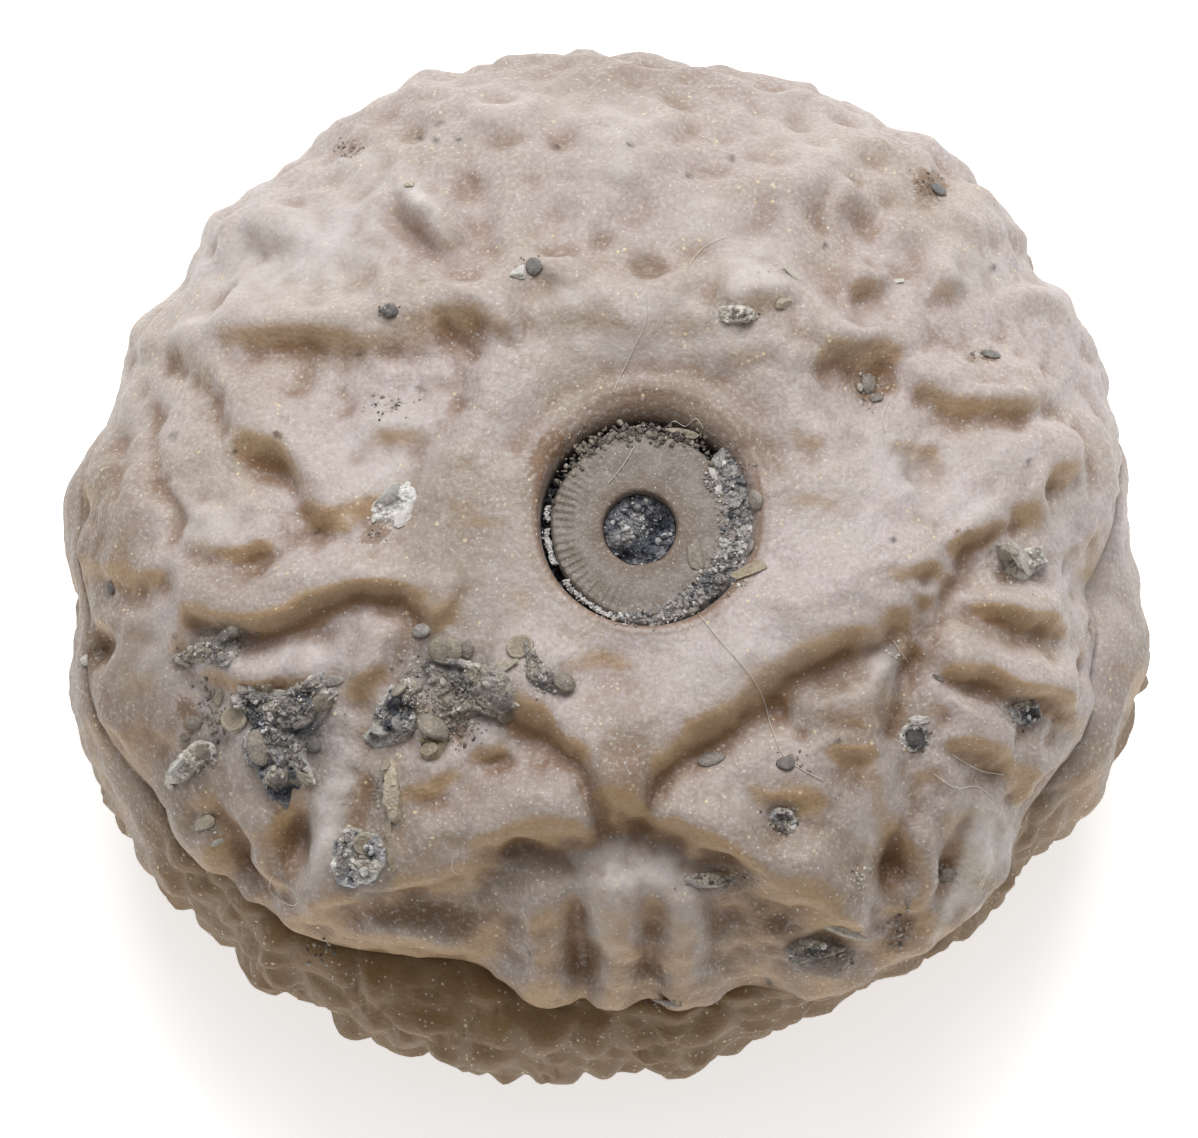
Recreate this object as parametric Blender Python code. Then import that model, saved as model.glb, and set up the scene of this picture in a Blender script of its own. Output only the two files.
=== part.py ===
"""Cup (calyx) of a fossil crinoid, lying on its roof with the stem side up.

The cup is one body of fused calcite plates. The last disc of the stem still sits in a round pit in
the middle of the upper side, and crumbs of dark matrix are stuck in the hollows.

Shapes are drawn in millimetres on a tilted sheet: u runs to the right along +X, and v runs up the
sheet, which leans back from the front (-Y) side. On the sheet the stem axis is at (0, 0).
Meshes are in metres, +Z up, with the origin on the resting face below the stem.
"""
import math

import bpy
import numpy as np
from mathutils import Vector, noise
from mathutils.bvhtree import BVHTree

MM = 0.001

# Driving dimensions, in millimetres.
SHEET_LEAN = math.radians(78.0)   # elevation from which the sheet is seen
TOP_Z = 17.4                      # highest plain of the upper side
FACET_Z = 17.0                    # upper face of the stem disc
LEDGE_Z = 11.0                    # lip of the cup in front, where the arms stood
BACK_LIP_Z = 9.0                  # level at which the smooth back turns under
GIRTH_Z = 7.3                     # widest level, on the roof's flank
NOTCH_DROP = 0.55                 # depth of the shelf under the lip
NOTCH_IN = 0.4                    # how far the shelf cuts in under the lip in front
REST_CENTRE = (-1.1, 1.0)         # middle of the worn resting face
REST_R = 6.2
PIT_FLOOR_R = 2.8
PIT_DEPTH = 1.5
DISC_R = 2.55                     # stem disc
DISC_THICK = 0.75
LUMEN_R = 0.98                    # canal through the disc
CRENULA_COUNT = 66                # radial ridges on the disc's rim
CRENULA_HEIGHT = 0.07
CRENULA_INNER_R = 1.8
RELIEF_GAIN = 1.35                # strength of the drawn relief
EDGE_SHARE = 0.75                 # how much of its drawn width an edge keeps
BACK_GAIN = 1.45                  # how much stronger the relief is at the back
SKIN_GAP = 0.22                   # clearance under each crumb of matrix

# Fineness of the meshes.
SECTORS = 88
DOME_RINGS = 18
FLANK_RINGS = 6
BELLY_RINGS = 6
PIT_WALL_RINGS = 3

# Outline of the roof's widest level, and of the cup's lip, on the sheet, clockwise from the top.
GIRTH_OUTLINE = (
    (-0.2, 13.0), (2.0, 12.5), (3.8, 12.2), (4.5, 12.0), (5.0, 11.5), (6.3, 11.2), (7.4, 10.6),
    (8.5, 9.9), (9.6, 9.1), (10.3, 8.2), (10.7, 7.0), (11.7, 6.05), (12.5, 4.3), (12.75, 3.3),
    (13.2, 2.0), (13.5, -0.4), (13.7, -2.0), (13.95, -3.6), (13.85, -4.4), (13.2, -6.0),
    (12.5, -7.5), (11.3, -8.7), (10.4, -9.4), (9.9, -10.2), (8.75, -11.2), (7.5, -11.9),
    (6.5, -12.6), (4.6, -13.3), (3.6, -14.0), (2.1, -14.5), (0.8, -15.05), (-0.5, -14.8),
    (-2.1, -15.2), (-4.1, -15.1), (-6.1, -14.5), (-8.2, -13.8), (-9.2, -12.9), (-10.6, -12.6),
    (-11.4, -11.6), (-12.1, -10.9), (-13.3, -10.0), (-14.2, -8.7), (-15.3, -6.7), (-15.9, -4.5),
    (-15.7, -2.4), (-16.1, -0.5), (-15.9, 1.4), (-14.7, 3.0), (-14.3, 4.3), (-13.8, 5.4),
    (-12.8, 6.5), (-11.8, 8.1), (-10.9, 8.7), (-9.0, 10.6), (-8.0, 11.35), (-6.9, 11.8),
    (-6.4, 12.15), (-5.05, 12.3), (-4.2, 12.6), (-3.2, 12.8), (-1.2, 12.85))
LIP_OUTLINE = (
    (-0.2, 12.7), (2.0, 12.2), (3.8, 11.9), (5.0, 11.2), (7.3, 10.3), (9.4, 8.8), (10.4, 6.9),
    (11.4, 5.8), (12.2, 4.2), (12.5, 3.2), (12.8, 1.8), (12.8, 0.2), (12.3, -1.1), (12.0, -1.8),
    (12.3, -2.7), (12.2, -3.6), (12.1, -4.3), (12.2, -4.9), (11.9, -5.7), (11.4, -6.4),
    (10.9, -7.1), (10.4, -7.8), (10.2, -8.4), (9.9, -9.3), (9.3, -10.2), (8.4, -11.0),
    (7.4, -11.7), (6.4, -12.1), (5.8, -12.6), (4.6, -12.8), (3.6, -12.6), (2.7, -12.5),
    (1.8, -12.9), (0.9, -13.2), (0.1, -12.85), (-0.8, -13.2), (-1.6, -12.8), (-2.2, -13.05),
    (-2.9, -13.0), (-3.6, -12.6), (-4.6, -11.9), (-6.1, -11.7), (-7.2, -11.6), (-8.4, -11.4),
    (-9.3, -11.1), (-9.9, -10.7), (-10.6, -10.15), (-11.3, -9.6), (-11.9, -9.1), (-12.6, -8.3),
    (-13.1, -7.5), (-13.6, -6.9), (-14.2, -6.2), (-14.8, -5.3), (-15.1, -4.5), (-15.2, -3.5),
    (-15.1, -2.4), (-15.4, -0.9), (-15.3, 0.5), (-15.2, 1.4), (-14.3, 2.8), (-13.9, 4.2),
    (-13.4, 5.3), (-12.4, 6.3), (-11.4, 7.9), (-10.5, 8.5), (-8.7, 10.3), (-7.7, 11.0),
    (-6.5, 11.6), (-5.0, 12.0), (-3.2, 12.4), (-1.2, 12.55))

# Plates: closed outline, height, edge width. The land inside the outline is raised.
PLATES = (
    # middle platform
    (((-0.6, -8.5), (-1.15, -7.5), (-1.8, -6.5), (-3.0, -5.3), (-4.6, -4.3), (-5.7, -3.0),
      (-6.2, -1.5), (-6.3, 0.5), (-5.6, 2.0), (-4.7, 3.2), (-4.2, 4.5), (-3.5, 5.5), (-2.3, 5.2),
      (-0.1, 4.7), (2.0, 4.75), (3.7, 5.0), (4.4, 4.2), (4.7, 3.0), (5.3, 2.1), (6.4, 1.6),
      (7.4, 0.5), (7.8, -1.0), (7.5, -2.5), (6.3, -2.8), (4.1, -3.8), (2.7, -4.9), (1.2, -6.0),
      (0.3, -6.8), (-0.05, -7.7)), 0.3, 1.0),
    # front lobes
    (((-1.35, -8.15), (-1.5, -7.3), (-2.1, -6.6), (-3.2, -6.0), (-4.6, -6.0), (-6.5, -6.2),
      (-7.4, -7.2), (-8.0, -8.6), (-8.9, -10.2), (-7.4, -10.1), (-6.1, -9.9), (-5.2, -9.5),
      (-4.5, -9.1), (-3.6, -8.6), (-2.5, -8.6)), 0.45, 0.9),
    (((0.15, -7.9), (0.5, -7.2), (1.4, -6.6), (2.6, -5.9), (3.8, -5.2), (5.2, -4.3), (6.6, -3.6),
      (6.9, -4.8), (6.7, -6.2), (6.9, -7.6), (6.2, -8.6), (6.1, -10.0), (5.6, -11.0), (4.2, -10.5),
      (3.2, -9.9), (2.4, -9.2), (1.2, -8.5)), 0.4, 0.9),
    # left arm
    (((-13.0, -2.2), (-11.5, -2.6), (-10.3, -2.7), (-8.9, -1.95), (-7.5, -1.6), (-6.6, -1.6),
      (-7.8, -0.8), (-9.5, -0.5), (-11.0, -1.0), (-12.6, -0.9)), 0.15, 0.6),
    (((-12.6, -0.5), (-12.5, 0.4), (-11.0, 0.8), (-9.9, 1.0), (-9.3, 0.3), (-9.6, -0.3),
      (-11.0, -0.7)), 0.15, 0.5),
)

# Steps: path, height, edge width, reach of the back slope. The high side is on the left.
STEPS = (
    # middle platform
    (((-0.25, -8.2), (0.1, -7.3), (0.45, -6.65), (1.2, -6.1), (2.0, -5.6), (2.7, -5.0), (3.3, -4.4),
      (4.1, -3.9), (5.1, -3.4), (6.3, -2.9), (7.0, -2.6), (7.6, -2.6)), 0.55, 0.9, 2.6),
    (((-4.6, -4.6), (-3.6, -4.9), (-3.0, -5.3), (-2.4, -5.9), (-1.8, -6.5), (-1.35, -7.1),
      (-1.15, -7.7), (-1.1, -8.4)), 0.45, 0.8, 2.2),
    (((-4.1, 5.0), (-3.5, 5.6), (-2.9, 5.65), (-2.3, 5.3), (-1.2, 4.85), (0.0, 4.7), (2.0, 4.7),
      (3.6, 4.95), (4.1, 4.6), (4.4, 4.0)), 0.4, 1.5, 1.3),
    # front lobes
    (((-9.6, -11.1), (-8.2, -10.6), (-7.2, -10.3), (-6.1, -10.1), (-5.3, -9.75), (-4.5, -9.4),
      (-4.1, -9.0), (-3.6, -8.7), (-2.6, -8.75), (-1.8, -8.6), (-1.0, -8.3)), 0.6, 0.8, 1.8),
    (((-0.2, -8.1), (0.4, -8.4), (1.1, -8.75), (1.7, -9.0), (2.4, -9.4), (3.1, -10.0), (4.0, -10.6),
      (5.0, -11.1), (6.3, -11.5)), 0.6, 0.8, 1.8),
    # left arm
    (((-13.2, -2.4), (-12.2, -2.6), (-11.5, -2.8), (-10.5, -2.85), (-9.6, -2.5), (-8.8, -2.05),
      (-7.7, -1.8), (-6.9, -1.9), (-6.3, -2.3), (-5.4, -2.9)), 0.5, 0.75, 1.6),
    (((-12.4, -4.0), (-11.5, -4.15), (-10.8, -4.25), (-10.0, -4.3), (-9.3, -4.2), (-8.6, -4.0)),
     0.35, 0.5, 1.0),
    (((-12.4, -0.65), (-11.8, -0.7), (-11.1, -1.0), (-10.4, -0.75), (-9.6, -0.3)), 0.25, 0.6, 0.8),
    (((-15.6, -0.8), (-14.9, -1.4), (-14.2, -1.65), (-13.5, -1.4), (-13.0, -0.8)), 0.3, 0.6, 0.9),
    (((-15.2, -2.8), (-14.5, -2.9), (-13.9, -3.0), (-13.3, -2.8)), 0.25, 0.5, 0.5),
    # upper left
    (((-13.4, 5.3), (-12.5, 4.7), (-11.9, 4.05), (-11.4, 3.5), (-11.1, 2.8), (-10.6, 2.25),
      (-9.7, 1.55), (-9.2, 0.7), (-8.7, 0.2), (-7.9, -0.5)), 0.45, 0.8, 1.6),
    (((-12.2, 5.7), (-11.2, 5.25), (-10.3, 4.95), (-9.3, 4.9), (-8.0, 4.95), (-7.0, 5.0),
      (-6.0, 5.2), (-5.4, 5.4), (-4.6, 5.1), (-4.0, 4.6)), 0.45, 1.0, 1.3),
    (((-14.6, 5.0), (-13.6, 4.7), (-12.9, 4.5)), 0.25, 0.6, 0.8),
    # right
    (((6.9, 4.2), (7.4, 3.75), (8.0, 3.4), (8.8, 3.05), (10.0, 3.05), (10.7, 3.3), (11.5, 3.9)),
     0.45, 0.8, 1.1),
    (((8.2, -1.4), (8.5, -0.85), (8.9, -0.45), (9.4, -0.15), (10.1, 0.1), (10.8, 0.4), (10.95, 0.95),
      (11.3, 1.4), (12.0, 1.9), (12.4, 2.8)), 0.45, 0.6, 1.6),
    (((6.7, -1.2), (7.3, -1.7), (7.8, -1.8), (8.2, -1.5), (8.6, -0.9)), 0.35, 0.6, 0.9),
    (((8.8, -2.1), (9.8, -2.45), (10.9, -2.75), (11.8, -2.75)), 0.4, 0.7, 0.8),
    (((7.7, -3.6), (8.8, -4.1), (9.8, -4.4), (11.0, -4.7), (12.2, -5.0)), 0.55, 0.8, 1.0),
    (((7.8, -5.6), (8.8, -6.1), (9.6, -6.15), (10.4, -6.2)), 0.45, 0.7, 0.9),
    (((9.0, -6.3), (10.3, -6.7), (11.3, -6.3)), 0.25, 0.5, 0.7),
    (((4.6, 1.5), (5.1, 1.9), (5.4, 3.0)), 0.2, 0.6, 0.8),
    (((3.2, 0.9), (3.9, 1.35), (4.9, 1.6), (5.3, 1.7)), -0.2, 0.4, 1.2),
    # back
    (((-5.0, 10.7), (-4.4, 10.8), (-3.6, 10.85), (-3.0, 11.2), (-2.4, 11.5)), 0.35, 0.6, 0.9),
    (((-11.9, 7.3), (-11.3, 7.5), (-10.5, 7.7), (-9.8, 7.5), (-8.9, 7.8)), 0.35, 0.7, 0.9),
    (((-7.8, 6.4), (-6.9, 6.3), (-6.0, 6.5)), 0.3, 0.7, 0.7),
    (((1.7, 6.2), (2.6, 6.0), (3.5, 6.1), (3.9, 6.7)), 0.3, 0.5, 0.7),
    (((5.2, 6.3), (6.0, 6.4), (6.8, 6.9)), 0.4, 0.7, 0.7),
    (((7.6, 6.4), (8.3, 6.5), (8.9, 6.9)), 0.35, 0.7, 0.7),
    (((6.4, 7.2), (7.0, 7.9), (7.5, 8.9)), -0.25, 0.7, 0.8),
    (((4.9, 8.7), (5.6, 8.6), (6.3, 9.0)), 0.35, 0.6, 0.6),
    (((9.9, 6.2), (10.8, 5.9), (11.5, 5.9)), 0.2, 0.5, 0.6),
)

# Ridges (positive) and grooves (negative): path, height, half width.
RIDGES = (
    # front panel between the lobes
    (((-2.9, -8.9), (-2.85, -10.5), (-2.7, -13.0)), 0.25, 0.5),
    (((-0.6, -8.5), (-0.7, -10.0), (-0.9, -13.2)), 0.4, 0.65),
    (((0.95, -9.5), (1.1, -10.8), (1.0, -13.2)), 0.3, 0.5),
    (((-1.9, -9.6), (-1.85, -11.2), (-1.6, -13.0)), -0.4, 0.32),
    (((0.2, -9.6), (0.2, -11.2), (0.1, -13.0)), -0.2, 0.3),
    (((2.0, -10.0), (2.3, -11.0), (2.4, -12.2)), -0.2, 0.6),
    (((-3.6, -10.0), (-3.7, -11.2), (-3.4, -12.3)), -0.15, 0.4),
    (((-8.3, -10.9), (-7.0, -10.9), (-5.2, -11.2), (-4.3, -11.5)), 0.3, 0.45),
    (((3.6, -12.2), (4.6, -12.2), (5.8, -12.0)), 0.25, 0.4),
    # fingers of the front left
    (((-6.8, -2.2), (-7.2, -3.2), (-8.0, -4.6)), 0.35, 0.42),
    (((-7.9, -6.5), (-8.5, -8.2), (-9.3, -10.3)), 0.35, 0.45),
    (((-11.1, -7.2), (-10.3, -8.5), (-9.9, -10.2)), 0.35, 0.4),
    (((-12.9, -7.4), (-12.4, -8.7), (-11.5, -9.7), (-10.4, -10.2)), 0.25, 0.35),
    (((-11.2, -7.9), (-10.9, -9.0), (-10.4, -9.9)), -0.35, 0.4),
    (((-9.6, -7.6), (-9.5, -8.8), (-9.4, -9.8)), -0.3, 0.35),
    (((-7.3, -6.6), (-7.4, -7.8)), -0.25, 0.3),
    # front lobes
    (((-3.2, -6.3), (-4.2, -6.5), (-5.2, -6.6)), -0.2, 0.3),
    (((-5.0, -7.4), (-6.2, -7.7)), -0.12, 0.25),
    (((-1.9, -7.4), (-3.0, -7.4), (-4.6, -7.8), (-6.2, -8.6)), 0.2, 0.6),
    # right side
    (((5.2, 5.1), (6.1, 5.2), (6.9, 4.9), (7.4, 4.3), (8.5, 4.2), (10.0, 4.3), (11.2, 4.1)),
     0.25, 0.4),
    (((7.1, -2.9), (7.2, -3.7), (7.0, -4.5), (6.85, -5.3), (7.2, -6.2)), -0.4, 0.3),
    (((8.2, -2.6), (9.0, -2.0), (10.6, -2.1), (11.6, -2.3)), 0.15, 0.35),
    (((8.0, -3.0), (9.4, -3.3), (10.8, -3.9), (12.0, -4.3)), 0.2, 0.4),
    (((7.6, -4.7), (9.0, -5.1), (10.1, -5.8)), 0.25, 0.4),
    (((7.3, -7.7), (7.6, -9.0), (7.6, -10.6)), 0.3, 0.45),
    (((8.9, -6.8), (9.3, -7.9), (9.2, -9.5)), 0.2, 0.35),
    (((8.4, -7.6), (8.2, -8.7), (8.1, -10.3)), -0.25, 0.3),
    (((6.2, -8.2), (6.8, -9.1), (6.6, -10.3)), -0.4, 0.5),
    (((12.3, -2.2), (12.2, -3.6), (12.2, -4.8)), -0.2, 0.2),
    # back
    (((-6.5, 9.7), (-5.9, 8.7), (-5.0, 7.4)), 0.4, 0.45),
    (((-7.1, 8.9), (-6.3, 7.9), (-5.5, 7.1)), -0.25, 0.4),
    (((-5.3, 9.8), (-4.7, 9.2), (-4.1, 9.4)), -0.2, 0.35),
    (((0.9, 11.2), (1.7, 10.4), (2.3, 10.0)), -0.15, 0.3),
    (((-0.4, 6.5), (0.1, 6.3), (0.6, 6.6), (1.4, 7.2), (2.2, 7.8)), 0.12, 0.15),
    (((-3.5, 5.9), (-4.1, 5.2), (-4.35, 3.8), (-4.85, 2.4), (-5.8, 1.4)), 0.12, 0.35),
    (((4.3, 5.4), (4.5, 4.4), (4.8, 3.4)), 0.1, 0.3),
    # plate seams at the left
    (((-13.2, 4.0), (-13.35, 2.1), (-13.0, 1.0), (-12.7, 0.35), (-12.8, -0.3), (-12.9, -1.2)),
     -0.2, 0.2),
    (((-14.0, 1.4), (-13.1, 0.75), (-12.6, 0.25)), -0.2, 0.22),
    (((-12.6, 0.45), (-11.8, 0.65), (-10.9, 0.95)), -0.1, 0.15),
    (((-14.2, 2.8), (-14.35, 1.7), (-14.8, 0.9)), -0.2, 0.25),
    (((-15.3, 1.2), (-15.3, 0.3), (-15.5, -0.4)), -0.2, 0.25),
)

# Bumps (positive) and pits (negative): u, v, half length, half width, turn in degrees, height.
BUMPS = (
    (-2.2, 7.15, 0.65, 0.45, 0, 0.4), (2.8, 6.95, 0.8, 0.8, 0, 0.3), (5.2, 5.1, 0.6, 0.6, 0, 0.25),
    (0.1, 7.15, 0.7, 0.45, 0, -0.5), (-1.1, 7.9, 0.6, 0.45, 30, -0.35),
    (-2.4, 8.8, 0.6, 0.5, 0, -0.25), (-9.9, 1.5, 0.8, 0.45, -30, -0.35),
    (6.1, 3.8, 0.7, 0.6, 0, -0.4), (-7.7, 8.0, 0.5, 0.4, 0, -0.3), (-8.1, 10.4, 0.6, 0.5, 0, -0.3),
    (5.6, 8.9, 0.6, 0.4, 0, -0.3), (2.5, 9.4, 0.5, 0.4, 0, -0.25), (1.6, 7.7, 0.5, 0.3, 20, -0.3),
    (4.2, -7.2, 1.6, 1.2, 0, 0.15), (4.3, -9.2, 1.4, 0.9, -35, 0.25), (1.1, -7.9, 0.9, 0.6, 0, 0.2),
    (-2.2, -7.6, 0.9, 0.6, 0, 0.2), (-5.4, -8.3, 1.2, 0.8, 0, 0.2), (3.7, -5.3, 0.7, 0.5, 0, -0.3),
    (-14.9, -3.3, 0.5, 0.35, 35, -0.35), (7.9, 9.4, 0.6, 0.4, 0, -0.35), (-14.1, 0.2, 1.1, 1.0, 0, 0.3),
    (-4.3, -5.7, 0.5, 0.5, 0, 0.25), (-3.9, -6.5, 0.5, 0.3, 0, -0.2), (3.6, -7.9, 0.6, 0.5, 0, -0.25),
    (4.1, -5.7, 0.6, 0.3, 10, -0.2), (-6.5, 2.6, 1.0, 0.4, 5, 0.15), (-8.6, -3.6, 1.6, 0.4, 0, 0.1),
    (9.5, 1.9, 1.6, 0.8, 10, 0.2), (8.2, -3.2, 0.6, 0.5, 0, 0.1), (-11.3, 2.4, 1.1, 1.3, 0, 0.1),
    (5.0, -3.0, 1.0, 0.6, 30, 0.08), (7.0, -0.9, 0.8, 0.6, 0, 0.1), (-10.8, 9.0, 0.8, 0.6, 40, 0.22),
    (3.9, 9.5, 1.2, 0.9, 30, 0.2), (-0.9, 9.6, 1.0, 0.8, 0, 0.2), (9.0, 8.2, 0.9, 0.7, -40, 0.2),
    (0.5, 10.7, 0.4, 0.9, 0, 0.18), (-3.6, 8.1, 0.8, 0.5, 0, 0.2), (8.1, 2.3, 0.7, 0.6, 0, 0.1),
    (7.6, 1.6, 0.6, 0.5, 0, -0.15), (10.7, 2.6, 1.0, 0.4, 15, 0.12), (-9.4, -1.4, 1.6, 0.4, 5, 0.08),
)

# Crumbs and crusts of matrix stuck to the cup: name, colour, thickness, outline on the sheet.
CRUSTS = (
    ("matrix_left", "dark", 0.75, (
        (-11.2, -4.5), (-10.6, -4.4), (-9.7, -4.5), (-9.2, -4.1), (-8.6, -4.1), (-8.4, -4.7),
        (-8.8, -5.4), (-9.1, -6.2), (-9.0, -7.0), (-9.6, -7.4), (-10.2, -7.4), (-10.5, -6.8),
        (-10.9, -6.2), (-10.7, -5.4))),
    ("matrix_upper_left", "brown", 0.5, (
        (-12.7, -3.5), (-12.1, -3.3), (-11.6, -3.0), (-11.2, -2.7), (-10.8, -3.0), (-11.0, -3.5),
        (-11.4, -3.9), (-12.0, -3.7), (-12.5, -3.9))),
    ("matrix_pale_streak", "pale", 0.4, (
        (-13.0, -6.9), (-12.6, -6.2), (-12.0, -5.8), (-11.6, -6.1), (-12.0, -6.5), (-12.5, -7.0))),
    ("matrix_middle", "brown", 0.45, (
        (-6.0, -3.6), (-5.2, -3.5), (-4.3, -3.8), (-3.7, -3.9), (-3.5, -4.6), (-3.7, -5.2),
        (-4.5, -5.1), (-5.1, -5.3), (-5.5, -4.8), (-5.8, -4.2))),
    ("matrix_arm", "brown", 0.35, (
        (-3.3, -3.1), (-2.9, -3.6), (-2.6, -4.0), (-2.1, -4.1), (-2.1, -4.5), (-2.6, -4.5),
        (-3.1, -4.2), (-3.2, -3.8))),
    ("matrix_rough", "dark", 0.6, (
        (-6.9, -4.5), (-6.4, -4.2), (-6.15, -4.6), (-6.2, -5.2), (-6.3, -5.8), (-6.9, -6.0),
        (-7.5, -5.8), (-7.3, -5.1))),
    ("matrix_chip", "ochre", 0.4, (
        (-5.9, -5.45), (-5.5, -5.5), (-5.3, -5.9), (-5.6, -6.3), (-5.9, -6.3), (-6.05, -5.9))),
    ("matrix_strip", "beige", 0.35, (
        (-7.0, -6.4), (-6.7, -6.4), (-6.6, -7.2), (-6.6, -7.9), (-6.9, -8.0), (-6.95, -7.2))),
    ("matrix_round", "dark", 0.45, (
        (-8.1, -8.2), (-7.4, -8.3), (-7.0, -8.7), (-7.0, -9.2), (-7.4, -9.7), (-8.0, -9.8),
        (-8.5, -9.5), (-8.5, -8.8))),
    ("white_flake", "white", 0.35, (
        (-7.4, 0.1), (-7.3, 0.6), (-6.9, 0.95), (-6.4, 1.1), (-6.2, 0.8), (-6.3, 0.3), (-6.8, 0.05))),
    ("matrix_right", "pale", 0.45, (
        (9.5, -0.5), (9.9, -0.5), (10.2, -0.65), (10.7, -0.6), (10.9, -0.9), (10.6, -1.25),
        (10.2, -1.5), (9.8, -1.2))),
    ("matrix_right_low", "dark", 0.45, (
        (9.85, -5.0), (10.2, -4.8), (10.6, -4.75), (10.75, -5.1), (10.5, -5.45), (10.1, -5.4))),
    ("matrix_bead", "dark", 0.5, (
        (6.95, -5.5), (7.3, -5.3), (7.65, -5.5), (7.6, -5.95), (7.2, -6.15), (6.95, -5.95))),
    ("matrix_front_pocket", "dark", 0.4, (
        (3.3, -7.9), (3.6, -7.6), (4.0, -7.7), (4.1, -8.1), (3.8, -8.35), (3.4, -8.2))),
    ("matrix_front_crumb", "pale", 0.35, (
        (1.0, -9.6), (1.5, -9.4), (2.1, -9.4), (2.5, -9.6), (1.9, -9.8), (1.3, -9.8))),
    ("matrix_lip_pocket", "brown", 0.4, (
        (3.8, -11.5), (4.4, -11.2), (5.1, -11.35), (5.4, -11.5), (4.8, -11.75), (4.1, -11.9))),
    ("matrix_back", "pale", 0.35, (
        (2.0, 5.85), (2.5, 5.95), (2.95, 5.8), (2.9, 5.5), (2.4, 5.45), (2.05, 5.5))),
)

# Colour, roughness and metallic value of each material.
FINISHES = {
    "calcite": ((0.46, 0.38, 0.31), 0.45, 0.0),
    "stem": ((0.36, 0.32, 0.27), 0.55, 0.0),
    "crystals": ((0.13, 0.14, 0.15), 0.35, 0.0),
    "dark": ((0.17, 0.15, 0.14), 0.7, 0.0),
    "brown": ((0.28, 0.24, 0.20), 0.7, 0.0),
    "pale": ((0.45, 0.42, 0.37), 0.65, 0.0),
    "ochre": ((0.38, 0.30, 0.18), 0.6, 0.0),
    "beige": ((0.42, 0.36, 0.28), 0.65, 0.0),
    "white": ((0.72, 0.71, 0.69), 0.6, 0.0),
}


def smooth(t):
    """Ease from 0 at t = 0 to 1 at t = 1."""
    t = np.clip(t, 0.0, 1.0)
    return t * t * (3.0 - 2.0 * t)


def round_path(points, per_span=4):
    """Catmull-Rom curve through the points of an open path."""
    p = np.array([points[0], *points, points[-1]], float)
    out = []
    for i in range(1, len(p) - 2):
        for k in range(per_span):
            t = k / per_span
            a = 2 * p[i] + (p[i + 1] - p[i - 1]) * t
            b = (2 * p[i - 1] - 5 * p[i] + 4 * p[i + 1] - p[i + 2]) * t * t
            c = (3 * p[i] - p[i - 1] - 3 * p[i + 1] + p[i + 2]) * t ** 3
            out.append((a + b + c) / 2)
    out.append(p[-2])
    return np.array(out)


def along_path(path, u, v):
    """Signed distance to the path (left is positive) and how far along it, for each point."""
    best = np.full(u.shape, np.inf)
    side = np.zeros(u.shape)
    run = np.zeros(u.shape)
    total = 0.0
    for a, b in zip(path[:-1], path[1:]):
        d = b - a
        length = math.hypot(*d)
        t = np.clip(((u - a[0]) * d[0] + (v - a[1]) * d[1]) / length ** 2, 0, 1)
        du = u - a[0] - t * d[0]
        dv = v - a[1] - t * d[1]
        gap = du * du + dv * dv
        near = gap < best
        best = np.where(near, gap, best)
        side = np.where(near, np.sign(d[0] * dv - d[1] * du), side)
        run = np.where(near, total + t * length, run)
        total += length
    return side * np.sqrt(best), run, total


def within(path, u, v):
    """Which points lie inside a closed path."""
    inside = np.zeros(u.shape, bool)
    for a, b in zip(path[:-1], path[1:]):
        crosses = (a[1] > v) != (b[1] > v)
        rise = b[1] - a[1] if b[1] != a[1] else 1.0
        inside ^= crosses & (u < a[0] + (v - a[1]) / rise * (b[0] - a[0]))
    return inside


def bank(t):
    """Rise from 0 to 1 with a crisp foot and a rounded shoulder."""
    t = np.clip(t, 0.0, 1.0)
    return 0.5 * smooth(t) + 0.5 * (1.0 - (1.0 - t) ** 2.2)


def fade_ends(run, total, longest):
    """1 along a path, easing to 0 over the given length at both ends."""
    span = min(longest, 0.4 * total)
    return smooth(run / span) * smooth((total - run) / span)


def near_box(path, u, v, margin):
    """Which points lie within the margin of the path's box."""
    low = path.min(axis=0) - margin
    high = path.max(axis=0) + margin
    return (u > low[0]) & (u < high[0]) & (v > low[1]) & (v < high[1])


def relief(u, v):
    """Height of the plates, steps, ridges and bumps above the plain dome, in millimetres."""
    h = np.zeros(u.shape)
    for points, height, edge in PLATES:
        edge = edge * EDGE_SHARE
        path = round_path(points + points[:1])
        m = near_box(path, u, v, edge)
        s = np.abs(along_path(path, u[m], v[m])[0])
        s[~within(path, u[m], v[m])] *= -1
        h[m] += height * bank(0.5 + s / edge)
    for points, height, edge, reach in STEPS:
        edge = edge * EDGE_SHARE
        path = round_path(points)
        m = near_box(path, u, v, edge + reach)
        s, run, total = along_path(path, u[m], v[m])
        rise = bank(0.5 + s / edge)
        back = 1.0 - smooth((s - edge / 2) / reach)
        h[m] += height * rise * back * fade_ends(run, total, 0.6)
    for points, height, width in RIDGES:
        path = round_path(points)
        m = near_box(path, u, v, 3 * width)
        s, run, total = along_path(path, u[m], v[m])
        h[m] += height * np.exp(-(s / width) ** 2) * fade_ends(run, total, 1.2)
    for cu, cv, long, wide, turn, height in BUMPS:
        c, s = math.cos(math.radians(turn)), math.sin(math.radians(turn))
        a = ((u - cu) * c + (v - cv) * s) / long
        b = ((v - cv) * c - (u - cu) * s) / wide
        h += height * np.exp(-(a * a + b * b))
    back = smooth((v - 5.0) / 2.0)
    return RELIEF_GAIN * (1 + (BACK_GAIN - 1) * back) * h


# --- meshes ---
def sheet_of(points):
    """Sheet coordinates (u, v) of points in space, in millimetres."""
    lean = math.sin(SHEET_LEAN)
    rise = math.cos(SHEET_LEAN)
    return points[..., 0], points[..., 1] * lean + (points[..., 2] - FACET_Z) * rise


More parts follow.
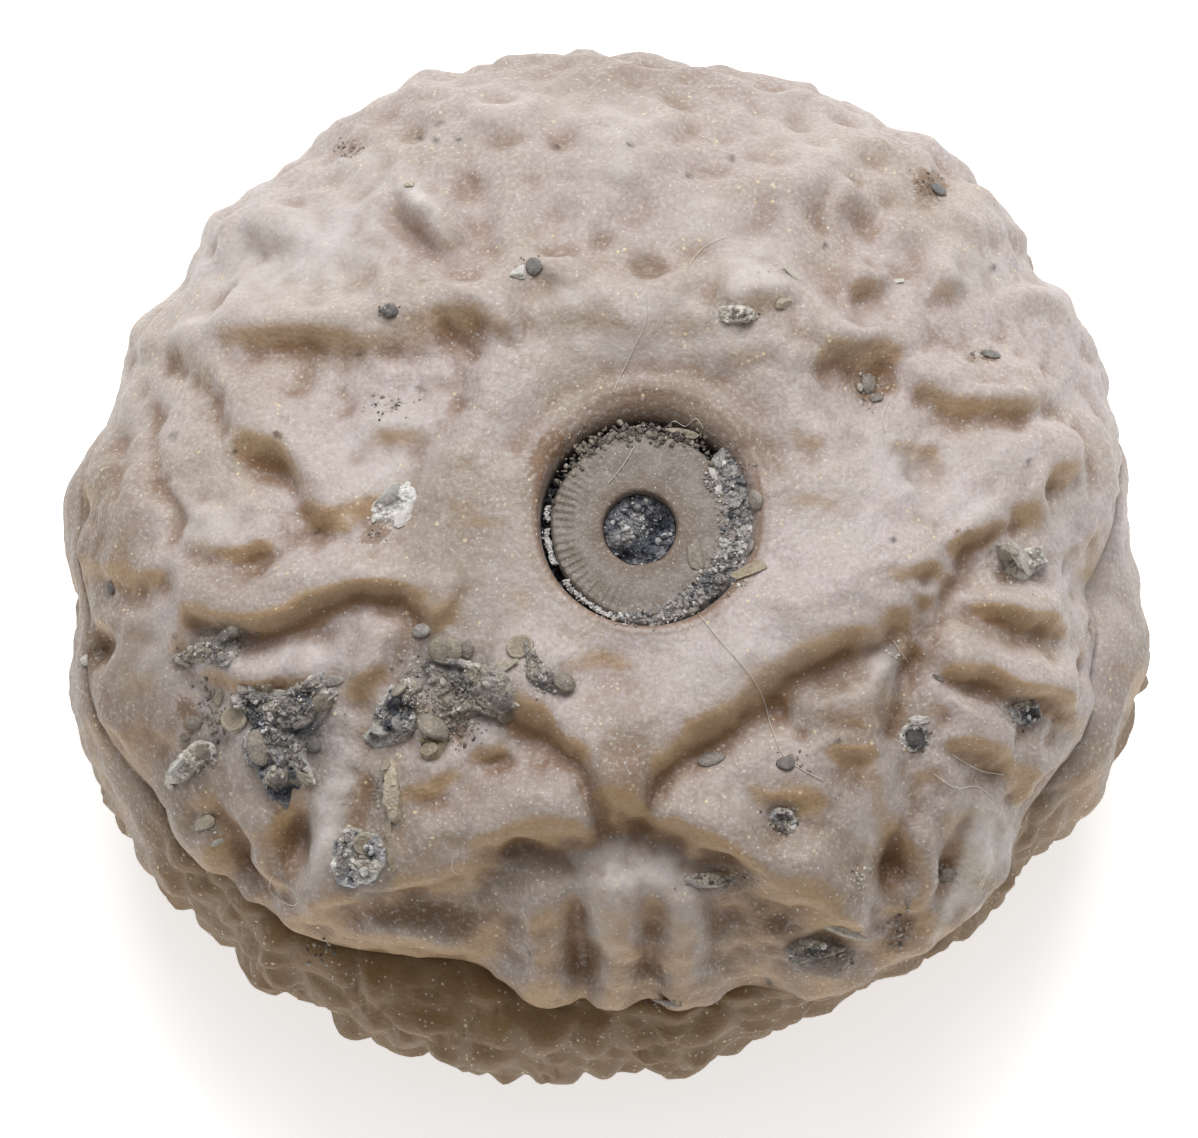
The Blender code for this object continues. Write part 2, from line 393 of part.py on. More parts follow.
def level_outline(outline, level, bearings):
    """Distance from the stem axis to an outline drawn on the sheet, at a level and each bearing."""
    path = round_path(outline + outline[:1])
    x = path[:, 0]
    y = (path[:, 1] - (level - FACET_Z) * math.cos(SHEET_LEAN)) / math.sin(SHEET_LEAN)
    turn = np.arctan2(y, x)
    return np.interp(bearings, *sorted_pair(turn, np.hypot(x, y)), period=2 * math.pi)


def sorted_pair(keys, values):
    """Both arrays in the order of the first."""
    order = np.argsort(keys)
    return keys[order], values[order]


def wobble(points, size):
    """Smooth seeded noise at each point, about -1 to 1, with lumps of the given size."""
    return np.array([noise.noise(Vector(p) / size) for p in points])


def roof_plates(points, size=1.7):
    """Height of the small convex plates of the roof: 0 in their seams, about 1 in their middles."""
    out = np.empty(len(points))
    for i, p in enumerate(points):
        near, second = noise.voronoi(Vector(p) / size)[0][:2]
        out[i] = min(1.0, 2.2 * (second - near))
    return out


def cup_rings():
    """Rings of points from the middle of the pit floor, over the lip, to the resting face."""
    bearings = np.linspace(0, 2 * math.pi, SECTORS, endpoint=False)
    unit = np.stack([np.cos(bearings), np.sin(bearings)], axis=1)
    right, back = np.clip(unit.T, 0, 1)
    rim = PIT_FLOOR_R + 0.15 + 0.2 * right + 0.65 * back ** 1.5
    behind = smooth((np.sin(bearings) - 0.1) / 0.35)
    lip_z = LEDGE_Z + (BACK_LIP_Z - LEDGE_Z) * behind
    lip = level_outline(LIP_OUTLINE, LEDGE_Z, bearings) * (1 - behind)
    lip += level_outline(GIRTH_OUTLINE, BACK_LIP_Z, bearings) * behind
    girth = level_outline(GIRTH_OUTLINE, GIRTH_Z, bearings) * 0.99 * (1 - behind)
    girth += (lip + 0.1) * behind
    notch_in = NOTCH_IN * smooth(0.3 - 1.2 * np.sin(bearings))
    floor_z = TOP_Z - PIT_DEPTH

    def ring(radius, z):
        xy = unit * np.broadcast_to(radius, bearings.shape)[:, None]
        return np.column_stack([xy, np.broadcast_to(z, bearings.shape)])

    rings = [ring(PIT_FLOOR_R, floor_z)]
    for k in range(1, PIT_WALL_RINGS + 1):
        w = k / PIT_WALL_RINGS * math.pi / 2
        radius = PIT_FLOOR_R + (rim - PIT_FLOOR_R) * (1 - math.cos(w))
        rings.append(ring(radius, floor_z + (PIT_DEPTH - 0.05) * math.sin(w)))
    first_dome = len(rings)
    for k in range(1, DOME_RINGS + 1):
        t = k / DOME_RINGS
        radius = rim + (lip - rim) * (1 - (1 - t) ** 1.15)
        rings.append(ring(radius, dome_z(radius / lip, lip_z)))
    last_dome = len(rings)
    shelf = ring(lip - notch_in, lip_z - NOTCH_DROP)
    rings.append(shelf)
    widest = ring(girth, GIRTH_Z)
    for k in range(1, FLANK_RINGS + 1):
        a = k / FLANK_RINGS * math.pi / 2
        blend = np.array([math.sin(a), math.sin(a), 1 - math.cos(a)])
        rings.append(shelf + (widest - shelf) * blend)
    rest = np.column_stack([unit * REST_R + REST_CENTRE, np.zeros(SECTORS)])
    for k in range(1, BELLY_RINGS + 1):
        a = k / BELLY_RINGS * math.pi / 2
        blend = np.array([1 - math.cos(a), 1 - math.cos(a), math.sin(a)])
        rings.append(widest + (rest - widest) * blend)
    return np.array(rings), first_dome, last_dome


def dome_z(s, lip_z):
    """Height of the plain dome at the fraction s of the way from the stem axis to the lip."""
    return TOP_Z - (TOP_Z - lip_z) * (1 - (1 - np.clip(s, 0, 1) ** 2.6) ** 0.6)


def outward(rings):
    """Unit normals of a grid of rings that wraps round in its second direction."""
    across = np.gradient(rings, axis=0)
    around = np.roll(rings, -1, axis=1) - np.roll(rings, 1, axis=1)
    normal = np.cross(across, around)
    return normal / np.linalg.norm(normal, axis=2, keepdims=True)


def mean_relief(u, v):
    """Relief averaged over the small square that each vertex stands for."""
    offsets = (-0.3, 0.0, 0.3)
    return sum(relief(u + a, v + b) for a in offsets for b in offsets) / len(offsets) ** 2


def carved_cup():
    """The cup's rings with their relief: steps and ridges above the lip, small plates below."""
    plain, first_dome, last_dome = cup_rings()
    normal = outward(plain)
    normal[first_dome] = (0.0, 0.0, 1.0)
    rings = plain.copy()
    dome = slice(first_dome, last_dome)
    for _ in range(2):
        u, v = sheet_of(rings[dome])
        height = mean_relief(u, v)
        rings[dome] = plain[dome] + normal[dome] * height[..., None]
    raise_wall(rings, first_dome)
    flank = slice(last_dome + 1, len(plain) - 1)
    points = plain[flank].reshape(-1, 3)
    height = (0.3 * roof_plates(points) - 0.15).reshape(plain[flank].shape[:2])
    fade = np.sin(np.linspace(0.05, 1, height.shape[0]) * math.pi) ** 0.5
    rings[flank] += normal[flank] * (height * fade[:, None])[..., None]
    return rings


def raise_wall(rings, first_dome):
    """Stretch the wall of the pit up to the dome's first ring."""
    floor_z = TOP_Z - PIT_DEPTH
    share = (rings[1:first_dome, :, 2] - floor_z) / (rings[first_dome - 1, :, 2] - floor_z)
    rings[1:first_dome, :, 2] = floor_z + share * (rings[first_dome, :, 2] - 0.08 - floor_z)


def mesh_object(name, vertices, faces, finish, is_smooth=True):
    """A closed object from vertices in millimetres, with its own material."""
    mesh = bpy.data.meshes.new(name)
    mesh.from_pydata([tuple(float(c) * MM for c in p) for p in vertices], [], faces)
    mesh.validate()
    if is_smooth:
        mesh.shade_smooth()
    obj = bpy.data.objects.new(name, mesh)
    bpy.context.scene.collection.objects.link(obj)
    colour, roughness, metallic = FINISHES[finish]
    material = bpy.data.materials.new(name)
    material.use_nodes = True
    shader = material.node_tree.nodes["Principled BSDF"]
    shader.inputs["Base Color"].default_value = (*colour, 1.0)
    shader.inputs["Roughness"].default_value = roughness
    shader.inputs["Metallic"].default_value = metallic
    mesh.materials.append(material)
    return obj


def ring_faces(ring_count, sectors, first=0):
    """Triangles between rings of vertices that run from the top inwards and down to the base."""
    faces = []
    for i in range(ring_count - 1):
        for j in range(sectors):
            a = first + i * sectors + j
            b = first + i * sectors + (j + 1) % sectors
            c = a + sectors
            d = b + sectors
            faces += [(a, c, d), (a, d, b)]
    return faces


def closed_turning(name, rings, finish):
    """A closed body from rings listed from its top middle, over its rim, to its bottom middle."""
    rings = np.asarray(rings)
    count, sectors = rings.shape[:2]
    vertices = list(rings.reshape(-1, 3))
    faces = ring_faces(count, sectors)
    top = len(vertices)
    vertices.append(rings[0].mean(axis=0))
    bottom = len(vertices)
    vertices.append(rings[-1].mean(axis=0))
    last = (count - 1) * sectors
    for j in range(sectors):
        k = (j + 1) % sectors
        faces.append((top, j, k))
        faces.append((bottom, last + k, last + j))
    return mesh_object(name, vertices, faces, finish)


def make_cup():
    """The calyx, from the pit floor to the flat worn patch that it rests on."""
    rings = carved_cup()
    return closed_turning("calyx", rings, "calcite")


def turned(profile, sectors):
    """Rings of a turned shape from (radius, z) pairs."""
    bearings = np.linspace(0, 2 * math.pi, sectors, endpoint=False)
    return np.array([[(r * math.cos(b), r * math.sin(b), z) for b in bearings] for r, z in profile])


def make_stem_disc():
    """The last disc of the stem, with radial ridges round its face and a canal through it."""
    low = FACET_Z - DISC_THICK
    profile = (
        (LUMEN_R, low), (LUMEN_R, FACET_Z - 0.2), (LUMEN_R + 0.15, FACET_Z - 0.04),
        (CRENULA_INNER_R, FACET_Z), (DISC_R - 0.06, FACET_Z),
        (DISC_R, FACET_Z - 0.12), (DISC_R, low))
    sectors = 2 * CRENULA_COUNT
    rings = turned(profile, sectors)
    rings[4, ::2, 2] += CRENULA_HEIGHT
    rings[4, 1::2, 2] -= CRENULA_HEIGHT / 2
    faces = ring_faces(len(rings) + 1, sectors)
    vertices = rings.reshape(-1, 3)
    faces = [tuple(i % len(vertices) for i in f) for f in faces]
    return mesh_object("stem_columnal", vertices, faces, "stem")


def make_canal_fill():
    """Crystals that fill the stem's canal."""
    sectors = 20
    radius = LUMEN_R - 0.12
    low = FACET_Z - DISC_THICK
    profile = ((0.3, FACET_Z - 0.12), (0.6, FACET_Z - 0.18), (radius, FACET_Z - 0.3), (radius, low))
    rings = turned(profile, sectors)
    lumps = wobble(rings[:3].reshape(-1, 3), 0.35).reshape(3, sectors)
    rings[:3, :, 2] += 0.06 * lumps
    return closed_turning("canal_crystals", rings, "crystals")


def make_pit_crescent():
    """Matrix that fills the right side of the gap round the disc and laps onto its face."""
    bearings = np.radians(np.linspace(-78, 42, 25))
    low = FACET_Z + CRENULA_HEIGHT + 0.08
    section = ((2.0, low), (2.08, low + 0.14), (2.45, low + 0.2), (2.8, low + 0.17), (2.88, low))
    swell = np.sin(np.linspace(0.12, 0.88, len(bearings)) * math.pi)
    stations = []
    for b, w in zip(bearings, swell):
        middle = 2.44
        loop = []
        for r, z in section:
            radius = middle + (r - middle) * w if r < middle else r
            loop.append((radius * math.cos(b), radius * math.sin(b), low + (z - low) * (0.4 + 0.6 * w)))
        stations.append(loop)
    count = len(section)
    vertices = [p for loop in stations for p in loop]
    faces = []
    for i in range(len(stations) - 1):
        for j in range(count):
            a = i * count + j
            b = i * count + (j + 1) % count
            faces += [(a, b, b + count), (a, b + count, a + count)]
    last = (len(stations) - 1) * count
    for j in range(1, count - 1):
        faces.append((0, j + 1, j))
        faces.append((last, last + j, last + j + 1))
    return mesh_object("pit_crescent", vertices, faces, "dark", is_smooth=False)


def drop_to(tree, u, v):
    """Where the line of sight through the sheet's point (u, v) meets the cup, and the normal."""
    sight = Vector((0.0, math.cos(SHEET_LEAN), -math.sin(SHEET_LEAN)))
    up = Vector((0.0, math.sin(SHEET_LEAN), math.cos(SHEET_LEAN)))
    start = Vector((u, 0.0, FACET_Z)) + up * v - sight * 60.0
    place, normal, _, _ = tree.ray_cast(start * MM, sight)
    return place / MM, normal


def make_crust(tree, name, finish, thick, outline):
    """One crumb of matrix: its underside follows the cup at a small gap, and its top is lumpy."""
    edge = np.array(outline[::-1])
    middle = edge.mean(axis=0)
    shares = (0.35, 0.7, 1.0)
    tops = []
    unders = []
    for share in shares:
        top_ring = []
        under_ring = []
        for u, v in middle + (edge - middle) * share:
            place, normal = drop_to(tree, u, v)
            lean = (normal + Vector((0, 0, 1))).normalized()
            lump = 0.75 + 0.35 * noise.noise(Vector((u, v, 0.0)) / 0.5)
            height = thick * lump * (1.0 if share < 0.9 else 0.55)
            under_ring.append(place + lean * SKIN_GAP)
            top_ring.append(place + lean * (SKIN_GAP + height))
        tops.append(top_ring)
        unders.append(under_ring)
    return closed_turning(name, tops + unders[::-1], finish)


def build():
    """Clear the file's objects and make every piece."""
    for obj in list(bpy.data.objects):
        bpy.data.objects.remove(obj, do_unlink=True)
    cup = make_cup()
    make_stem_disc()
    make_canal_fill()
    make_pit_crescent()
    tree = BVHTree.FromObject(cup, bpy.context.evaluated_depsgraph_get())
    for name, finish, thick, outline in CRUSTS:
        make_crust(tree, name, finish, thick, outline)


build()
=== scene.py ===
"""A fossil crinoid's cup, lying on its roof, with the last disc of its stem and crumbs of matrix.

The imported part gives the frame. Shapes are drawn in millimetres on the same tilted sheet as the
part's own: u runs to the right along +X, and v runs up the sheet, which leans back from the front
(-Y) side. The stem axis is at (0, 0) on it. Meshes are in metres, +Z up.
"""

from math import cos, exp, hypot, pi, radians, sin, sqrt, tau

import bmesh
import bpy
import numpy as np
from mathutils import Matrix, Vector, noise
from mathutils.bvhtree import BVHTree


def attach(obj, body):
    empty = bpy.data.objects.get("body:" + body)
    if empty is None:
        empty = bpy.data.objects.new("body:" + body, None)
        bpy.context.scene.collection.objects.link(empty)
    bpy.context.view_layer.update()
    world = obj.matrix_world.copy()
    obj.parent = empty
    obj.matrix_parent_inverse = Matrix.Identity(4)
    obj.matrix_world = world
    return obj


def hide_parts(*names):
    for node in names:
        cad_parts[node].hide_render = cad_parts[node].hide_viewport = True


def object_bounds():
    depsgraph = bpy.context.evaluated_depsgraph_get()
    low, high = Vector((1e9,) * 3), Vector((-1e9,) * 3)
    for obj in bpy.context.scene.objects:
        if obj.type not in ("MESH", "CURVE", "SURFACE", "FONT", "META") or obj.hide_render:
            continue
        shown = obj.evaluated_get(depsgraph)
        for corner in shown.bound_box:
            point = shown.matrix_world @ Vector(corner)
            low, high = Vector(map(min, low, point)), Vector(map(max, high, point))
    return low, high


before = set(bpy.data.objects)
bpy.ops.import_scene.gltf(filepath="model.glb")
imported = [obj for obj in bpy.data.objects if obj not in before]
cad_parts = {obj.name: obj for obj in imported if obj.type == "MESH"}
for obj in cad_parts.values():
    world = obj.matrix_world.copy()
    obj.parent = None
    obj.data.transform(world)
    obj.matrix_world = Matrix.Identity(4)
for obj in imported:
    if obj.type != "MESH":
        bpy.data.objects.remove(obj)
cad_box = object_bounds()

MM = 0.001

# Sizes of the part, in millimetres.
SHEET_LEAN = radians(78.0)  # elevation from which the sheet is seen
TOP_Z = 17.4  # highest plain of the upper side
FACET_Z = 17.0  # upper face of the stem disc
LEDGE_Z = 11.0  # lip of the cup in front, where the arms stood
BACK_LIP_Z = 9.0  # level at which the smooth back turns under
GIRTH_Z = 7.3  # widest level, on the roof's flank
NOTCH_DROP = 0.55  # depth of the shelf under the lip
NOTCH_IN = 0.4  # how far the shelf cuts in under the lip in front
REST_CENTRE = (-1.1, 1.0)  # middle of the worn resting face
REST_R = 6.2
PIT_FLOOR_R = 2.8
PIT_DEPTH = 1.5
RIM_OUT = 0.15  # how far the pit's rim lies outside its floor
RIM_OUT_RIGHT = 0.2  # how much farther at the right, and at the back
RIM_OUT_BACK = 0.65
DISC_R = 2.55  # stem disc
DISC_THICK = 0.75
LUMEN_R = 0.98  # canal through the disc
CRENULA_COUNT = 66  # radial ridges on the disc's rim
CRENULA_INNER_R = 1.85
CRENULA_RISE = 0.028
CLEAR_BEARING = radians(205.0)  # middle of the side where the crenulae are clear
CANAL_LEVEL = -0.36  # middle level of the canal's crystals, from the disc's face
CANAL_SHIFT = (-0.14, -0.07)  # how far the canal's mouth lies off the middle
SEAM_RISE = 0.7  # how far the roof's upper edge lies over the widest level
PLATE_BULGE = 0.46  # height of the roof's small plates
CRUST_SINK = 0.25  # how far a crust goes into the cup
TINY_GRAIN = 0.06  # a grain under this size is made from the plainest ball
FIBRE_R = 0.011
TABLE_WIDTH = 4000.0

# How the drawn relief is turned into heights.
RELIEF_GAIN = 1.32  # strength of the drawn relief
BACK_GAIN = 1.4  # strength of the relief at the back, against the front
EDGE_SHARE = 1.1  # how wide an edge is, against its drawn width
FINE_EDGE_SHARE = 1.2
FOOT = 0.34  # how far an edge's foot lies out from its line, in drawn widths
STEP_FADE = 0.6  # length over which a step fades at its ends, in millimetres
RIDGE_FADE = 1.2
CREST_REACH = 1.2  # a crest stands above the mean within this distance
CREST_RISE = 0.3  # height above that mean from which a crest is worn
CREST_WEAR = 0.6  # share of what stands higher that is worn off
SCALLOP_START = 0.8  # share of the dome's rings from which the lip's scallops show

# Layers of noise: strength in millimetres, size of the lumps, shift.
WANDER_U = ((0.13, 0.9, 0.0), (0.05, 0.35, 7.0))
WANDER_V = ((0.13, 0.9, 19.0), (0.05, 0.35, 31.0))
LUMPS = ((0.19, 2.3, 0.0), (0.19, 1.1, 0.0))
SMALL_LUMPS = ((0.09, 0.5, 0.0), (0.03, 0.25, 0.0))
BACK_KNOBS = ((0.26, 1.6, 40.0), (0.2, 0.85, -20.0))
WALL_LUMPS = ((0.22, 2.2, 0.0), (0.12, 0.9, 0.0), (0.05, 0.4, 0.0))
SEAM_WANDER = ((0.9, 2.6, 0.0), (0.3, 0.9, 0.0))
GAP_EDGE = ((0.14, 0.35, 0.0), (0.08, 0.12, 0.0))

# Fineness of the meshes, and how often a field is averaged.
SECTORS = 600
DOME_RINGS = 100
LIP_RINGS = 3
FLANK_RINGS = 16
BELLY_RINGS = 32
PIT_WALL_RINGS = 9
RING_STEP = 0.11  # usual distance between the dome's rings
RIM_EASE = 6  # rings over which the uneven growth sets in at the pit's rim
LIP_EASE = 400
NORMAL_EASE = 12
CRUST_SHARES = np.append(np.linspace(0.04, 0.97, 32), 1.0)  # rings of a crust
CRUST_GRAINS = 110  # grains on a square millimetre of a crust's box
SMALL_DISC_SIDES = 40
FIBRE_SIDES = 6

# Line of sight of the camera, square to the sheet, and the way up the sheet.
SIGHT = Vector((0.0, cos(SHEET_LEAN), -sin(SHEET_LEAN)))
SHEET_UP = Vector((0.0, sin(SHEET_LEAN), cos(SHEET_LEAN)))

# Camera: its frame, where the stem axis stands in it from the top left, and its scale.
FRAME_PIXELS = (1198, 1138)
AXIS_PIXEL = (645, 525)
PIXELS_PER_MM = 37.0
SENSOR_WIDTH = 36.0
CAMERA_DISTANCE = 0.6

# Paths and outlines are points (u, v) of the sheet. An oval is u, v, half length, half width and
# its turn in degrees.

# Outline of the roof's widest level, clockwise from the top.
GIRTH_OUTLINE = (
    (-0.2, 13), (2, 12.5), (3.8, 12.2), (4.5, 12), (5, 11.5), (6.3, 11.2), (7.4, 10.6), (8.5, 9.9),
    (9.6, 9.1), (10.3, 8.2), (10.7, 7), (11.7, 6.05), (12.5, 4.3), (12.75, 3.3), (13.2, 2), (13.5, -0.4),
    (13.7, -2), (13.95, -3.6), (13.85, -4.4), (13.2, -6), (12.5, -7.5), (11.3, -8.7), (10.4, -9.4),
    (9.9, -10.2), (8.75, -11.2), (7.5, -11.9), (6.5, -12.6), (4.6, -13.3), (3.6, -14), (2.1, -14.5),
    (0.8, -15.05), (-0.5, -14.8), (-2.1, -15.2), (-4.1, -15.1), (-6.1, -14.5), (-8.2, -13.8), (-9.2, -12.9),
    (-10.6, -12.6), (-11.4, -11.6), (-12.1, -10.9), (-13.3, -10), (-14.2, -8.7), (-15.3, -6.7),
    (-15.9, -4.5), (-15.7, -2.4), (-16.1, -0.5), (-15.9, 1.4), (-14.7, 3), (-14.3, 4.3), (-13.8, 5.4),
    (-12.8, 6.5), (-11.8, 8.1), (-10.9, 8.7), (-9, 10.6), (-8, 11.35), (-6.9, 11.8), (-6.4, 12.15),
    (-5.05, 12.3), (-4.2, 12.6), (-3.2, 12.8), (-1.2, 12.85))

# Outline of the cup's lip where it shows, from the right round the front to the left.
LIP_OUTLINE = (
    (10.4, 6.9), (11.4, 5.8), (12.2, 4.2), (12.5, 3.2), (12.8, 1.8), (12.8, 0.2), (12.3, -1.1), (12, -1.8),
    (12.3, -2.7), (12.2, -3.6), (12.1, -4.3), (12.2, -4.9), (11.9, -5.7), (11.4, -6.4), (10.9, -7.1),
    (10.4, -7.8), (10.2, -8.4), (9.9, -9.3), (9.3, -10.2), (8.4, -11), (7.4, -11.7), (6.4, -12.1),
    (5.8, -12.6), (4.6, -12.8), (3.6, -12.6), (2.7, -12.5), (1.8, -12.9), (0.9, -13.2), (0.1, -12.85),
    (-0.8, -13.2), (-1.6, -12.8), (-2.2, -13.05), (-2.9, -13), (-3.6, -12.6), (-4.6, -11.9), (-6.1, -11.7),
    (-7.2, -11.6), (-8.4, -11.4), (-9.3, -11.1), (-9.9, -10.7), (-10.6, -10.15), (-11.3, -9.6),
    (-11.9, -9.1), (-12.6, -8.3), (-13.1, -7.5), (-13.6, -6.9), (-14.2, -6.2), (-14.8, -5.3), (-15.1, -4.5),
    (-15.2, -3.5), (-15.1, -2.4), (-15.4, -0.9), (-15.3, 0.5), (-15.2, 1.4), (-14.3, 2.8), (-13.9, 4.2),
    (-13.4, 5.3), (-12.4, 6.3), (-11.4, 7.9))

# Plates: closed outline, height, edge width. The land inside the outline is raised.
PLATES = (
    # middle platform
    (((-0.6, -8.5), (-1.15, -7.5), (-1.8, -6.5), (-3, -5.3), (-4.6, -4.3), (-5.7, -3), (-6.2, -1.5),
      (-6.3, 0.5), (-5.6, 2), (-4.7, 3.2), (-4.2, 4.5), (-3.5, 5.5), (-2.3, 5.2), (-0.1, 4.7), (2, 4.75),
      (3.7, 5), (4.4, 4.2), (4.7, 3), (5.3, 2.1), (6.4, 1.6), (7.4, 0.5), (7.8, -1), (7.5, -2.5),
      (6.3, -2.8), (4.1, -3.8), (2.7, -4.9), (1.2, -6), (0.3, -6.8), (-0.05, -7.7)), 0.3, 1),
    # front lobes
    (((-1.35, -8.15), (-1.5, -7.3), (-2.1, -6.6), (-3.2, -6), (-4.6, -6), (-6.5, -6.2), (-7.4, -7.2),
      (-8, -8.6), (-8.9, -10.2), (-7.4, -10.1), (-6.1, -9.9), (-5.2, -9.5), (-4.5, -9.1), (-3.6, -8.6),
      (-2.5, -8.6)), 0.45, 0.9),
    (((0.15, -7.9), (0.5, -7.2), (1.4, -6.6), (2.6, -5.9), (3.8, -5.2), (5.2, -4.3), (6.6, -3.6),
      (6.9, -4.8), (6.7, -6.2), (6.9, -7.6), (6.2, -8.6), (6.1, -10), (5.6, -11), (4.2, -10.5), (3.2, -9.9),
      (2.4, -9.2), (1.2, -8.5)), 0.4, 0.9),
    # left arm
    (((-13, -2.2), (-11.5, -2.6), (-10.3, -2.7), (-8.9, -1.95), (-7.5, -1.6), (-6.6, -1.6), (-7.8, -0.8),
      (-9.5, -0.5), (-11, -1), (-12.6, -0.9)), 0.15, 0.6),
    (((-12.6, -0.5), (-12.5, 0.4), (-11, 0.8), (-9.9, 1), (-9.3, 0.3), (-9.6, -0.3), (-11, -0.7)), 0.15,
      0.5),
)

# Steps: path, height, edge width, reach of the back slope. The high side is on the left.
STEPS = (
    # middle platform
    (((-0.25, -8.2), (0.1, -7.3), (0.45, -6.65), (1.2, -6.1), (2, -5.6), (2.7, -5), (3.3, -4.4),
      (4.1, -3.9), (5.1, -3.4), (6.3, -2.9), (7, -2.6), (7.6, -2.6)), 0.55, 0.9, 2.6),
    (((-4.6, -4.6), (-3.6, -4.9), (-3, -5.3), (-2.4, -5.9), (-1.8, -6.5), (-1.35, -7.1), (-1.15, -7.7),
      (-1.1, -8.4)), 0.45, 0.8, 2.2),
    (((-4.1, 5), (-3.5, 5.6), (-2.9, 5.65), (-2.3, 5.3), (-1.2, 4.85), (0, 4.7), (2, 4.7), (3.6, 4.95),
      (4.1, 4.6), (4.4, 4)), 0.4, 1.5, 1.3),
    # front lobes
    (((-9.6, -11.1), (-8.2, -10.6), (-7.2, -10.3), (-6.1, -10.1), (-5.3, -9.75), (-4.5, -9.4), (-4.1, -9),
      (-3.6, -8.7), (-2.6, -8.75), (-1.8, -8.6), (-1, -8.3)), 0.6, 0.8, 1.8),
    (((-0.2, -8.1), (0.4, -8.4), (1.1, -8.75), (1.7, -9), (2.4, -9.4), (3.1, -10), (4, -10.6), (5, -11.1),
      (6.3, -11.5)), 0.6, 0.8, 1.8),
    # left arm
    (((-13.2, -2.4), (-12.2, -2.6), (-11.5, -2.8), (-10.5, -2.85), (-9.6, -2.5), (-8.8, -2.05),
      (-7.7, -1.8), (-6.9, -1.9), (-6.3, -2.3), (-5.4, -2.9)), 0.5, 0.75, 1.6),
    (((-12.4, -4), (-11.5, -4.15), (-10.8, -4.25), (-10, -4.3), (-9.3, -4.2), (-8.6, -4)), 0.35, 0.5, 1),
    (((-12.4, -0.65), (-11.8, -0.7), (-11.1, -1), (-10.4, -0.75), (-9.6, -0.3)), 0.25, 0.6, 0.8),
    (((-15.6, -0.8), (-14.9, -1.4), (-14.2, -1.65), (-13.5, -1.4), (-13, -0.8)), 0.3, 0.6, 0.9),
    (((-15.2, -2.8), (-14.5, -2.9), (-13.9, -3), (-13.3, -2.8)), 0.25, 0.5, 0.5),
    # upper left
    (((-13.4, 5.3), (-12.5, 4.7), (-11.9, 4.05), (-11.4, 3.5), (-11.1, 2.8), (-10.6, 2.25), (-9.7, 1.55),
      (-9.2, 0.7), (-8.7, 0.2), (-7.9, -0.5)), 0.45, 0.8, 1.6),
    (((-12.2, 5.7), (-11.2, 5.25), (-10.3, 4.95), (-9.3, 4.9), (-8, 4.95), (-7, 5), (-6, 5.2), (-5.4, 5.4),
      (-4.6, 5.1), (-4, 4.6)), 0.45, 1, 1.3),
    (((-14.6, 5), (-13.6, 4.7), (-12.9, 4.5)), 0.25, 0.6, 0.8),
    # right
    (((6.9, 4.2), (7.4, 3.75), (8, 3.4), (8.8, 3.05), (10, 3.05), (10.7, 3.3), (11.5, 3.9)), 0.45, 0.8,
      1.1),
    (((8.2, -1.4), (8.5, -0.85), (8.9, -0.45), (9.4, -0.15), (10.1, 0.1), (10.8, 0.4), (10.95, 0.95),
      (11.3, 1.4), (12, 1.9), (12.4, 2.8)), 0.45, 0.6, 1.6),
    (((6.7, -1.2), (7.3, -1.7), (7.8, -1.8), (8.2, -1.5), (8.6, -0.9)), 0.35, 0.6, 0.9),
    (((8.8, -2.1), (9.8, -2.45), (10.9, -2.75), (11.8, -2.75)), 0.4, 0.7, 0.8),
    (((7.7, -3.6), (8.8, -4.1), (9.8, -4.4), (11, -4.7), (12.2, -5)), 0.55, 0.8, 1),
    (((7.8, -5.6), (8.8, -6.1), (9.6, -6.15), (10.4, -6.2)), 0.45, 0.7, 0.9),
    (((9, -6.3), (10.3, -6.7), (11.3, -6.3)), 0.25, 0.5, 0.7),
    (((4.6, 1.5), (5.1, 1.9), (5.4, 3)), 0.2, 0.6, 0.8),
    (((3.2, 0.9), (3.9, 1.35), (4.9, 1.6), (5.3, 1.7)), -0.2, 0.4, 1.2),
    # back
    (((-5, 10.7), (-4.4, 10.8), (-3.6, 10.85), (-3, 11.2), (-2.4, 11.5)), 0.35, 0.6, 0.9),
    (((-11.9, 7.3), (-11.3, 7.5), (-10.5, 7.7), (-9.8, 7.5), (-8.9, 7.8)), 0.35, 0.7, 0.9),
    (((-7.8, 6.4), (-6.9, 6.3), (-6, 6.5)), 0.3, 0.7, 0.7),
    (((1.7, 6.2), (2.6, 6), (3.5, 6.1), (3.9, 6.7)), 0.3, 0.5, 0.7),
    (((5.2, 6.3), (6, 6.4), (6.8, 6.9)), 0.4, 0.7, 0.7),
    (((7.6, 6.4), (8.3, 6.5), (8.9, 6.9)), 0.35, 0.7, 0.7),
    (((6.4, 7.2), (7, 7.9), (7.5, 8.9)), -0.25, 0.7, 0.8),
    (((4.9, 8.7), (5.6, 8.6), (6.3, 9)), 0.35, 0.6, 0.6),
    (((9.9, 6.2), (10.8, 5.9), (11.5, 5.9)), 0.2, 0.5, 0.6),
)

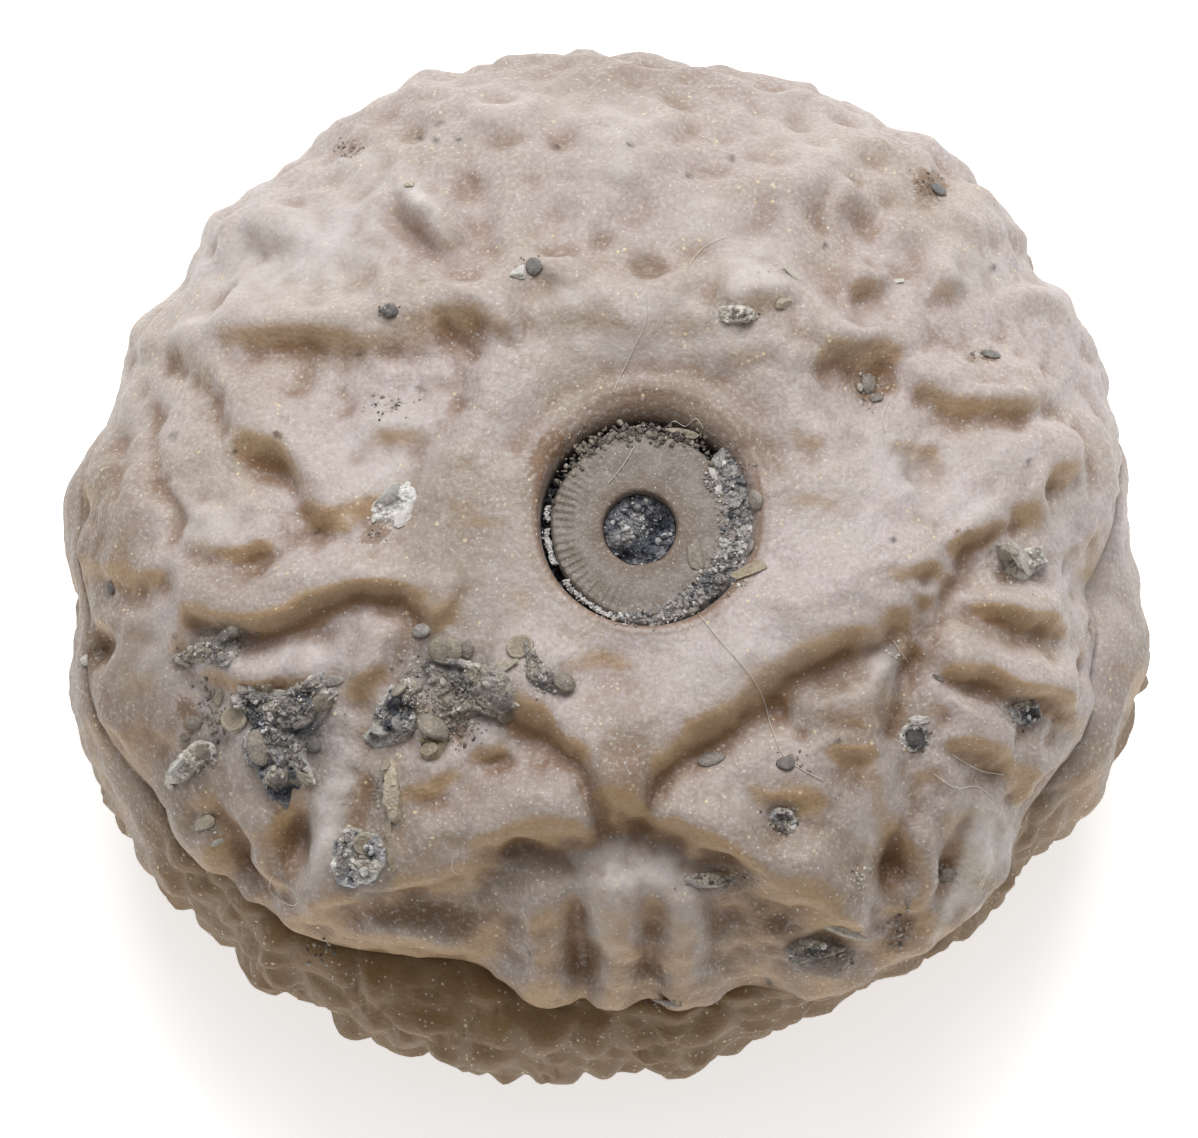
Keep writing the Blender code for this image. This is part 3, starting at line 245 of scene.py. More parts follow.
# Ridges (positive) and grooves (negative): path, height, half width.
RIDGES = (
    # dish above the pit
    (((-3.5, 1.2), (-3.1, 2.6), (-1.7, 3.75), (0.2, 4.15), (2, 3.8), (3.2, 2.7), (3.6, 1.3)), -0.3, 0.7),
    # front panel between the lobes
    (((-2.9, -8.9), (-2.85, -10.5), (-2.7, -13)), 0.25, 0.5),
    (((-0.6, -8.5), (-0.7, -10), (-0.9, -13.2)), 0.4, 0.65),
    (((0.95, -9.5), (1.1, -10.8), (1, -13.2)), 0.3, 0.5),
    (((-1.9, -9.6), (-1.85, -11.2), (-1.6, -13)), -0.4, 0.32),
    (((0.2, -9.6), (0.2, -11.2), (0.1, -13)), -0.2, 0.3),
    (((2, -10), (2.3, -11), (2.4, -12.2)), -0.2, 0.6),
    (((-3.6, -10), (-3.7, -11.2), (-3.4, -12.3)), -0.15, 0.4),
    (((-8.3, -10.9), (-7, -10.9), (-5.2, -11.2), (-4.3, -11.5)), 0.3, 0.45),
    (((3.6, -12.2), (4.6, -12.2), (5.8, -12)), 0.25, 0.4),
    # fingers of the front left
    (((-6.8, -2.2), (-7.2, -3.2), (-8, -4.6)), 0.35, 0.42),
    (((-7.9, -6.5), (-8.5, -8.2), (-9.3, -10.3)), 0.35, 0.45),
    (((-11.1, -7.2), (-10.3, -8.5), (-9.9, -10.2)), 0.35, 0.4),
    (((-12.9, -7.4), (-12.4, -8.7), (-11.5, -9.7), (-10.4, -10.2)), 0.25, 0.35),
    (((-11.2, -7.9), (-10.9, -9), (-10.4, -9.9)), -0.35, 0.4),
    (((-9.6, -7.6), (-9.5, -8.8), (-9.4, -9.8)), -0.3, 0.35),
    (((-7.3, -6.6), (-7.4, -7.8)), -0.25, 0.3),
    # front lobes
    (((-3.2, -6.3), (-4.2, -6.5), (-5.2, -6.6)), -0.2, 0.3),
    (((-5, -7.4), (-6.2, -7.7)), -0.12, 0.25),
    (((-1.9, -7.4), (-3, -7.4), (-4.6, -7.8), (-6.2, -8.6)), 0.2, 0.6),
    # right side
    (((5.2, 5.1), (6.1, 5.2), (6.9, 4.9), (7.4, 4.3), (8.5, 4.2), (10, 4.3), (11.2, 4.1)), 0.25, 0.4),
    (((7.1, -2.9), (7.2, -3.7), (7, -4.5), (6.85, -5.3), (7.2, -6.2)), -0.4, 0.3),
    (((8.2, -2.6), (9, -2), (10.6, -2.1), (11.6, -2.3)), 0.15, 0.35),
    (((8, -3), (9.4, -3.3), (10.8, -3.9), (12, -4.3)), 0.2, 0.4),
    (((7.6, -4.7), (9, -5.1), (10.1, -5.8)), 0.25, 0.4),
    (((7.3, -7.7), (7.6, -9), (7.6, -10.6)), 0.3, 0.45),
    (((8.9, -6.8), (9.3, -7.9), (9.2, -9.5)), 0.2, 0.35),
    (((8.4, -7.6), (8.2, -8.7), (8.1, -10.3)), -0.25, 0.3),
    (((6.2, -8.2), (6.8, -9.1), (6.6, -10.3)), -0.4, 0.5),
    (((12.3, -2.2), (12.2, -3.6), (12.2, -4.8)), -0.2, 0.2),
    # back
    (((-6.5, 9.7), (-5.9, 8.7), (-5, 7.4)), 0.4, 0.45),
    (((-7.1, 8.9), (-6.3, 7.9), (-5.5, 7.1)), -0.25, 0.4),
    (((-5.3, 9.8), (-4.7, 9.2), (-4.1, 9.4)), -0.2, 0.35),
    (((0.9, 11.2), (1.7, 10.4), (2.3, 10)), -0.15, 0.3),
    (((-0.4, 6.5), (0.1, 6.3), (0.6, 6.6), (1.4, 7.2), (2.2, 7.8)), 0.12, 0.15),
    (((-3.5, 5.9), (-4.1, 5.2), (-4.35, 3.8), (-4.85, 2.4), (-5.8, 1.4)), 0.12, 0.35),
    (((4.3, 5.4), (4.5, 4.4), (4.8, 3.4)), 0.1, 0.3),
    # plate seams at the left
    (((-13.2, 4), (-13.35, 2.1), (-13, 1), (-12.7, 0.35), (-12.8, -0.3), (-12.9, -1.2)), -0.2, 0.2),
    (((-14, 1.4), (-13.1, 0.75), (-12.6, 0.25)), -0.2, 0.22),
    (((-12.6, 0.45), (-11.8, 0.65), (-10.9, 0.95)), -0.1, 0.15),
    (((-14.2, 2.8), (-14.35, 1.7), (-14.8, 0.9)), -0.2, 0.25),
    (((-15.3, 1.2), (-15.3, 0.3), (-15.5, -0.4)), -0.2, 0.25),
)

# Bumps (positive) and pits (negative): oval, height.
BUMPS = (
    (-2.2, 7.15, 0.65, 0.45, 0, 0.4), (2.8, 6.95, 0.8, 0.8, 0, 0.3), (5.2, 5.1, 0.6, 0.6, 0, 0.25),
    (-9.9, 1.5, 0.8, 0.45, -30, -0.35), (6.1, 3.8, 0.7, 0.6, 0, -0.4), (4.2, -7.2, 1.6, 1.2, 0, 0.15),
    (4.3, -9.2, 1.4, 0.9, -35, 0.25), (1.1, -7.9, 0.9, 0.6, 0, 0.2), (-2.2, -7.6, 0.9, 0.6, 0, 0.2),
    (-5.4, -8.3, 1.2, 0.8, 0, 0.2), (3.7, -5.3, 0.7, 0.5, 0, -0.3), (-14.9, -3.3, 0.5, 0.35, 35, -0.35),
    (-14.1, 0.2, 1.1, 1, 0, 0.3), (-4.3, -5.7, 0.5, 0.5, 0, 0.25), (-3.9, -6.5, 0.5, 0.3, 0, -0.2),
    (3.6, -7.9, 0.6, 0.5, 0, -0.25), (4.1, -5.7, 0.6, 0.3, 10, -0.2), (-6.5, 2.6, 1, 0.4, 5, 0.15),
    (-8.6, -3.6, 1.6, 0.4, 0, 0.1), (9.5, 1.9, 1.6, 0.8, 10, 0.2), (8.2, -3.2, 0.6, 0.5, 0, 0.1),
    (-11.3, 2.4, 1.1, 1.3, 0, 0.1), (5, -3, 1, 0.6, 30, 0.08), (7, -0.9, 0.8, 0.6, 0, 0.1),
    (-10.8, 9, 0.8, 0.6, 40, 0.22), (3.9, 9.5, 1.2, 0.9, 30, 0.2), (-0.9, 9.6, 1, 0.8, 0, 0.2),
    (9, 8.2, 0.9, 0.7, -40, 0.2), (0.5, 10.7, 0.4, 0.9, 0, 0.18), (-3.6, 8.1, 0.8, 0.5, 0, 0.2),
    (8.1, 2.3, 0.7, 0.6, 0, 0.1), (7.6, 1.6, 0.6, 0.5, 0, -0.15), (10.7, 2.6, 1, 0.4, 15, 0.12),
    (-9.4, -1.4, 1.6, 0.4, 5, 0.08))

# Crumbs and crusts of matrix stuck to the cup: name, kind, thickness, outline.
CRUSTS = (
    ("matrix_left", "dark", 0.75, ((-11.2, -4.5), (-10.6, -4.4), (-9.7, -4.5), (-9.2, -4.1), (-8.6, -4.1),
      (-8.4, -4.7), (-8.8, -5.4), (-9.1, -6.2), (-9, -7), (-9.6, -7.4), (-10.2, -7.4), (-10.5, -6.8),
      (-10.9, -6.2), (-10.7, -5.4))),
    ("matrix_upper_left", "brown", 0.5, ((-12.7, -3.5), (-12.1, -3.3), (-11.6, -3), (-11.2, -2.7),
      (-10.8, -3), (-11, -3.5), (-11.4, -3.9), (-12, -3.7), (-12.5, -3.9))),
    ("matrix_pale_streak", "pale", 0.4, ((-13, -6.9), (-12.6, -6.2), (-12, -5.8), (-11.6, -6.1),
      (-12, -6.5), (-12.5, -7))),
    ("matrix_middle", "brown", 0.45, ((-6, -3.6), (-5.2, -3.5), (-4.3, -3.8), (-3.7, -3.9), (-3.5, -4.6),
      (-3.7, -5.2), (-4.5, -5.1), (-5.1, -5.3), (-5.5, -4.8), (-5.8, -4.2))),
    ("matrix_arm", "brown", 0.35, ((-3.3, -3.1), (-2.9, -3.6), (-2.6, -4), (-2.1, -4.1), (-2.1, -4.5),
      (-2.6, -4.5), (-3.1, -4.2), (-3.2, -3.8))),
    ("matrix_rough", "dark", 0.6, ((-6.9, -4.5), (-6.4, -4.2), (-6.15, -4.6), (-6.2, -5.2), (-6.3, -5.8),
      (-6.9, -6), (-7.5, -5.8), (-7.3, -5.1))),
    ("matrix_chip", "ochre", 0.4, ((-5.9, -5.45), (-5.5, -5.5), (-5.3, -5.9), (-5.6, -6.3), (-5.9, -6.3),
      (-6.05, -5.9))),
    ("matrix_strip", "beige", 0.35, ((-7, -6.4), (-6.7, -6.4), (-6.6, -7.2), (-6.6, -7.9), (-6.9, -8),
      (-6.95, -7.2))),
    ("matrix_round", "dark", 0.45, ((-8.1, -8.2), (-7.4, -8.3), (-7, -8.7), (-7, -9.2), (-7.4, -9.7),
      (-8, -9.8), (-8.5, -9.5), (-8.5, -8.8))),
    ("white_flake", "white", 0.35, ((-7.4, 0.1), (-7.3, 0.6), (-6.9, 0.95), (-6.4, 1.1), (-6.2, 0.8),
      (-6.3, 0.3), (-6.8, 0.05))),
    ("matrix_right", "pale", 0.45, ((9.5, -0.5), (9.9, -0.5), (10.2, -0.65), (10.7, -0.6), (10.9, -0.9),
      (10.6, -1.25), (10.2, -1.5), (9.8, -1.2))),
    ("matrix_right_low", "dark", 0.45, ((9.85, -5), (10.2, -4.8), (10.6, -4.75), (10.75, -5.1),
      (10.5, -5.45), (10.1, -5.4))),
    ("matrix_bead", "dark", 0.5, ((6.95, -5.5), (7.3, -5.3), (7.65, -5.5), (7.6, -5.95), (7.2, -6.15),
      (6.95, -5.95))),
    ("matrix_front_pocket", "dark", 0.4, ((3.3, -7.9), (3.6, -7.6), (4, -7.7), (4.1, -8.1), (3.8, -8.35),
      (3.4, -8.2))),
    ("matrix_front_crumb", "pale", 0.35, ((1, -9.6), (1.5, -9.4), (2.1, -9.4), (2.5, -9.6), (1.9, -9.8),
      (1.3, -9.8))),
    ("matrix_lip_pocket", "brown", 0.4, ((3.8, -11.5), (4.4, -11.2), (5.1, -11.35), (5.4, -11.5),
      (4.8, -11.75), (4.1, -11.9))),
    ("matrix_back", "pale", 0.35, ((2, 5.85), (2.5, 5.95), (2.95, 5.8), (2.9, 5.5), (2.4, 5.45),
      (2.05, 5.5))),
)

# Finer steps.
FINE_STEPS = (
    # tongue of the platform
    (((-1.9, -6.3), (-1.45, -6.75), (-1.15, -7.2), (-1, -7.75), (-0.9, -8.2)), 0.2, 0.25, 0.5),
    (((-0.15, -8.25), (-0.05, -7.7), (0.15, -7.2), (0.45, -6.75)), 0.2, 0.25, 0.5),
    # front lobes
    (((-4.3, -9), (-3.7, -8.65), (-3.2, -8.5), (-2.2, -8.4), (-1.6, -8.3), (-1.25, -8), (-1.2, -7.4),
      (-1.6, -6.9)), 0.25, 0.35, 0.6),
    (((0.75, -6.95), (0.3, -7.4), (0.25, -7.9), (0.6, -8.35), (1.3, -8.6), (2, -8.85), (2.6, -9.25),
      (3, -9.9), (3.7, -10.45), (4.3, -10.75)), 0.25, 0.35, 0.6),
    (((-8.6, -10.75), (-7.6, -10.25), (-6.4, -10), (-5.4, -9.75), (-4.7, -9.4), (-4.3, -9)), 0.25, 0.35,
      0.6),
    (((4.8, -10.9), (5.4, -11.1), (5.9, -11.35), (6.4, -11.55)), 0.3, 0.3, 0.5),
    # apex and right side of the right lobe
    (((7, -6), (6.75, -5.3), (6.9, -4.6), (7.08, -4), (7, -3.5), (6.6, -3.1)), -0.25, 0.25, 0.5),
    (((4, -6.1), (4.9, -6.08), (6, -6.25), (6.9, -6.05)), 0.12, 0.2, 0.7),
    # left arm
    (((-12.7, -2.45), (-11.6, -2.55), (-10.6, -2.85), (-9.8, -2.8), (-9.2, -2.55), (-8.4, -2.15),
      (-7.3, -1.85), (-6.6, -1.95), (-6, -2.4)), 0.3, 0.4, 0.7),
    (((-12.1, -0.65), (-11.5, -0.85), (-10.95, -1), (-10.4, -0.75), (-9.7, -0.6)), 0.18, 0.3, 0.5),
    (((-12.45, -2.3), (-12.5, -1.2), (-12.75, -0.4), (-12.9, 0)), 0.2, 0.25, 0.6),
    (((-13.1, -2.85), (-12.7, -3.15), (-12.2, -3.3)), 0.2, 0.25, 0.5),
    (((-11.9, -4.15), (-11.3, -4.3), (-10.5, -4.4), (-9.7, -4.35)), 0.2, 0.3, 0.5),
    # upper left
    (((-13, 4.8), (-12.5, 4.45), (-11.95, 4), (-11.55, 3.5), (-11.3, 2.9), (-11.05, 2.4), (-10.4, 2.1),
      (-9.75, 1.6), (-9.45, 1), (-9.1, 0.4), (-8.5, -0.2)), 0.25, 0.35, 0.7),
    (((-11.8, 5.3), (-11, 5.05), (-10.2, 4.95), (-9.2, 5.1), (-8.4, 5.3)), 0.15, 0.35, 0.6),
    (((-10, 1), (-10.8, 0.85), (-11.6, 0.68), (-12.5, 0.4)), 0.18, 0.2, 0.6),
    (((-12.75, 0.25), (-13.1, 0.75), (-13.5, 1.1), (-13.9, 1.3), (-14.4, 1.4)), 0.22, 0.22, 0.8),
    (((-12.7, 0.35), (-13, 1), (-13.35, 1.7), (-13.45, 2.4), (-13.35, 3.1), (-13.1, 3.9)), -0.15, 0.22,
      0.8),
    # right ribs
    (((7.9, -3.55), (8.7, -4), (9.5, -4.25), (10.3, -4.5), (11.2, -4.75), (12, -5)), 0.35, 0.45, 0.5),
    (((8, -5.85), (8.9, -6.05), (9.7, -6.1), (10.2, -5.95), (10.25, -5.6), (9.9, -5.2)), 0.3, 0.35, 0.5),
    (((8.9, -2.25), (9.9, -2.4), (10.9, -2.65), (11.9, -2.8)), 0.2, 0.4, 0.4),
    (((10.2, -7.85), (10.65, -7.35), (11.1, -6.85), (11.55, -6.3), (11.35, -5.7)), 0.45, 0.25, 0.9),
    (((8.2, -1.5), (8.4, -0.9), (8.8, -0.45), (9.4, -0.05), (10.1, 0.1)), 0.25, 0.35, 0.6),
    (((7, -1.1), (7.5, -1.25), (8, -1.15)), 0.3, 0.35, 0.5),
    (((10.9, 0.5), (11.05, 1.1), (11.6, 1.45), (12, 2), (12.2, 2.6)), 0.25, 0.3, 0.6),
    (((7, 4), (7.6, 3.7), (8.1, 3.3), (8.6, 3.05), (9.4, 3.2), (10.1, 3.1), (10.8, 3.25), (11.5, 3.7)),
      0.25, 0.4, 0.6),
    (((9.9, -9.35), (9.65, -8.5), (9.4, -7.6)), -0.3, 0.25, 0.7),
    (((8.3, -10.6), (8.7, -9.6), (8.95, -8.6), (8.85, -7.6)), -0.3, 0.3, 0.6),
    # lower left
    (((-9.3, -9.9), (-9.05, -9), (-9, -8.2), (-9.1, -7.6)), -0.3, 0.25, 0.8),
    (((-9.5, -10.1), (-9.95, -9.6), (-10.35, -8.9), (-11, -8.1), (-11.5, -7.1)), -0.3, 0.3, 0.8),
    (((-12.3, -10), (-11.6, -10.5), (-10.9, -10.6), (-10.2, -10.45)), 0.3, 0.3, 0.7),
    # back
    (((-7, 9.4), (-6.5, 8.7), (-5.9, 7.9), (-5.3, 7.4), (-4.8, 7.3)), 0.35, 0.5, 0.7),
    (((-10.6, 7.25), (-9.9, 7.6), (-8.9, 7.85)), 0.15, 0.3, 0.8),
    (((-7.5, 6.3), (-6.7, 6.3), (-5.9, 6.6)), 0.15, 0.4, 0.6),
    (((5.3, 6.3), (6, 6.45), (6.7, 6.7)), 0.25, 0.45, 0.6),
    (((6.6, 7.2), (7, 7.8), (7.5, 8.6)), 0.3, 0.5, 0.6),
    (((7.5, 6.3), (8.2, 6.4), (8.9, 6.9)), 0.2, 0.45, 0.6),
    (((5.1, 8.6), (5.8, 8.7), (6.4, 9.1)), 0.2, 0.4, 0.6),
    (((-4.1, 5.2), (-3.4, 5.5), (-2.5, 5.4), (-1.6, 5)), 0.15, 0.5, 0.5),
)

# Finer ridges and grooves.
FINE_RIDGES = (
    # back
    (((-6.9, 9.5), (-5.9, 8.7), (-4.9, 7.5)), 0.3, 0.35),
    (((-7.3, 8.5), (-6.4, 7.9), (-5.6, 7.2)), -0.15, 0.4),
    # front panel
    (((-4.2, -10.9), (-3, -10.6), (-1, -10.4), (0.6, -10.5), (2.2, -10.9)), 0.6, 1.1),
    (((-0.9, -8.9), (-1.05, -9.8), (-1.3, -10.8), (-1.1, -12)), 0.2, 0.4),
    (((-1.9, -9.6), (-1.85, -11.2), (-1.6, -13)), -0.12, 0.3),
    (((0.2, -9.6), (0.2, -11.2), (0.1, -13)), -0.12, 0.26),
    (((1.85, -9.9), (1.9, -11.2), (1.8, -12.6)), -0.12, 0.26),
    # right lobe
    (((3.25, -4.5), (3.55, -5), (3.85, -5.5)), -0.2, 0.22),
    (((4, -5.2), (4.6, -5.15), (5.2, -5)), -0.08, 0.15),
    (((4, -5.9), (4.5, -5.75)), -0.15, 0.2),
    (((7.25, -2.8), (7.3, -3.8), (7.2, -4.9)), -0.2, 0.2),
    (((2.8, -6.9), (3, -7.5), (3.1, -8)), -0.15, 0.25),
    (((5.6, -6.6), (5.7, -7.4), (5.6, -8.3)), -0.1, 0.2),
    (((6, -8.3), (6.5, -8.9), (6.8, -9.7), (6.7, -10.3)), -0.35, 0.4),
    (((7.35, -8.2), (7.65, -9), (7.6, -10.2)), 0.25, 0.25),
    # right ribs
    (((7.5, -4.45), (8.5, -4.7), (9.4, -5.15), (10, -5.6)), 0.15, 0.3),
    (((8.2, -6.05), (8.8, -6.45), (9.7, -6.75)), 0.05, 0.06),
    (((7.8, -6.6), (8.2, -6.98), (9, -7.1), (9.5, -7.5)), 0.05, 0.06),
    (((12.35, -2.8), (12.3, -3.6), (12.1, -4.2), (12.2, -4.9)), -0.25, 0.1),
    # left
    (((-14.3, 2.8), (-14.45, 1.9), (-14.35, 1.5)), -0.2, 0.15),
    (((-6.9, -2.3), (-7.2, -3.3), (-7.9, -4.5)), 0.12, 0.2),
    (((-12.1, -9.2), (-11.3, -9.7), (-10.5, -10.2)), 0.15, 0.15),
    (((-9.5, -7.9), (-9.45, -8.8), (-9.65, -9.7)), -0.2, 0.25),
    (((-11.5, -8.4), (-11, -9.2), (-10.3, -9.9)), -0.2, 0.3),
    # lines on the platform and at the back
    (((-0.4, 6.6), (0, 6.4), (0.5, 6.7), (0.8, 7.2)), 0.06, 0.06),
    (((1.2, 7), (1.8, 7.6), (2.25, 7.8)), 0.08, 0.07),
    (((-1.7, 7.7), (-1.35, 7.4), (-1.1, 7.2)), 0.05, 0.06),
    (((6.6, 1.7), (7.2, 1.05), (7.7, 0.7)), 0.05, 0.08),
    (((-5.5, -0.5), (-5.6, -1.1), (-5.9, -1.4)), 0.05, 0.08),
)

# Finer bumps and pits.
FINE_BUMPS = (
    # back
    (-2.2, 7, 0.55, 0.5, 0, 0.3), (0.1, 7, 0.5, 0.35, 0, -0.35), (-1.1, 7.75, 0.35, 0.25, 20, -0.25),
    (2.4, 7.1, 1.1, 0.8, 15, 0.25), (1.4, 6, 0.5, 0.25, 0, -0.2), (-0.3, 9.8, 0.9, 1.5, 10, 0.2),
    (-3.4, 9.2, 1.2, 0.7, -20, 0.18), (4.9, 9.2, 0.8, 1.3, -25, 0.2), (3.1, 10.2, 0.7, 0.5, 0, -0.15),
    (-0.95, -9.3, 0.7, 0.5, 0, 0.15), (0.1, 6.95, 0.46, 0.25, 5, -0.18), (-1.1, 7.7, 0.4, 0.29, 20, -0.15),
    (-2.1, 6.7, 0.63, 0.25, 0, -0.12), (1.7, 7.6, 0.34, 0.23, 30, -0.12),
    (-7.8, 7.95, 0.34, 0.23, 0, -0.15), (-7.4, 7.6, 0.23, 0.21, 0, -0.12),
    (-8.5, 7.95, 0.23, 0.23, 0, -0.12), (-7.2, 8.35, 0.29, 0.21, 30, -0.11),
    (-9.1, 8.25, 0.34, 0.34, 0, -0.09), (-8.7, 9.5, 0.46, 0.34, 0, -0.12),
    (-11.6, 7.65, 0.46, 0.34, 20, -0.15), (0.75, 12, 0.34, 0.34, 0, -0.12),
    (-0.6, 12.1, 0.46, 0.34, 0, -0.09), (-2.35, 8.8, 0.46, 0.4, 0, -0.12),
    (-6.9, 11.2, 0.57, 0.34, 0, -0.09), (7.5, -1.4, 0.5, 0.35, 0, -0.3),
    (-10.2, 1.45, 0.6, 0.25, -20, -0.3), (6.1, 3.75, 0.55, 0.5, 0, -0.25),
    (7.5, 1.35, 0.5, 0.5, -30, -0.25), (5.3, 5.15, 0.35, 0.3, 0, 0.2), (6.5, 2.4, 0.45, 0.6, 0, 0.12),
    (-14, -0.5, 0.7, 0.5, 0, 0.12), (-14.7, -1.3, 0.5, 0.25, 0, -0.12), (4.8, -7.2, 0.9, 0.5, -20, 0.12),
    (5.9, -4.3, 0.8, 0.7, 40, 0.12), (3.6, -7.9, 0.4, 0.35, 0, -0.2), (-4.35, -5.7, 0.3, 0.35, 0, 0.2),
    (-3.6, -5.6, 0.5, 0.4, 30, 0.12), (-6, -7.55, 0.6, 0.25, 0, -0.15), (-7.6, -7.7, 0.5, 0.4, 0, -0.2),
    (2.2, -9.2, 0.3, 0.2, 0, -0.25), (7.05, -10.8, 0.35, 0.5, 0, -0.25), (4.6, -11.5, 0.9, 0.25, 0, -0.2),
    (-14.8, -3.3, 0.3, 0.15, 35, -0.3), (10.2, -5.15, 0.45, 0.35, 0, -0.15),
    (7.3, -5.8, 0.35, 0.35, 0, -0.2), (-1.8, -10.9, 0.15, 0.2, 0, -0.1), (8.6, -8, 0.3, 0.5, 10, -0.2),
    (10.3, -8.8, 0.4, 0.3, 0, -0.15), (9.4, 4.6, 0.3, 0.2, 0, -0.15), (-6.5, -1.2, 0.2, 0.2, 0, -0.08),
    (-5.8, 11, 0.5, 0.4, 0, 0.1), (-4, 9.9, 0.6, 0.4, 10, 0.15), (2.2, 8.7, 0.7, 0.5, 40, 0.15),
    (-2, 7.3, 0.5, 0.3, 0, 0.15), (2.9, 7, 0.5, 0.6, 0, 0.12), (4.4, 7.4, 0.7, 0.6, 0, 0.12),
    (8.4, 7.6, 0.6, 0.5, 0, 0.15), (-12.6, 5.9, 0.5, 0.35, 20, 0.15))

# Whitish bloom on the surface, with painted highlights on ridges and flats that face the lamp: oval,
# strength.
BLOOMS_AND_HIGHLIGHTS = (
    (-7.2, 1.8, 1.5, 1, -20, 0.55), (-6.6, 3, 1, 0.5, 5, 0.5), (-9.6, 7.4, 2.6, 1.3, 20, 1),
    (-12.3, 5.6, 1, 0.5, 20, 0.6), (-9, 6.2, 2, 0.5, 5, 0.4), (2.9, 7, 0.9, 0.9, 0, 0.9),
    (-0.9, 9.9, 0.7, 0.9, 0, 0.5), (-0.4, 11.2, 1, 0.8, 0, 0.5), (1.6, 8.4, 0.8, 0.9, 30, 0.5),
    (-2, 6.3, 1.4, 0.5, 0, 0.4), (-3, 11.6, 1.6, 0.7, 10, 0.5), (4.4, 10.6, 1.5, 0.8, -20, 0.4),
    (7, 1.4, 1.3, 0.8, -35, 0.8), (8.6, 0.6, 1, 0.6, -20, 0.7), (9, 1.9, 1.6, 0.5, 10, 0.4),
    (6.4, -3.9, 0.6, 0.9, 0, 0.9), (5.6, -4.4, 0.9, 0.6, 30, 0.5), (9.4, -8.5, 1.1, 0.8, -50, 1),
    (8.8, -10.3, 0.8, 0.6, -50, 0.8), (-11.8, 0.1, 1, 0.7, 0, 0.5), (-9, -3.5, 1.6, 0.4, 0, 0.5),
    (-0.5, -9.3, 2, 0.7, 0, 1), (-0.9, -10.8, 0.5, 1.6, 0, 0.5), (1, -10.8, 0.5, 1.5, 0, 0.5),
    (-4.6, -1.4, 1.4, 1.6, 0, 0.3), (2.6, -3.7, 2.2, 0.9, 20, 0.35), (5.4, 0.4, 1.2, 1.4, 30, 0.3),
    (-10.7, -11, 0.6, 0.4, 0, 0.6), (10.6, 3.4, 1, 0.3, 0, 0.3), (9, 7, 1.2, 0.8, -30, 0.4),
    (-4.3, -5.7, 0.5, 0.5, 0, 0.5), (-6, 8.8, 1.1, 0.25, -50, 1), (3, -7.6, 1, 0.4, -30, 0.4),
    (-13.6, -3.6, 1, 1.4, 0, 0.4), (5.8, 5.7, 1.2, 0.4, 10, 0.4), (-7.6, 9.6, 1.2, 0.8, 30, 0.5),
    (11.6, -0.4, 0.5, 1.4, 0, 0.3), (-8.6, -7.8, 0.45, 2, -15, 1), (6, -8.4, 0.4, 1, 0, 0.5),
    (-14.2, 3, 0.6, 1.2, 20, 0.4), (0.6, 6, 1, 0.4, 0, 0.35), (-1.2, 4.9, 1.6, 0.35, 0, 0.4),
    (2.4, 4.9, 1.6, 0.35, 0, 0.35))

# Dark stains in hollows and at the crumbs, partly painted shade in hollows and at the pit's rim: oval,
# strength.
STAINS_AND_SHADE = (
    (-7.3, -0.25, 0.55, 0.3, 20, 0.9), (-14.9, -3.4, 0.5, 0.22, 35, 1), (1.1, 7.1, 0.5, 0.2, 0, 0.3),
    (-6.9, 5.8, 0.3, 0.25, 0, 0.9), (-3, 7, 0.3, 0.3, 0, 0.7), (7.8, 9.35, 0.6, 0.45, -30, 0.9),
    (6.1, 3.7, 0.6, 0.6, 0, 0.6), (0.1, 7.1, 0.5, 0.3, 0, 0.4), (-8.1, 10.3, 0.5, 0.4, 0, 0.6),
    (3.7, -7.9, 0.6, 0.5, 0, 0.6), (6.9, -11, 0.45, 0.7, -20, 0.8), (4.6, -11.6, 1.2, 0.4, 0, 0.6),
    (2.2, -9.5, 0.7, 0.35, 0, 0.7), (7.1, -3, 0.35, 0.5, 20, 0.6), (-9, -6.9, 0.9, 0.5, 0, 0.4),
    (-5, -5.6, 0.5, 0.5, 0, 0.6), (-12.4, -5.2, 0.3, 0.8, 15, 0.8), (6.4, -9.2, 0.4, 0.6, 0, 0.5),
    (-6.8, 3.2, 1, 0.35, 5, 0.35), (10.2, -5.1, 0.6, 0.5, 0, 0.5), (7.3, -5.9, 0.5, 0.5, 0, 0.6),
    (-14.4, -1.7, 0.3, 0.25, 0, 0.6), (-8.8, -11.4, 0.8, 0.4, 0, 0.4), (-7.4, -9.1, 0.9, 0.9, 0, 0.3),
    (-2.65, 2.05, 0.4, 1, -40, 0.8), (0.5, -13, 0.5, 0.25, 0, 0.6), (2.5, 5.8, 0.6, 0.3, 0, 0.6),
    (9.4, 4.6, 0.35, 0.25, 0, 0.7), (-9.95, 2.45, 0.18, 0.15, 0, 0.8), (8.6, -0.2, 0.35, 0.2, 0, 0.5),
    (5.8, -10.1, 0.8, 0.3, -70, 0.4), (-11.4, -3.2, 0.9, 0.5, 10, 0.4), (-12.2, -6.6, 0.9, 0.5, 30, 0.4),
    (-12, -8.1, 0.4, 0.3, 0, 0.4), (4, 9.4, 0.3, 0.2, 0, 0.2))

# Tiny dark dots: u, v.
DOTS = (
    (-0.4, 10.35), (1.2, 9.5), (2.35, 10), (-5.6, 11), (-5.1, 10.5), (-5.7, 10.5), (-6.1, 10.6),
    (-2.4, 10.3), (9.5, 7.05), (-9.95, 2.45), (-7.7, 4.65), (-6.1, 3.7), (6.7, -0.4), (-11.1, 2),
    (3.4, -12.4), (-3.1, -11.6), (5.2, -5.8), (-8.9, -0.2), (10.4, 1.7), (-12.8, 2.4), (4.9, 7.6))
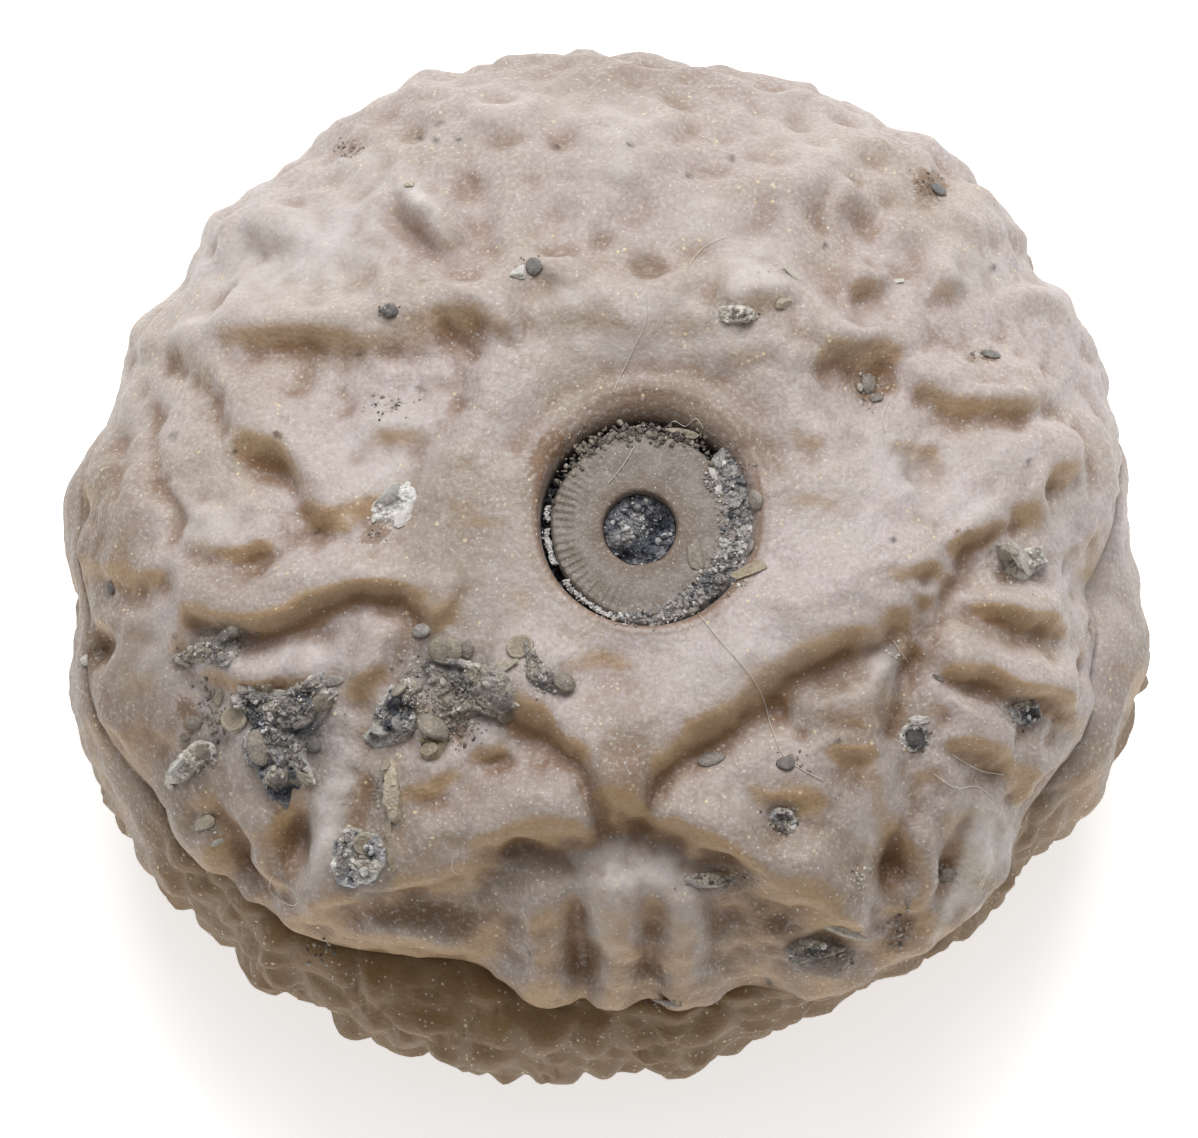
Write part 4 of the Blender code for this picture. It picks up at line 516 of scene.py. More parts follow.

# Soft brown cast on the flats and in hollows, painted shade for the most part and partly brown tone: oval,
# strength.
BROWNS_AND_SHADE = (
    (-0.5, -6.8, 1.3, 1.9, 0, 1.35), (-0.6, -8.1, 1.2, 0.35, 0, 1.4), (-0.7, -5.4, 1.6, 0.9, 0, 0.4),
    (-4.9, -0.8, 1.6, 2.6, 0, 0.95), (-1, 9.5, 12, 4.5, 0, 0.28), (-0.7, -11.8, 3.2, 0.8, 0, 1.5),
    (-2.9, 1.7, 0.6, 1.7, -30, 0.8), (0, 3.5, 2.7, 0.8, 0, 0.95), (2.9, 2.3, 0.7, 1.6, 40, 0.9),
    (5.8, -4.7, 1.8, 1.7, 30, 1.3), (1.8, -7.6, 1.8, 1.2, -10, 0.6), (-7, -10.4, 2.8, 0.7, -12, 1.5),
    (-11.5, -1.7, 2, 1, 0, 0.75), (6.6, -9.3, 0.7, 1.7, 10, 1.3), (-9.75, -8.7, 0.4, 1.9, 10, 1.5),
    (-11, -9.1, 0.45, 1.4, 40, 1.2), (-0.5, -12.6, 6, 0.7, 0, 1.1), (-4.6, -10.9, 2.4, 0.9, -8, 1.3),
    (-1.9, -11.4, 0.35, 1.5, 0, 1.5), (3.4, -10.9, 1.6, 1.2, -25, 1.3), (0.25, -11.4, 0.25, 1.4, 0, 1.2),
    (1.9, -11.4, 0.3, 1.2, 0, 1.2), (-7.6, -7.6, 0.4, 1.3, -10, 0.9), (8.2, -9.8, 0.6, 1.4, 0, 1),
    (-14, -4.6, 1.8, 3.6, 20, 0.7), (12.6, -5.4, 1.2, 2.4, -20, 0.4), (4.4, -9.6, 1.2, 0.9, -40, 0.4),
    (2.2, -5.6, 2.4, 0.5, 35, 0.35), (-3.1, -5.4, 1.6, 0.5, -40, 0.3), (-0.1, 7, 0.6, 0.4, 0, 0.6),
    (-10.8, 6.2, 1.3, 0.5, 10, 0.3), (-10.7, 5.2, 1, 0.4, -10, 0.35), (-8.5, 5.2, 0.8, 0.3, 0, 0.25),
    (-5.3, 5.3, 0.9, 0.4, 0, 0.35), (-2.6, 5.25, 1.1, 0.5, -10, 0.35), (-6.3, 6.6, 1, 0.4, 5, 0.3),
    (-5.5, 8.35, 1.1, 0.25, -50, 1), (-7.5, 7.75, 0.7, 0.35, -10, 0.8), (-5.2, 7.6, 0.6, 0.4, -20, 0.35),
    (-4.8, 9.3, 1, 0.5, 10, 0.3), (-1.1, 7.75, 0.6, 0.35, 25, 0.5), (0.1, 6.95, 0.6, 0.3, 0, 0.7),
    (-2.1, 6.6, 0.7, 0.3, 0, 0.45), (1.7, 7.7, 0.5, 0.3, 25, 0.4), (-0.5, 12.6, 6, 1.3, 0, 0.75),
    (-6.6, 11.2, 2.4, 0.8, 25, 0.5), (1.3, 9.6, 1, 0.7, 0, 0.35), (3.2, 8.4, 1, 1, 0, 0.4),
    (4.7, 5.4, 0.5, 0.7, 0, 0.35), (5.6, 8.9, 0.8, 0.5, 20, 0.4), (7, 8, 0.5, 0.9, -25, 0.45),
    (6, 6.7, 1, 0.5, 15, 0.45), (8.2, 6.7, 0.9, 0.5, 0, 0.4), (6.9, 5.3, 1.2, 0.5, 0, 0.35),
    (10.9, 6.1, 0.9, 0.4, -20, 0.3), (2.6, 4.7, 1.8, 0.5, 0, 0.35), (7, 10.2, 1.6, 0.6, -20, 0.4),
    (6.1, 3.7, 0.8, 0.7, 0, 0.35), (9.6, 3.4, 2.2, 0.4, 5, 0.35), (-11.3, 3.4, 1.6, 0.5, 60, 0.3),
    (-9.9, 1.5, 0.8, 0.4, -25, 0.45))

# Grey film of matrix round the crumbs: oval, strength.
FILMS = (
    (-5.2, -4.1, 1.7, 1.1, -20, 0.9), (-9.5, -5.7, 1.9, 1.3, -25, 0.7), (-7.6, -9.3, 0.95, 0.95, 0, 0.9),
    (-11.5, -3.2, 1.2, 0.6, 10, 0.7), (-12.2, -6.3, 1.2, 0.6, 40, 0.7), (-2.6, -4.1, 0.9, 0.5, -20, 0.5),
    (3.7, -7.9, 0.7, 0.6, 0, 0.6), (10.1, -5.1, 0.8, 0.6, 0, 0.6), (7.3, -5.8, 0.6, 0.6, 0, 0.6),
    (2.2, -9.5, 1.1, 0.5, 0, 0.5), (4.6, -11.6, 1.4, 0.6, 0, 0.6), (2.4, 5.8, 1, 0.5, 0, 0.5),
    (10.1, -0.9, 1, 0.7, 0, 0.5), (-6.9, -7.2, 0.6, 1.3, 0, 0.4), (-12, -8.1, 0.6, 0.5, 0, 0.5))

# Outline of the pale broken face low on the right side.
PALE_FACE = (
    (9, -7.3), (9.45, -7.9), (9.95, -8.9), (9, -9.9), (8, -11.3), (7.75, -11.1), (8.3, -9.6))

# Cavities in the crusts, sunk and darkened as painted shade: oval, strength.
CAVITIES = (
    (-9.6, -7.1, 0.55, 0.4, 0, 0.9), (-9.1, -4.5, 0.25, 0.35, 0, 0.8), (-10.5, -5.1, 0.3, 0.55, -10, 0.8),
    (-6.4, -4.95, 0.55, 0.16, 0, 1), (-7.3, -4.95, 0.2, 0.2, 0, 0.7), (-5.1, -5.5, 0.35, 0.3, -30, 0.9),
    (-9.4, -5.5, 0.35, 0.15, 0, 0.5), (-10.2, -6.5, 0.3, 0.15, 0, 0.8), (-5.3, -3.85, 0.6, 0.1, -10, 0.9),
    (-7.5, -8.95, 0.3, 0.12, 0, 0.5), (-7.2, -8.1, 0.2, 0.12, 0, 0.8), (-8.2, -9.4, 0.4, 0.3, 0, 0.5),
    (-11, -3.1, 0.12, 0.2, 0, 0.8), (-12.1, -3.75, 0.4, 0.1, 20, 0.7), (-3, -4.3, 0.4, 0.1, -20, 0.8),
    (7.3, -5.8, 0.35, 0.3, 0, 0.8), (10.3, -5.1, 0.3, 0.2, 0, 0.7), (2.3, -9.6, 0.3, 0.2, 0, 0.9),
    (10, -0.85, 0.3, 0.12, 20, 0.6), (3.7, -8, 0.3, 0.3, 0, 0.6), (4.6, -11.6, 0.5, 0.2, 0, 0.6))

# How the crumbs of each kind look: middle and spread of the tone, 0 black and 1 white, how warm
# the tone is, 0 blue grey and 1 beige, and how even the top is, 0 blocky and 1 smooth.
TONES = {
    "dark": (0.66, 0.23, 0.2, 0.1),
    "brown": (0.64, 0.18, 0.4, 0.3),
    "pale": (0.78, 0.18, 0.4, 0.4),
    "ochre": (0.68, 0.1, 1, 0.6),
    "beige": (0.82, 0.08, 0.85, 0.9),
    "white": (0.96, 0.05, 0.3, 0.3),
}

# Rubble of each kind: name of its material, tint, and share of the tint.
RUBBLES = {
    "dark": ("dark_matrix", (70, 72, 76), 0.12),
    "brown": ("brown_matrix", (118, 104, 86), 0.25),
    "pale": ("pale_matrix", (176, 168, 152), 0.2),
    "ochre": ("ochre_chip", (168, 146, 104), 0.5),
    "beige": ("beige_strip", (170, 152, 126), 0.4),
    "white": ("white_chalk", (228, 227, 224), 0.3),
}

# Rounded pebbles: oval, tone, warmth.
PEBBLES = (
    (-10.48, -6.05, 0.5, 0.33, -75, 0.52, 0.75), (-8.75, -4.8, 0.4, 0.26, 10, 0.4, 0.9),
    (-10.85, -4.45, 0.2, 0.16, 0, 0.55, 0.5), (-9.2, -5.35, 0.34, 0.24, 30, 0.36, 0.5),
    (-9.85, -4.6, 0.24, 0.18, 0, 0.62, 0.4), (-8.5, -4.2, 0.42, 0.15, 0, 0.6, 0.35),
    (-9, -5.9, 0.34, 0.24, -30, 0.4, 0.3), (-12.2, -5.35, 0.24, 0.2, 0, 0.48, 0.8),
    (-12.45, -5.75, 0.16, 0.14, 0, 0.35, 0.8), (-5.35, -3.38, 0.5, 0.42, 0, 0.53, 0.85),
    (-4.8, -3.35, 0.2, 0.24, 0, 0.45, 0.7), (-5.75, -5.5, 0.48, 0.5, 10, 0.53, 0.8),
    (-6, -2.85, 0.3, 0.2, 10, 0.68, 0.2), (-2.2, -4.25, 0.34, 0.24, -20, 0.48, 0.8),
    (-2.75, -3.95, 0.24, 0.12, -30, 0.62, 0.6), (-11.35, -3, 0.2, 0.15, 60, 0.28, 0.6),
    (3.02, 0.68, 0.26, 0.3, 20, 0.6, 0.6), (2.7, 0.22, 0.18, 0.15, 0, 0.62, 0.4),
    (2.45, -0.75, 0.3, 0.22, 30, 0.46, 0.4), (2.9, -0.6, 0.16, 0.2, 0, 0.6, 0.5),
    (0.15, -2.3, 0.3, 0.14, 0, 0.5, 0.4), (-14.5, -1.7, 0.24, 0.2, 0, 0.3, 0.5),
    (-15.2, -3.7, 0.2, 0.16, 0, 0.85, 0.4), (9.4, 4.6, 0.28, 0.16, 0, 0.42, 0.2),
    (6.05, 3.8, 0.24, 0.3, 10, 0.5, 0.5), (5.8, 3.72, 0.1, 0.12, 0, 0.75, 0.5),
    (6.3, 3.4, 0.2, 0.15, 0, 0.5, 0.4), (7.3, -5.8, 0.28, 0.24, 0, 0.1, 0.1),
    (1.8, -6.35, 0.4, 0.2, 12, 0.5, 0.5), (-6.9, 5.8, 0.24, 0.18, 0, 0.3, 0.1),
    (-3, 7, 0.24, 0.24, 0, 0.4, 0.2), (-6.6, -4.45, 0.3, 0.2, 20, 0.62, 0.7),
    (-6.2, -4.35, 0.24, 0.2, -20, 0.58, 0.7), (-7.1, -5.6, 0.34, 0.24, 30, 0.66, 0.15),
    (-6.7, -5.4, 0.3, 0.2, -20, 0.58, 0.15), (3.8, -6.45, 0.26, 0.2, 0, 0.35, 0.4),
    (8, 9.15, 0.26, 0.2, 0, 0.42, 0.1))

# Lumps in the gap round the stem disc, level with its face: oval at (x, y), tone, warmth.
GAP_LUMPS = (
    (1, 2.55, 0.46, 0.16, -10, 0.56, 0.85), (-0.5, 2.6, 0.26, 0.14, 5, 0.34, 0.6),
    (-1, 2.4, 0.22, 0.12, 24, 0.4, 0.6), (2.2, 1.7, 0.3, 0.2, -52, 0.48, 0.3),
    (2.75, 1, 0.3, 0.24, -60, 0.62, 0.3), (2.78, 0.42, 0.2, 0.2, 0, 0.66, 0.4),
    (2.32, 1.35, 0.16, 0.1, -60, 0.95, 0.1), (2, -1.35, 0.3, 0.2, 30, 0.56, 0.3),
    (1.1, -2.3, 0.4, 0.18, 12, 0.64, 0.4), (0.1, -2.5, 0.36, 0.14, 0, 0.6, 0.5))

# Flat discs with a raised rim, small stem pieces caught in the matrix: u, v, radius, tone, warmth.
SMALL_DISCS = (
    (-3.35, -3.3, 0.36, 0.6, 0.8), (-7.6, -8.62, 0.29, 0.56, 0.8), (-11.1, -5.25, 0.36, 0.58, 0.85),
    (-3.72, -5.1, 0.28, 0.46, 0.7), (-4.9, -4.9, 0.2, 0.5, 0.4))

# Outline of such a disc: share of its radius, and its level against its radius.
SMALL_DISC_PROFILE = (
    (0.1, 0.22), (0.3, 0.24), (0.5, 0.25), (0.7, 0.26), (0.85, 0.32), (0.94, 0.3), (1, 0.18),
    (1, -0.3))

# Angular chips: oval, tone, warmth.
CHIPS = (
    (2.85, -1.2, 0.5, 0.2, 22, 0.66, 1), (1.35, -0.75, 0.26, 0.4, 15, 0.58, 0.5),
    (1.85, 1.4, 0.2, 0.1, -60, 0.95, 0.2), (-1.9, 1.8, 0.17, 0.12, -10, 0.7, 1),
    (1.05, 2.45, 0.5, 0.13, -8, 0.56, 0.9), (-9.3, -6.72, 0.42, 0.12, -8, 0.72, 0.7),
    (-11.5, -4.65, 0.14, 0.34, -22, 0.64, 0.7), (-10.2, -4.4, 0.16, 0.22, 0, 0.6, 0.7),
    (-5.82, -6.12, 0.3, 0.2, 20, 0.64, 1), (-3.85, -3.85, 0.44, 0.15, 12, 0.74, 0.7),
    (-12.9, -7.05, 0.3, 0.12, -10, 0.8, 0.6), (-12.55, -6.35, 0.5, 0.15, 55, 0.88, 0.2),
    (-12, -6.1, 0.3, 0.2, 0, 0.48, 0.8), (-11.95, -8.12, 0.38, 0.22, 5, 0.66, 0.75),
    (-11.6, -8.6, 0.2, 0.12, 40, 0.78, 0.4), (10.2, -1, 0.7, 0.3, -20, 0.78, 0.4),
    (9.8, -0.7, 0.4, 0.24, 20, 0.72, 0.5), (7.95, -4.1, 0.18, 0.1, -20, 0.7, 0.5),
    (7.4, -5.25, 0.3, 0.12, 0, 0.92, 0.3), (-3.4, 6.85, 0.26, 0.2, 30, 0.92, 0.3),
    (3.95, 6.8, 0.36, 0.12, -35, 0.85, 0.5), (3.7, 6, 0.3, 0.16, 0, 0.76, 0.9),
    (6.9, 6.6, 0.22, 0.1, 10, 0.92, 0.4), (5.4, -11, 0.7, 0.16, -25, 0.8, 0.6),
    (-7, 0.75, 0.5, 0.2, 50, 1, 0.3), (-6.5, 0.3, 0.4, 0.2, 60, 1, 0.3),
    (-7, -6.45, 0.14, 0.3, 0, 0.6, 0.7), (-6.9, -8.3, 0.14, 0.34, -10, 0.64, 0.9),
    (-6.85, -9, 0.12, 0.36, 6, 0.62, 0.9), (8.2, -9.5, 0.26, 0.22, 0, 0.5, 0.5),
    (0.65, -12.95, 0.4, 0.16, 0, 0.5, 0.6), (-6.4, 9.25, 0.14, 0.2, 20, 0.8, 0.9),
    (2, 0.95, 0.1, 0.14, 0, 0.9, 0.1))

# Loose scatterings of small grains: oval, count, tone, spread.
SCATTERS = (
    (1, 2.45, 0.75, 0.3, -10, 60, 0.55, 0.25), (-1.6, 2.5, 0.6, 0.25, 30, 24, 0.4, 0.25),
    (2.5, 1.6, 0.4, 0.6, 30, 40, 0.45, 0.25), (2.3, -1.5, 0.6, 0.5, 40, 70, 0.5, 0.28),
    (0.9, -2.3, 0.9, 0.25, 15, 60, 0.5, 0.3), (-0.6, -2.6, 0.8, 0.2, -10, 30, 0.6, 0.3),
    (10.2, -1.1, 0.7, 0.5, -10, 60, 0.72, 0.2), (6.05, 3.65, 0.5, 0.5, 0, 50, 0.5, 0.25),
    (7.8, 9.3, 0.5, 0.4, -30, 40, 0.35, 0.25), (2.5, 5.7, 0.6, 0.25, 0, 40, 0.55, 0.25),
    (1.8, -9.6, 0.9, 0.25, 0, 50, 0.6, 0.25), (3.75, -8, 0.45, 0.35, 0, 40, 0.4, 0.25),
    (4.6, -11.6, 1, 0.35, -10, 70, 0.5, 0.25), (5.75, -9.5, 0.35, 0.45, 0, 36, 0.65, 0.3),
    (6.95, -11, 0.4, 0.6, -20, 50, 0.35, 0.25), (7.3, -5.8, 0.4, 0.4, 0, 30, 0.4, 0.35),
    (10.3, -5.1, 0.5, 0.4, 0, 44, 0.45, 0.3), (-12.2, -6.5, 0.8, 0.5, 35, 70, 0.6, 0.25),
    (-11.7, -5, 0.4, 0.9, 10, 130, 0.42, 0.2), (-5.3, -5.1, 1, 0.7, 10, 420, 0.48, 0.25),
    (-6.2, -4.5, 0.4, 0.8, 0, 200, 0.55, 0.25), (-9.9, -4.9, 1.2, 0.5, 0, 260, 0.5, 0.3),
    (-14.9, -3.4, 0.4, 0.2, 35, 20, 0.35, 0.3), (-12, -8.1, 0.35, 0.25, 0, 30, 0.65, 0.2),
    (-11.6, -3.3, 0.9, 0.5, 10, 70, 0.5, 0.25), (-6.8, 3.2, 0.9, 0.35, 5, 36, 0.5, 0.3),
    (-8.1, 10.3, 0.45, 0.3, 0, 26, 0.4, 0.2), (-7, 5.8, 0.25, 0.2, 0, 12, 0.3, 0.2),
    (-3.1, 7, 0.35, 0.25, 0, 20, 0.6, 0.3), (4.1, -6.4, 0.4, 0.3, 0, 20, 0.4, 0.25),
    (-8.9, -11.5, 0.7, 0.4, 0, 40, 0.5, 0.2), (0.6, -13, 0.4, 0.2, 0, 20, 0.45, 0.2),
    (3.6, 6.9, 0.3, 0.4, -30, 20, 0.8, 0.15), (-7.2, -7.3, 0.25, 0.9, 0, 40, 0.65, 0.2),
    (-5.1, -5.6, 0.5, 0.5, 0, 40, 0.35, 0.25), (-2.9, -4.2, 0.6, 0.4, -30, 30, 0.5, 0.25),
    (-7, 0.4, 0.4, 0.4, 0, 24, 0.95, 0.05), (-7.3, -0.3, 0.4, 0.2, 0, 16, 0.3, 0.2),
    (6.7, -3.4, 0.2, 0.5, 20, 20, 0.9, 0.1), (8.2, -9.5, 0.3, 0.3, 0, 20, 0.5, 0.2),
    (9.1, 4.6, 0.4, 0.2, 0, 14, 0.4, 0.2))

# Dust fibres: paths.
FIBRES = (
    ((-0.85, 3.6), (-0.4, 4.6), (0, 5.5), (0.05, 6.5)),
    ((-0.3, 2.1), (-0.6, 1.6), (-1, 1.1)),
    ((1.4, -2.35), (2.1, -3.2), (3, -4.3), (3.4, -5.5), (3.8, -6.3), (4.8, -6.9)),
    ((7.8, -6.7), (8.4, -7.1), (9, -7.1), (9.5, -7.5)),
    ((8.3, -6.2), (9, -6.6), (9.7, -6.75)),
    ((-10.1, -9.5), (-10.15, -9.9), (-9.8, -10.2), (-9.5, -10.3), (-9.35, -10.2)),
    ((1.2, 7), (1.6, 7.5), (2.2, 7.8)),
    ((-5.2, -9), (-5.2, -9.3), (-5, -9.4)),
    ((0.5, 2.6), (0.8, 2.85), (1.1, 2.7), (1.4, 2.9), (1.6, 2.65)),
    ((6.6, 3.3), (6.45, 2.9), (6.5, 2.5)),
    ((6.7, -3.1), (6.9, -3.4), (7.1, -3.7)),
)

# Colours, as 0 to 255 on a screen.
PINK_GREY = (194, 181, 177)
WARM_GREY = (188, 175, 165)
# Grey-brown of the brown cast, which is mostly painted shade.
SHADE_BROWN = (149, 134, 121)
# Ochre of painted shade, on falls that face the front, away from the lamp.
FALL_SHADE_OCHRE = (186, 153, 112)
# Brown of painted shade in creases.
CREASE_SHADE_BROWN = (126, 92, 62)
# Umber, for real stains and for painted shade in hollows, on steep falls and on the pit's wall.
UMBER_STAIN_AND_SHADE = (128, 99, 72)
# Brown of the roof's plates, made darker as painted shade under the overhanging lip.
ROOF_BROWN_AND_SHADE = (127, 97, 52)
ROOF_SEAM = (134, 112, 82)
# Pale bloom, which also serves for painted highlights and for pale specks.
PALE_BLOOM_AND_HIGHLIGHT = (222, 216, 213)
CREAM_SPECK = (232, 216, 178)
# Near black, for the dark dots and for the painted shadow deep in the pit.
DARK_DOT_AND_SHADOW = (52, 49, 47)
FILM_GREY = (132, 125, 121)
FRACTURE_GREY = (206, 196, 184)
# White of painted glints on the crumbs.
PAINTED_GLINT_WHITE = (234, 233, 232)
COOL_TONES = (
    (0.0, (26, 28, 36)), (0.25, (74, 78, 88)), (0.45, (124, 125, 130)), (0.62, (160, 158, 158)),
    (0.8, (202, 200, 198)), (1.0, (244, 243, 242)))
WARM_TONES = (
    (0.0, (40, 33, 26)), (0.25, (100, 86, 70)), (0.45, (144, 129, 108)), (0.62, (172, 157, 134)),
    (0.8, (206, 193, 168)), (1.0, (242, 236, 222)))


# ---------------- relief
def smooth(t):
    """Ease from 0 at t = 0 to 1 at t = 1."""
    t = np.clip(t, 0.0, 1.0)
    return t * t * (3.0 - 2.0 * t)


def round_path(points, per_span=4):
    """Catmull-Rom curve through the points of an open path."""
    p = np.array([points[0], *points, points[-1]], float)
    out = []
    for i in range(1, len(p) - 2):
        for k in range(per_span):
            t = k / per_span
            a = 2 * p[i] + (p[i + 1] - p[i - 1]) * t
            b = (2 * p[i - 1] - 5 * p[i] + 4 * p[i + 1] - p[i + 2]) * t * t
            c = (3 * p[i] - p[i - 1] - 3 * p[i + 1] + p[i + 2]) * t ** 3
            out.append((a + b + c) / 2)
    out.append(p[-2])
    return np.array(out)


def along_path(path, u, v):
    """Signed distance to the path (left is positive) and how far along it, for each point."""
    best = np.full(u.shape, np.inf)
    side = np.zeros(u.shape)
    run = np.zeros(u.shape)
    total = 0.0
    for a, b in zip(path[:-1], path[1:]):
        d = b - a
        length = hypot(*d)
        t = np.clip(((u - a[0]) * d[0] + (v - a[1]) * d[1]) / length ** 2, 0, 1)
        du = u - a[0] - t * d[0]
        dv = v - a[1] - t * d[1]
        gap = du * du + dv * dv
        near = gap < best
        best = np.where(near, gap, best)
        side = np.where(near, np.sign(d[0] * dv - d[1] * du), side)
        run = np.where(near, total + t * length, run)
        total += length
    return side * np.sqrt(best), run, total


def within(path, u, v):
    """Which points lie inside a closed path."""
    inside = np.zeros(u.shape, bool)
    for a, b in zip(path[:-1], path[1:]):
        crosses = (a[1] > v) != (b[1] > v)
        rise = b[1] - a[1] if b[1] != a[1] else 1.0
        inside ^= crosses & (u < a[0] + (v - a[1]) / rise * (b[0] - a[0]))
    return inside


def fade_ends(run, total, longest):
    """1 along a path, easing to 0 over the given length at both ends."""
    span = min(longest, 0.4 * total)
    return smooth(run / span) * smooth((total - run) / span)


def near_box(path, u, v, margin):
    """Which points lie within the margin of the path's box."""
    low = path.min(axis=0) - margin
    high = path.max(axis=0) + margin
    return (u > low[0]) & (u < high[0]) & (v > low[1]) & (v < high[1])


def ring_points(radius, bearings, z):
    """Points at the given distances and bearings from the stem axis, at the given levels."""
    x, y, z = np.broadcast_arrays(radius * np.cos(bearings), radius * np.sin(bearings), z)
    return np.stack([x, y, z], axis=-1)


def round_bearings(count):
    """Bearings spaced evenly round the stem axis, in radians."""
    return np.linspace(0, tau, count, endpoint=False)


def normalised(vectors):
    """The same vectors with a length of 1."""
    return vectors / np.linalg.norm(vectors, axis=-1, keepdims=True)


def wobble(points, size):
    """Smooth seeded noise at each point, about -1 to 1, with lumps of the given size."""
    flat = points.reshape(-1, 3)
    values = [noise.noise(Vector(p) / size) for p in flat.tolist()]
    return np.array(values).reshape(points.shape[:-1])


def rough(points, layers):
    """Layers of smooth noise added up: the strength, size of lumps and shift of each."""
    return sum(strength * wobble(points + shift, size) for strength, size, shift in layers)


def slope(t):
    """Rise from 0 to 1, steep at its foot and rolling over at its shoulder."""
    t = np.clip(t, 0.0, 1.0)
    return 0.2 * smooth(t) + 0.8 * (1.0 - (1.0 - t) ** 2.0)


def plates_at(u, v, plates, widen):
    """Height of raised plates, in millimetres. The widths of their edges are multiplied by widen."""
    h = np.zeros(u.shape)
    for points, height, edge in plates:
        path = round_path(points + points[:1])
        m = near_box(path, u, v, edge)
        s = np.abs(along_path(path, u[m], v[m])[0])
        s[~within(path, u[m], v[m])] *= -1
        h[m] += height * slope(FOOT / widen[m] + s / (edge * widen[m]))
    return h


def lines_at(u, v, steps, ridges, widen):
    """Height of steps and ridges, in millimetres. The widths of the steps are multiplied by widen."""
    h = np.zeros(u.shape)
    for points, height, edge, reach in steps:
        path = round_path(points)
        m = near_box(path, u, v, 2.3 * edge + reach)
        s, run, total = along_path(path, u[m], v[m])
        width = edge * widen[m]
        back = 1.0 - smooth((s - width + FOOT * edge) / reach)
        h[m] += height * slope(FOOT / widen[m] + s / width) * back * fade_ends(run, total, STEP_FADE)
    for points, height, width in ridges:
        path = round_path(points)
        m = near_box(path, u, v, 3 * width)
        s, run, total = along_path(path, u[m], v[m])
        h[m] += height * np.exp(-(s / width) ** 2) * fade_ends(run, total, RIDGE_FADE)
    return h


def oval_gap(u, v, middle_u, middle_v, long, wide, turn):
    """Square of the distance from an oval's middle, where the oval's edge is at 1."""
    c = cos(radians(turn))
    s = sin(radians(turn))
    a = ((u - middle_u) * c + (v - middle_v) * s) / long
    b = ((v - middle_v) * c - (u - middle_u) * s) / wide
    return a * a + b * b


def bumps_at(u, v, bumps):
    """Height of soft oval bumps and pits, in millimetres."""
    h = np.zeros(u.shape)
    for *oval, height in bumps:
        h += height * np.exp(-oval_gap(u, v, *oval))
    return h


def patches(spots, u, v, edge=1.5):
    """How strongly oval spots cover each point, 0 to 1. A larger edge is a harder one."""
    cover = np.zeros(u.shape)
    for *oval, strength in spots:
        cover = np.maximum(cover, strength * np.exp(-oval_gap(u, v, *oval) ** edge))
    return cover


def relief(u, v):
    """Height of the drawn forms above the plain dome, in millimetres, with wandering edges."""
    spots = np.stack([u, v, np.zeros(u.shape)], axis=-1)
    u = u + rough(spots, WANDER_U)
    v = v + rough(spots, WANDER_V)
    widen = 1.0 + 0.5 * wobble(spots + 53.0, 1.6)
    broad = plates_at(u, v, PLATES, EDGE_SHARE * widen) + bumps_at(u, v, BUMPS)
    broad += lines_at(u, v, STEPS, RIDGES, EDGE_SHARE * widen)
    fine = lines_at(u, v, FINE_STEPS, FINE_RIDGES, FINE_EDGE_SHARE * widen) + bumps_at(u, v, FINE_BUMPS)
    back = smooth((v - 4.4) / 1.2)
    strength = 1.0 + 0.35 * wobble(spots + 71.0, 1.3)
    return (RELIEF_GAIN * (1 + (BACK_GAIN - 1) * back) * broad + fine) * strength


# ---------------- materials
def linear(colour):
    """A colour as 0 to 255 on a screen, turned into the numbers that a shader takes."""
    parts = [c / 255 for c in colour]
    return tuple(c / 12.92 if c <= 0.04045 else ((c + 0.055) / 1.055) ** 2.4 for c in parts)


class Value:
    """What a socket gives in a material. Arithmetic on it adds Math nodes."""

    def __init__(self, paint, socket):
        self.paint = paint
        self.socket = socket

    def __add__(self, other):
        return self.paint.maths("ADD", self, other)

    __radd__ = __add__

    def __sub__(self, other):
        return self.paint.maths("SUBTRACT", self, other)

    def __rsub__(self, other):
        return self.paint.maths("SUBTRACT", other, self)

    def __mul__(self, other):
        return self.paint.maths("MULTIPLY", self, other)

    __rmul__ = __mul__

    def __pow__(self, other):
        return self.paint.maths("POWER", self, other)


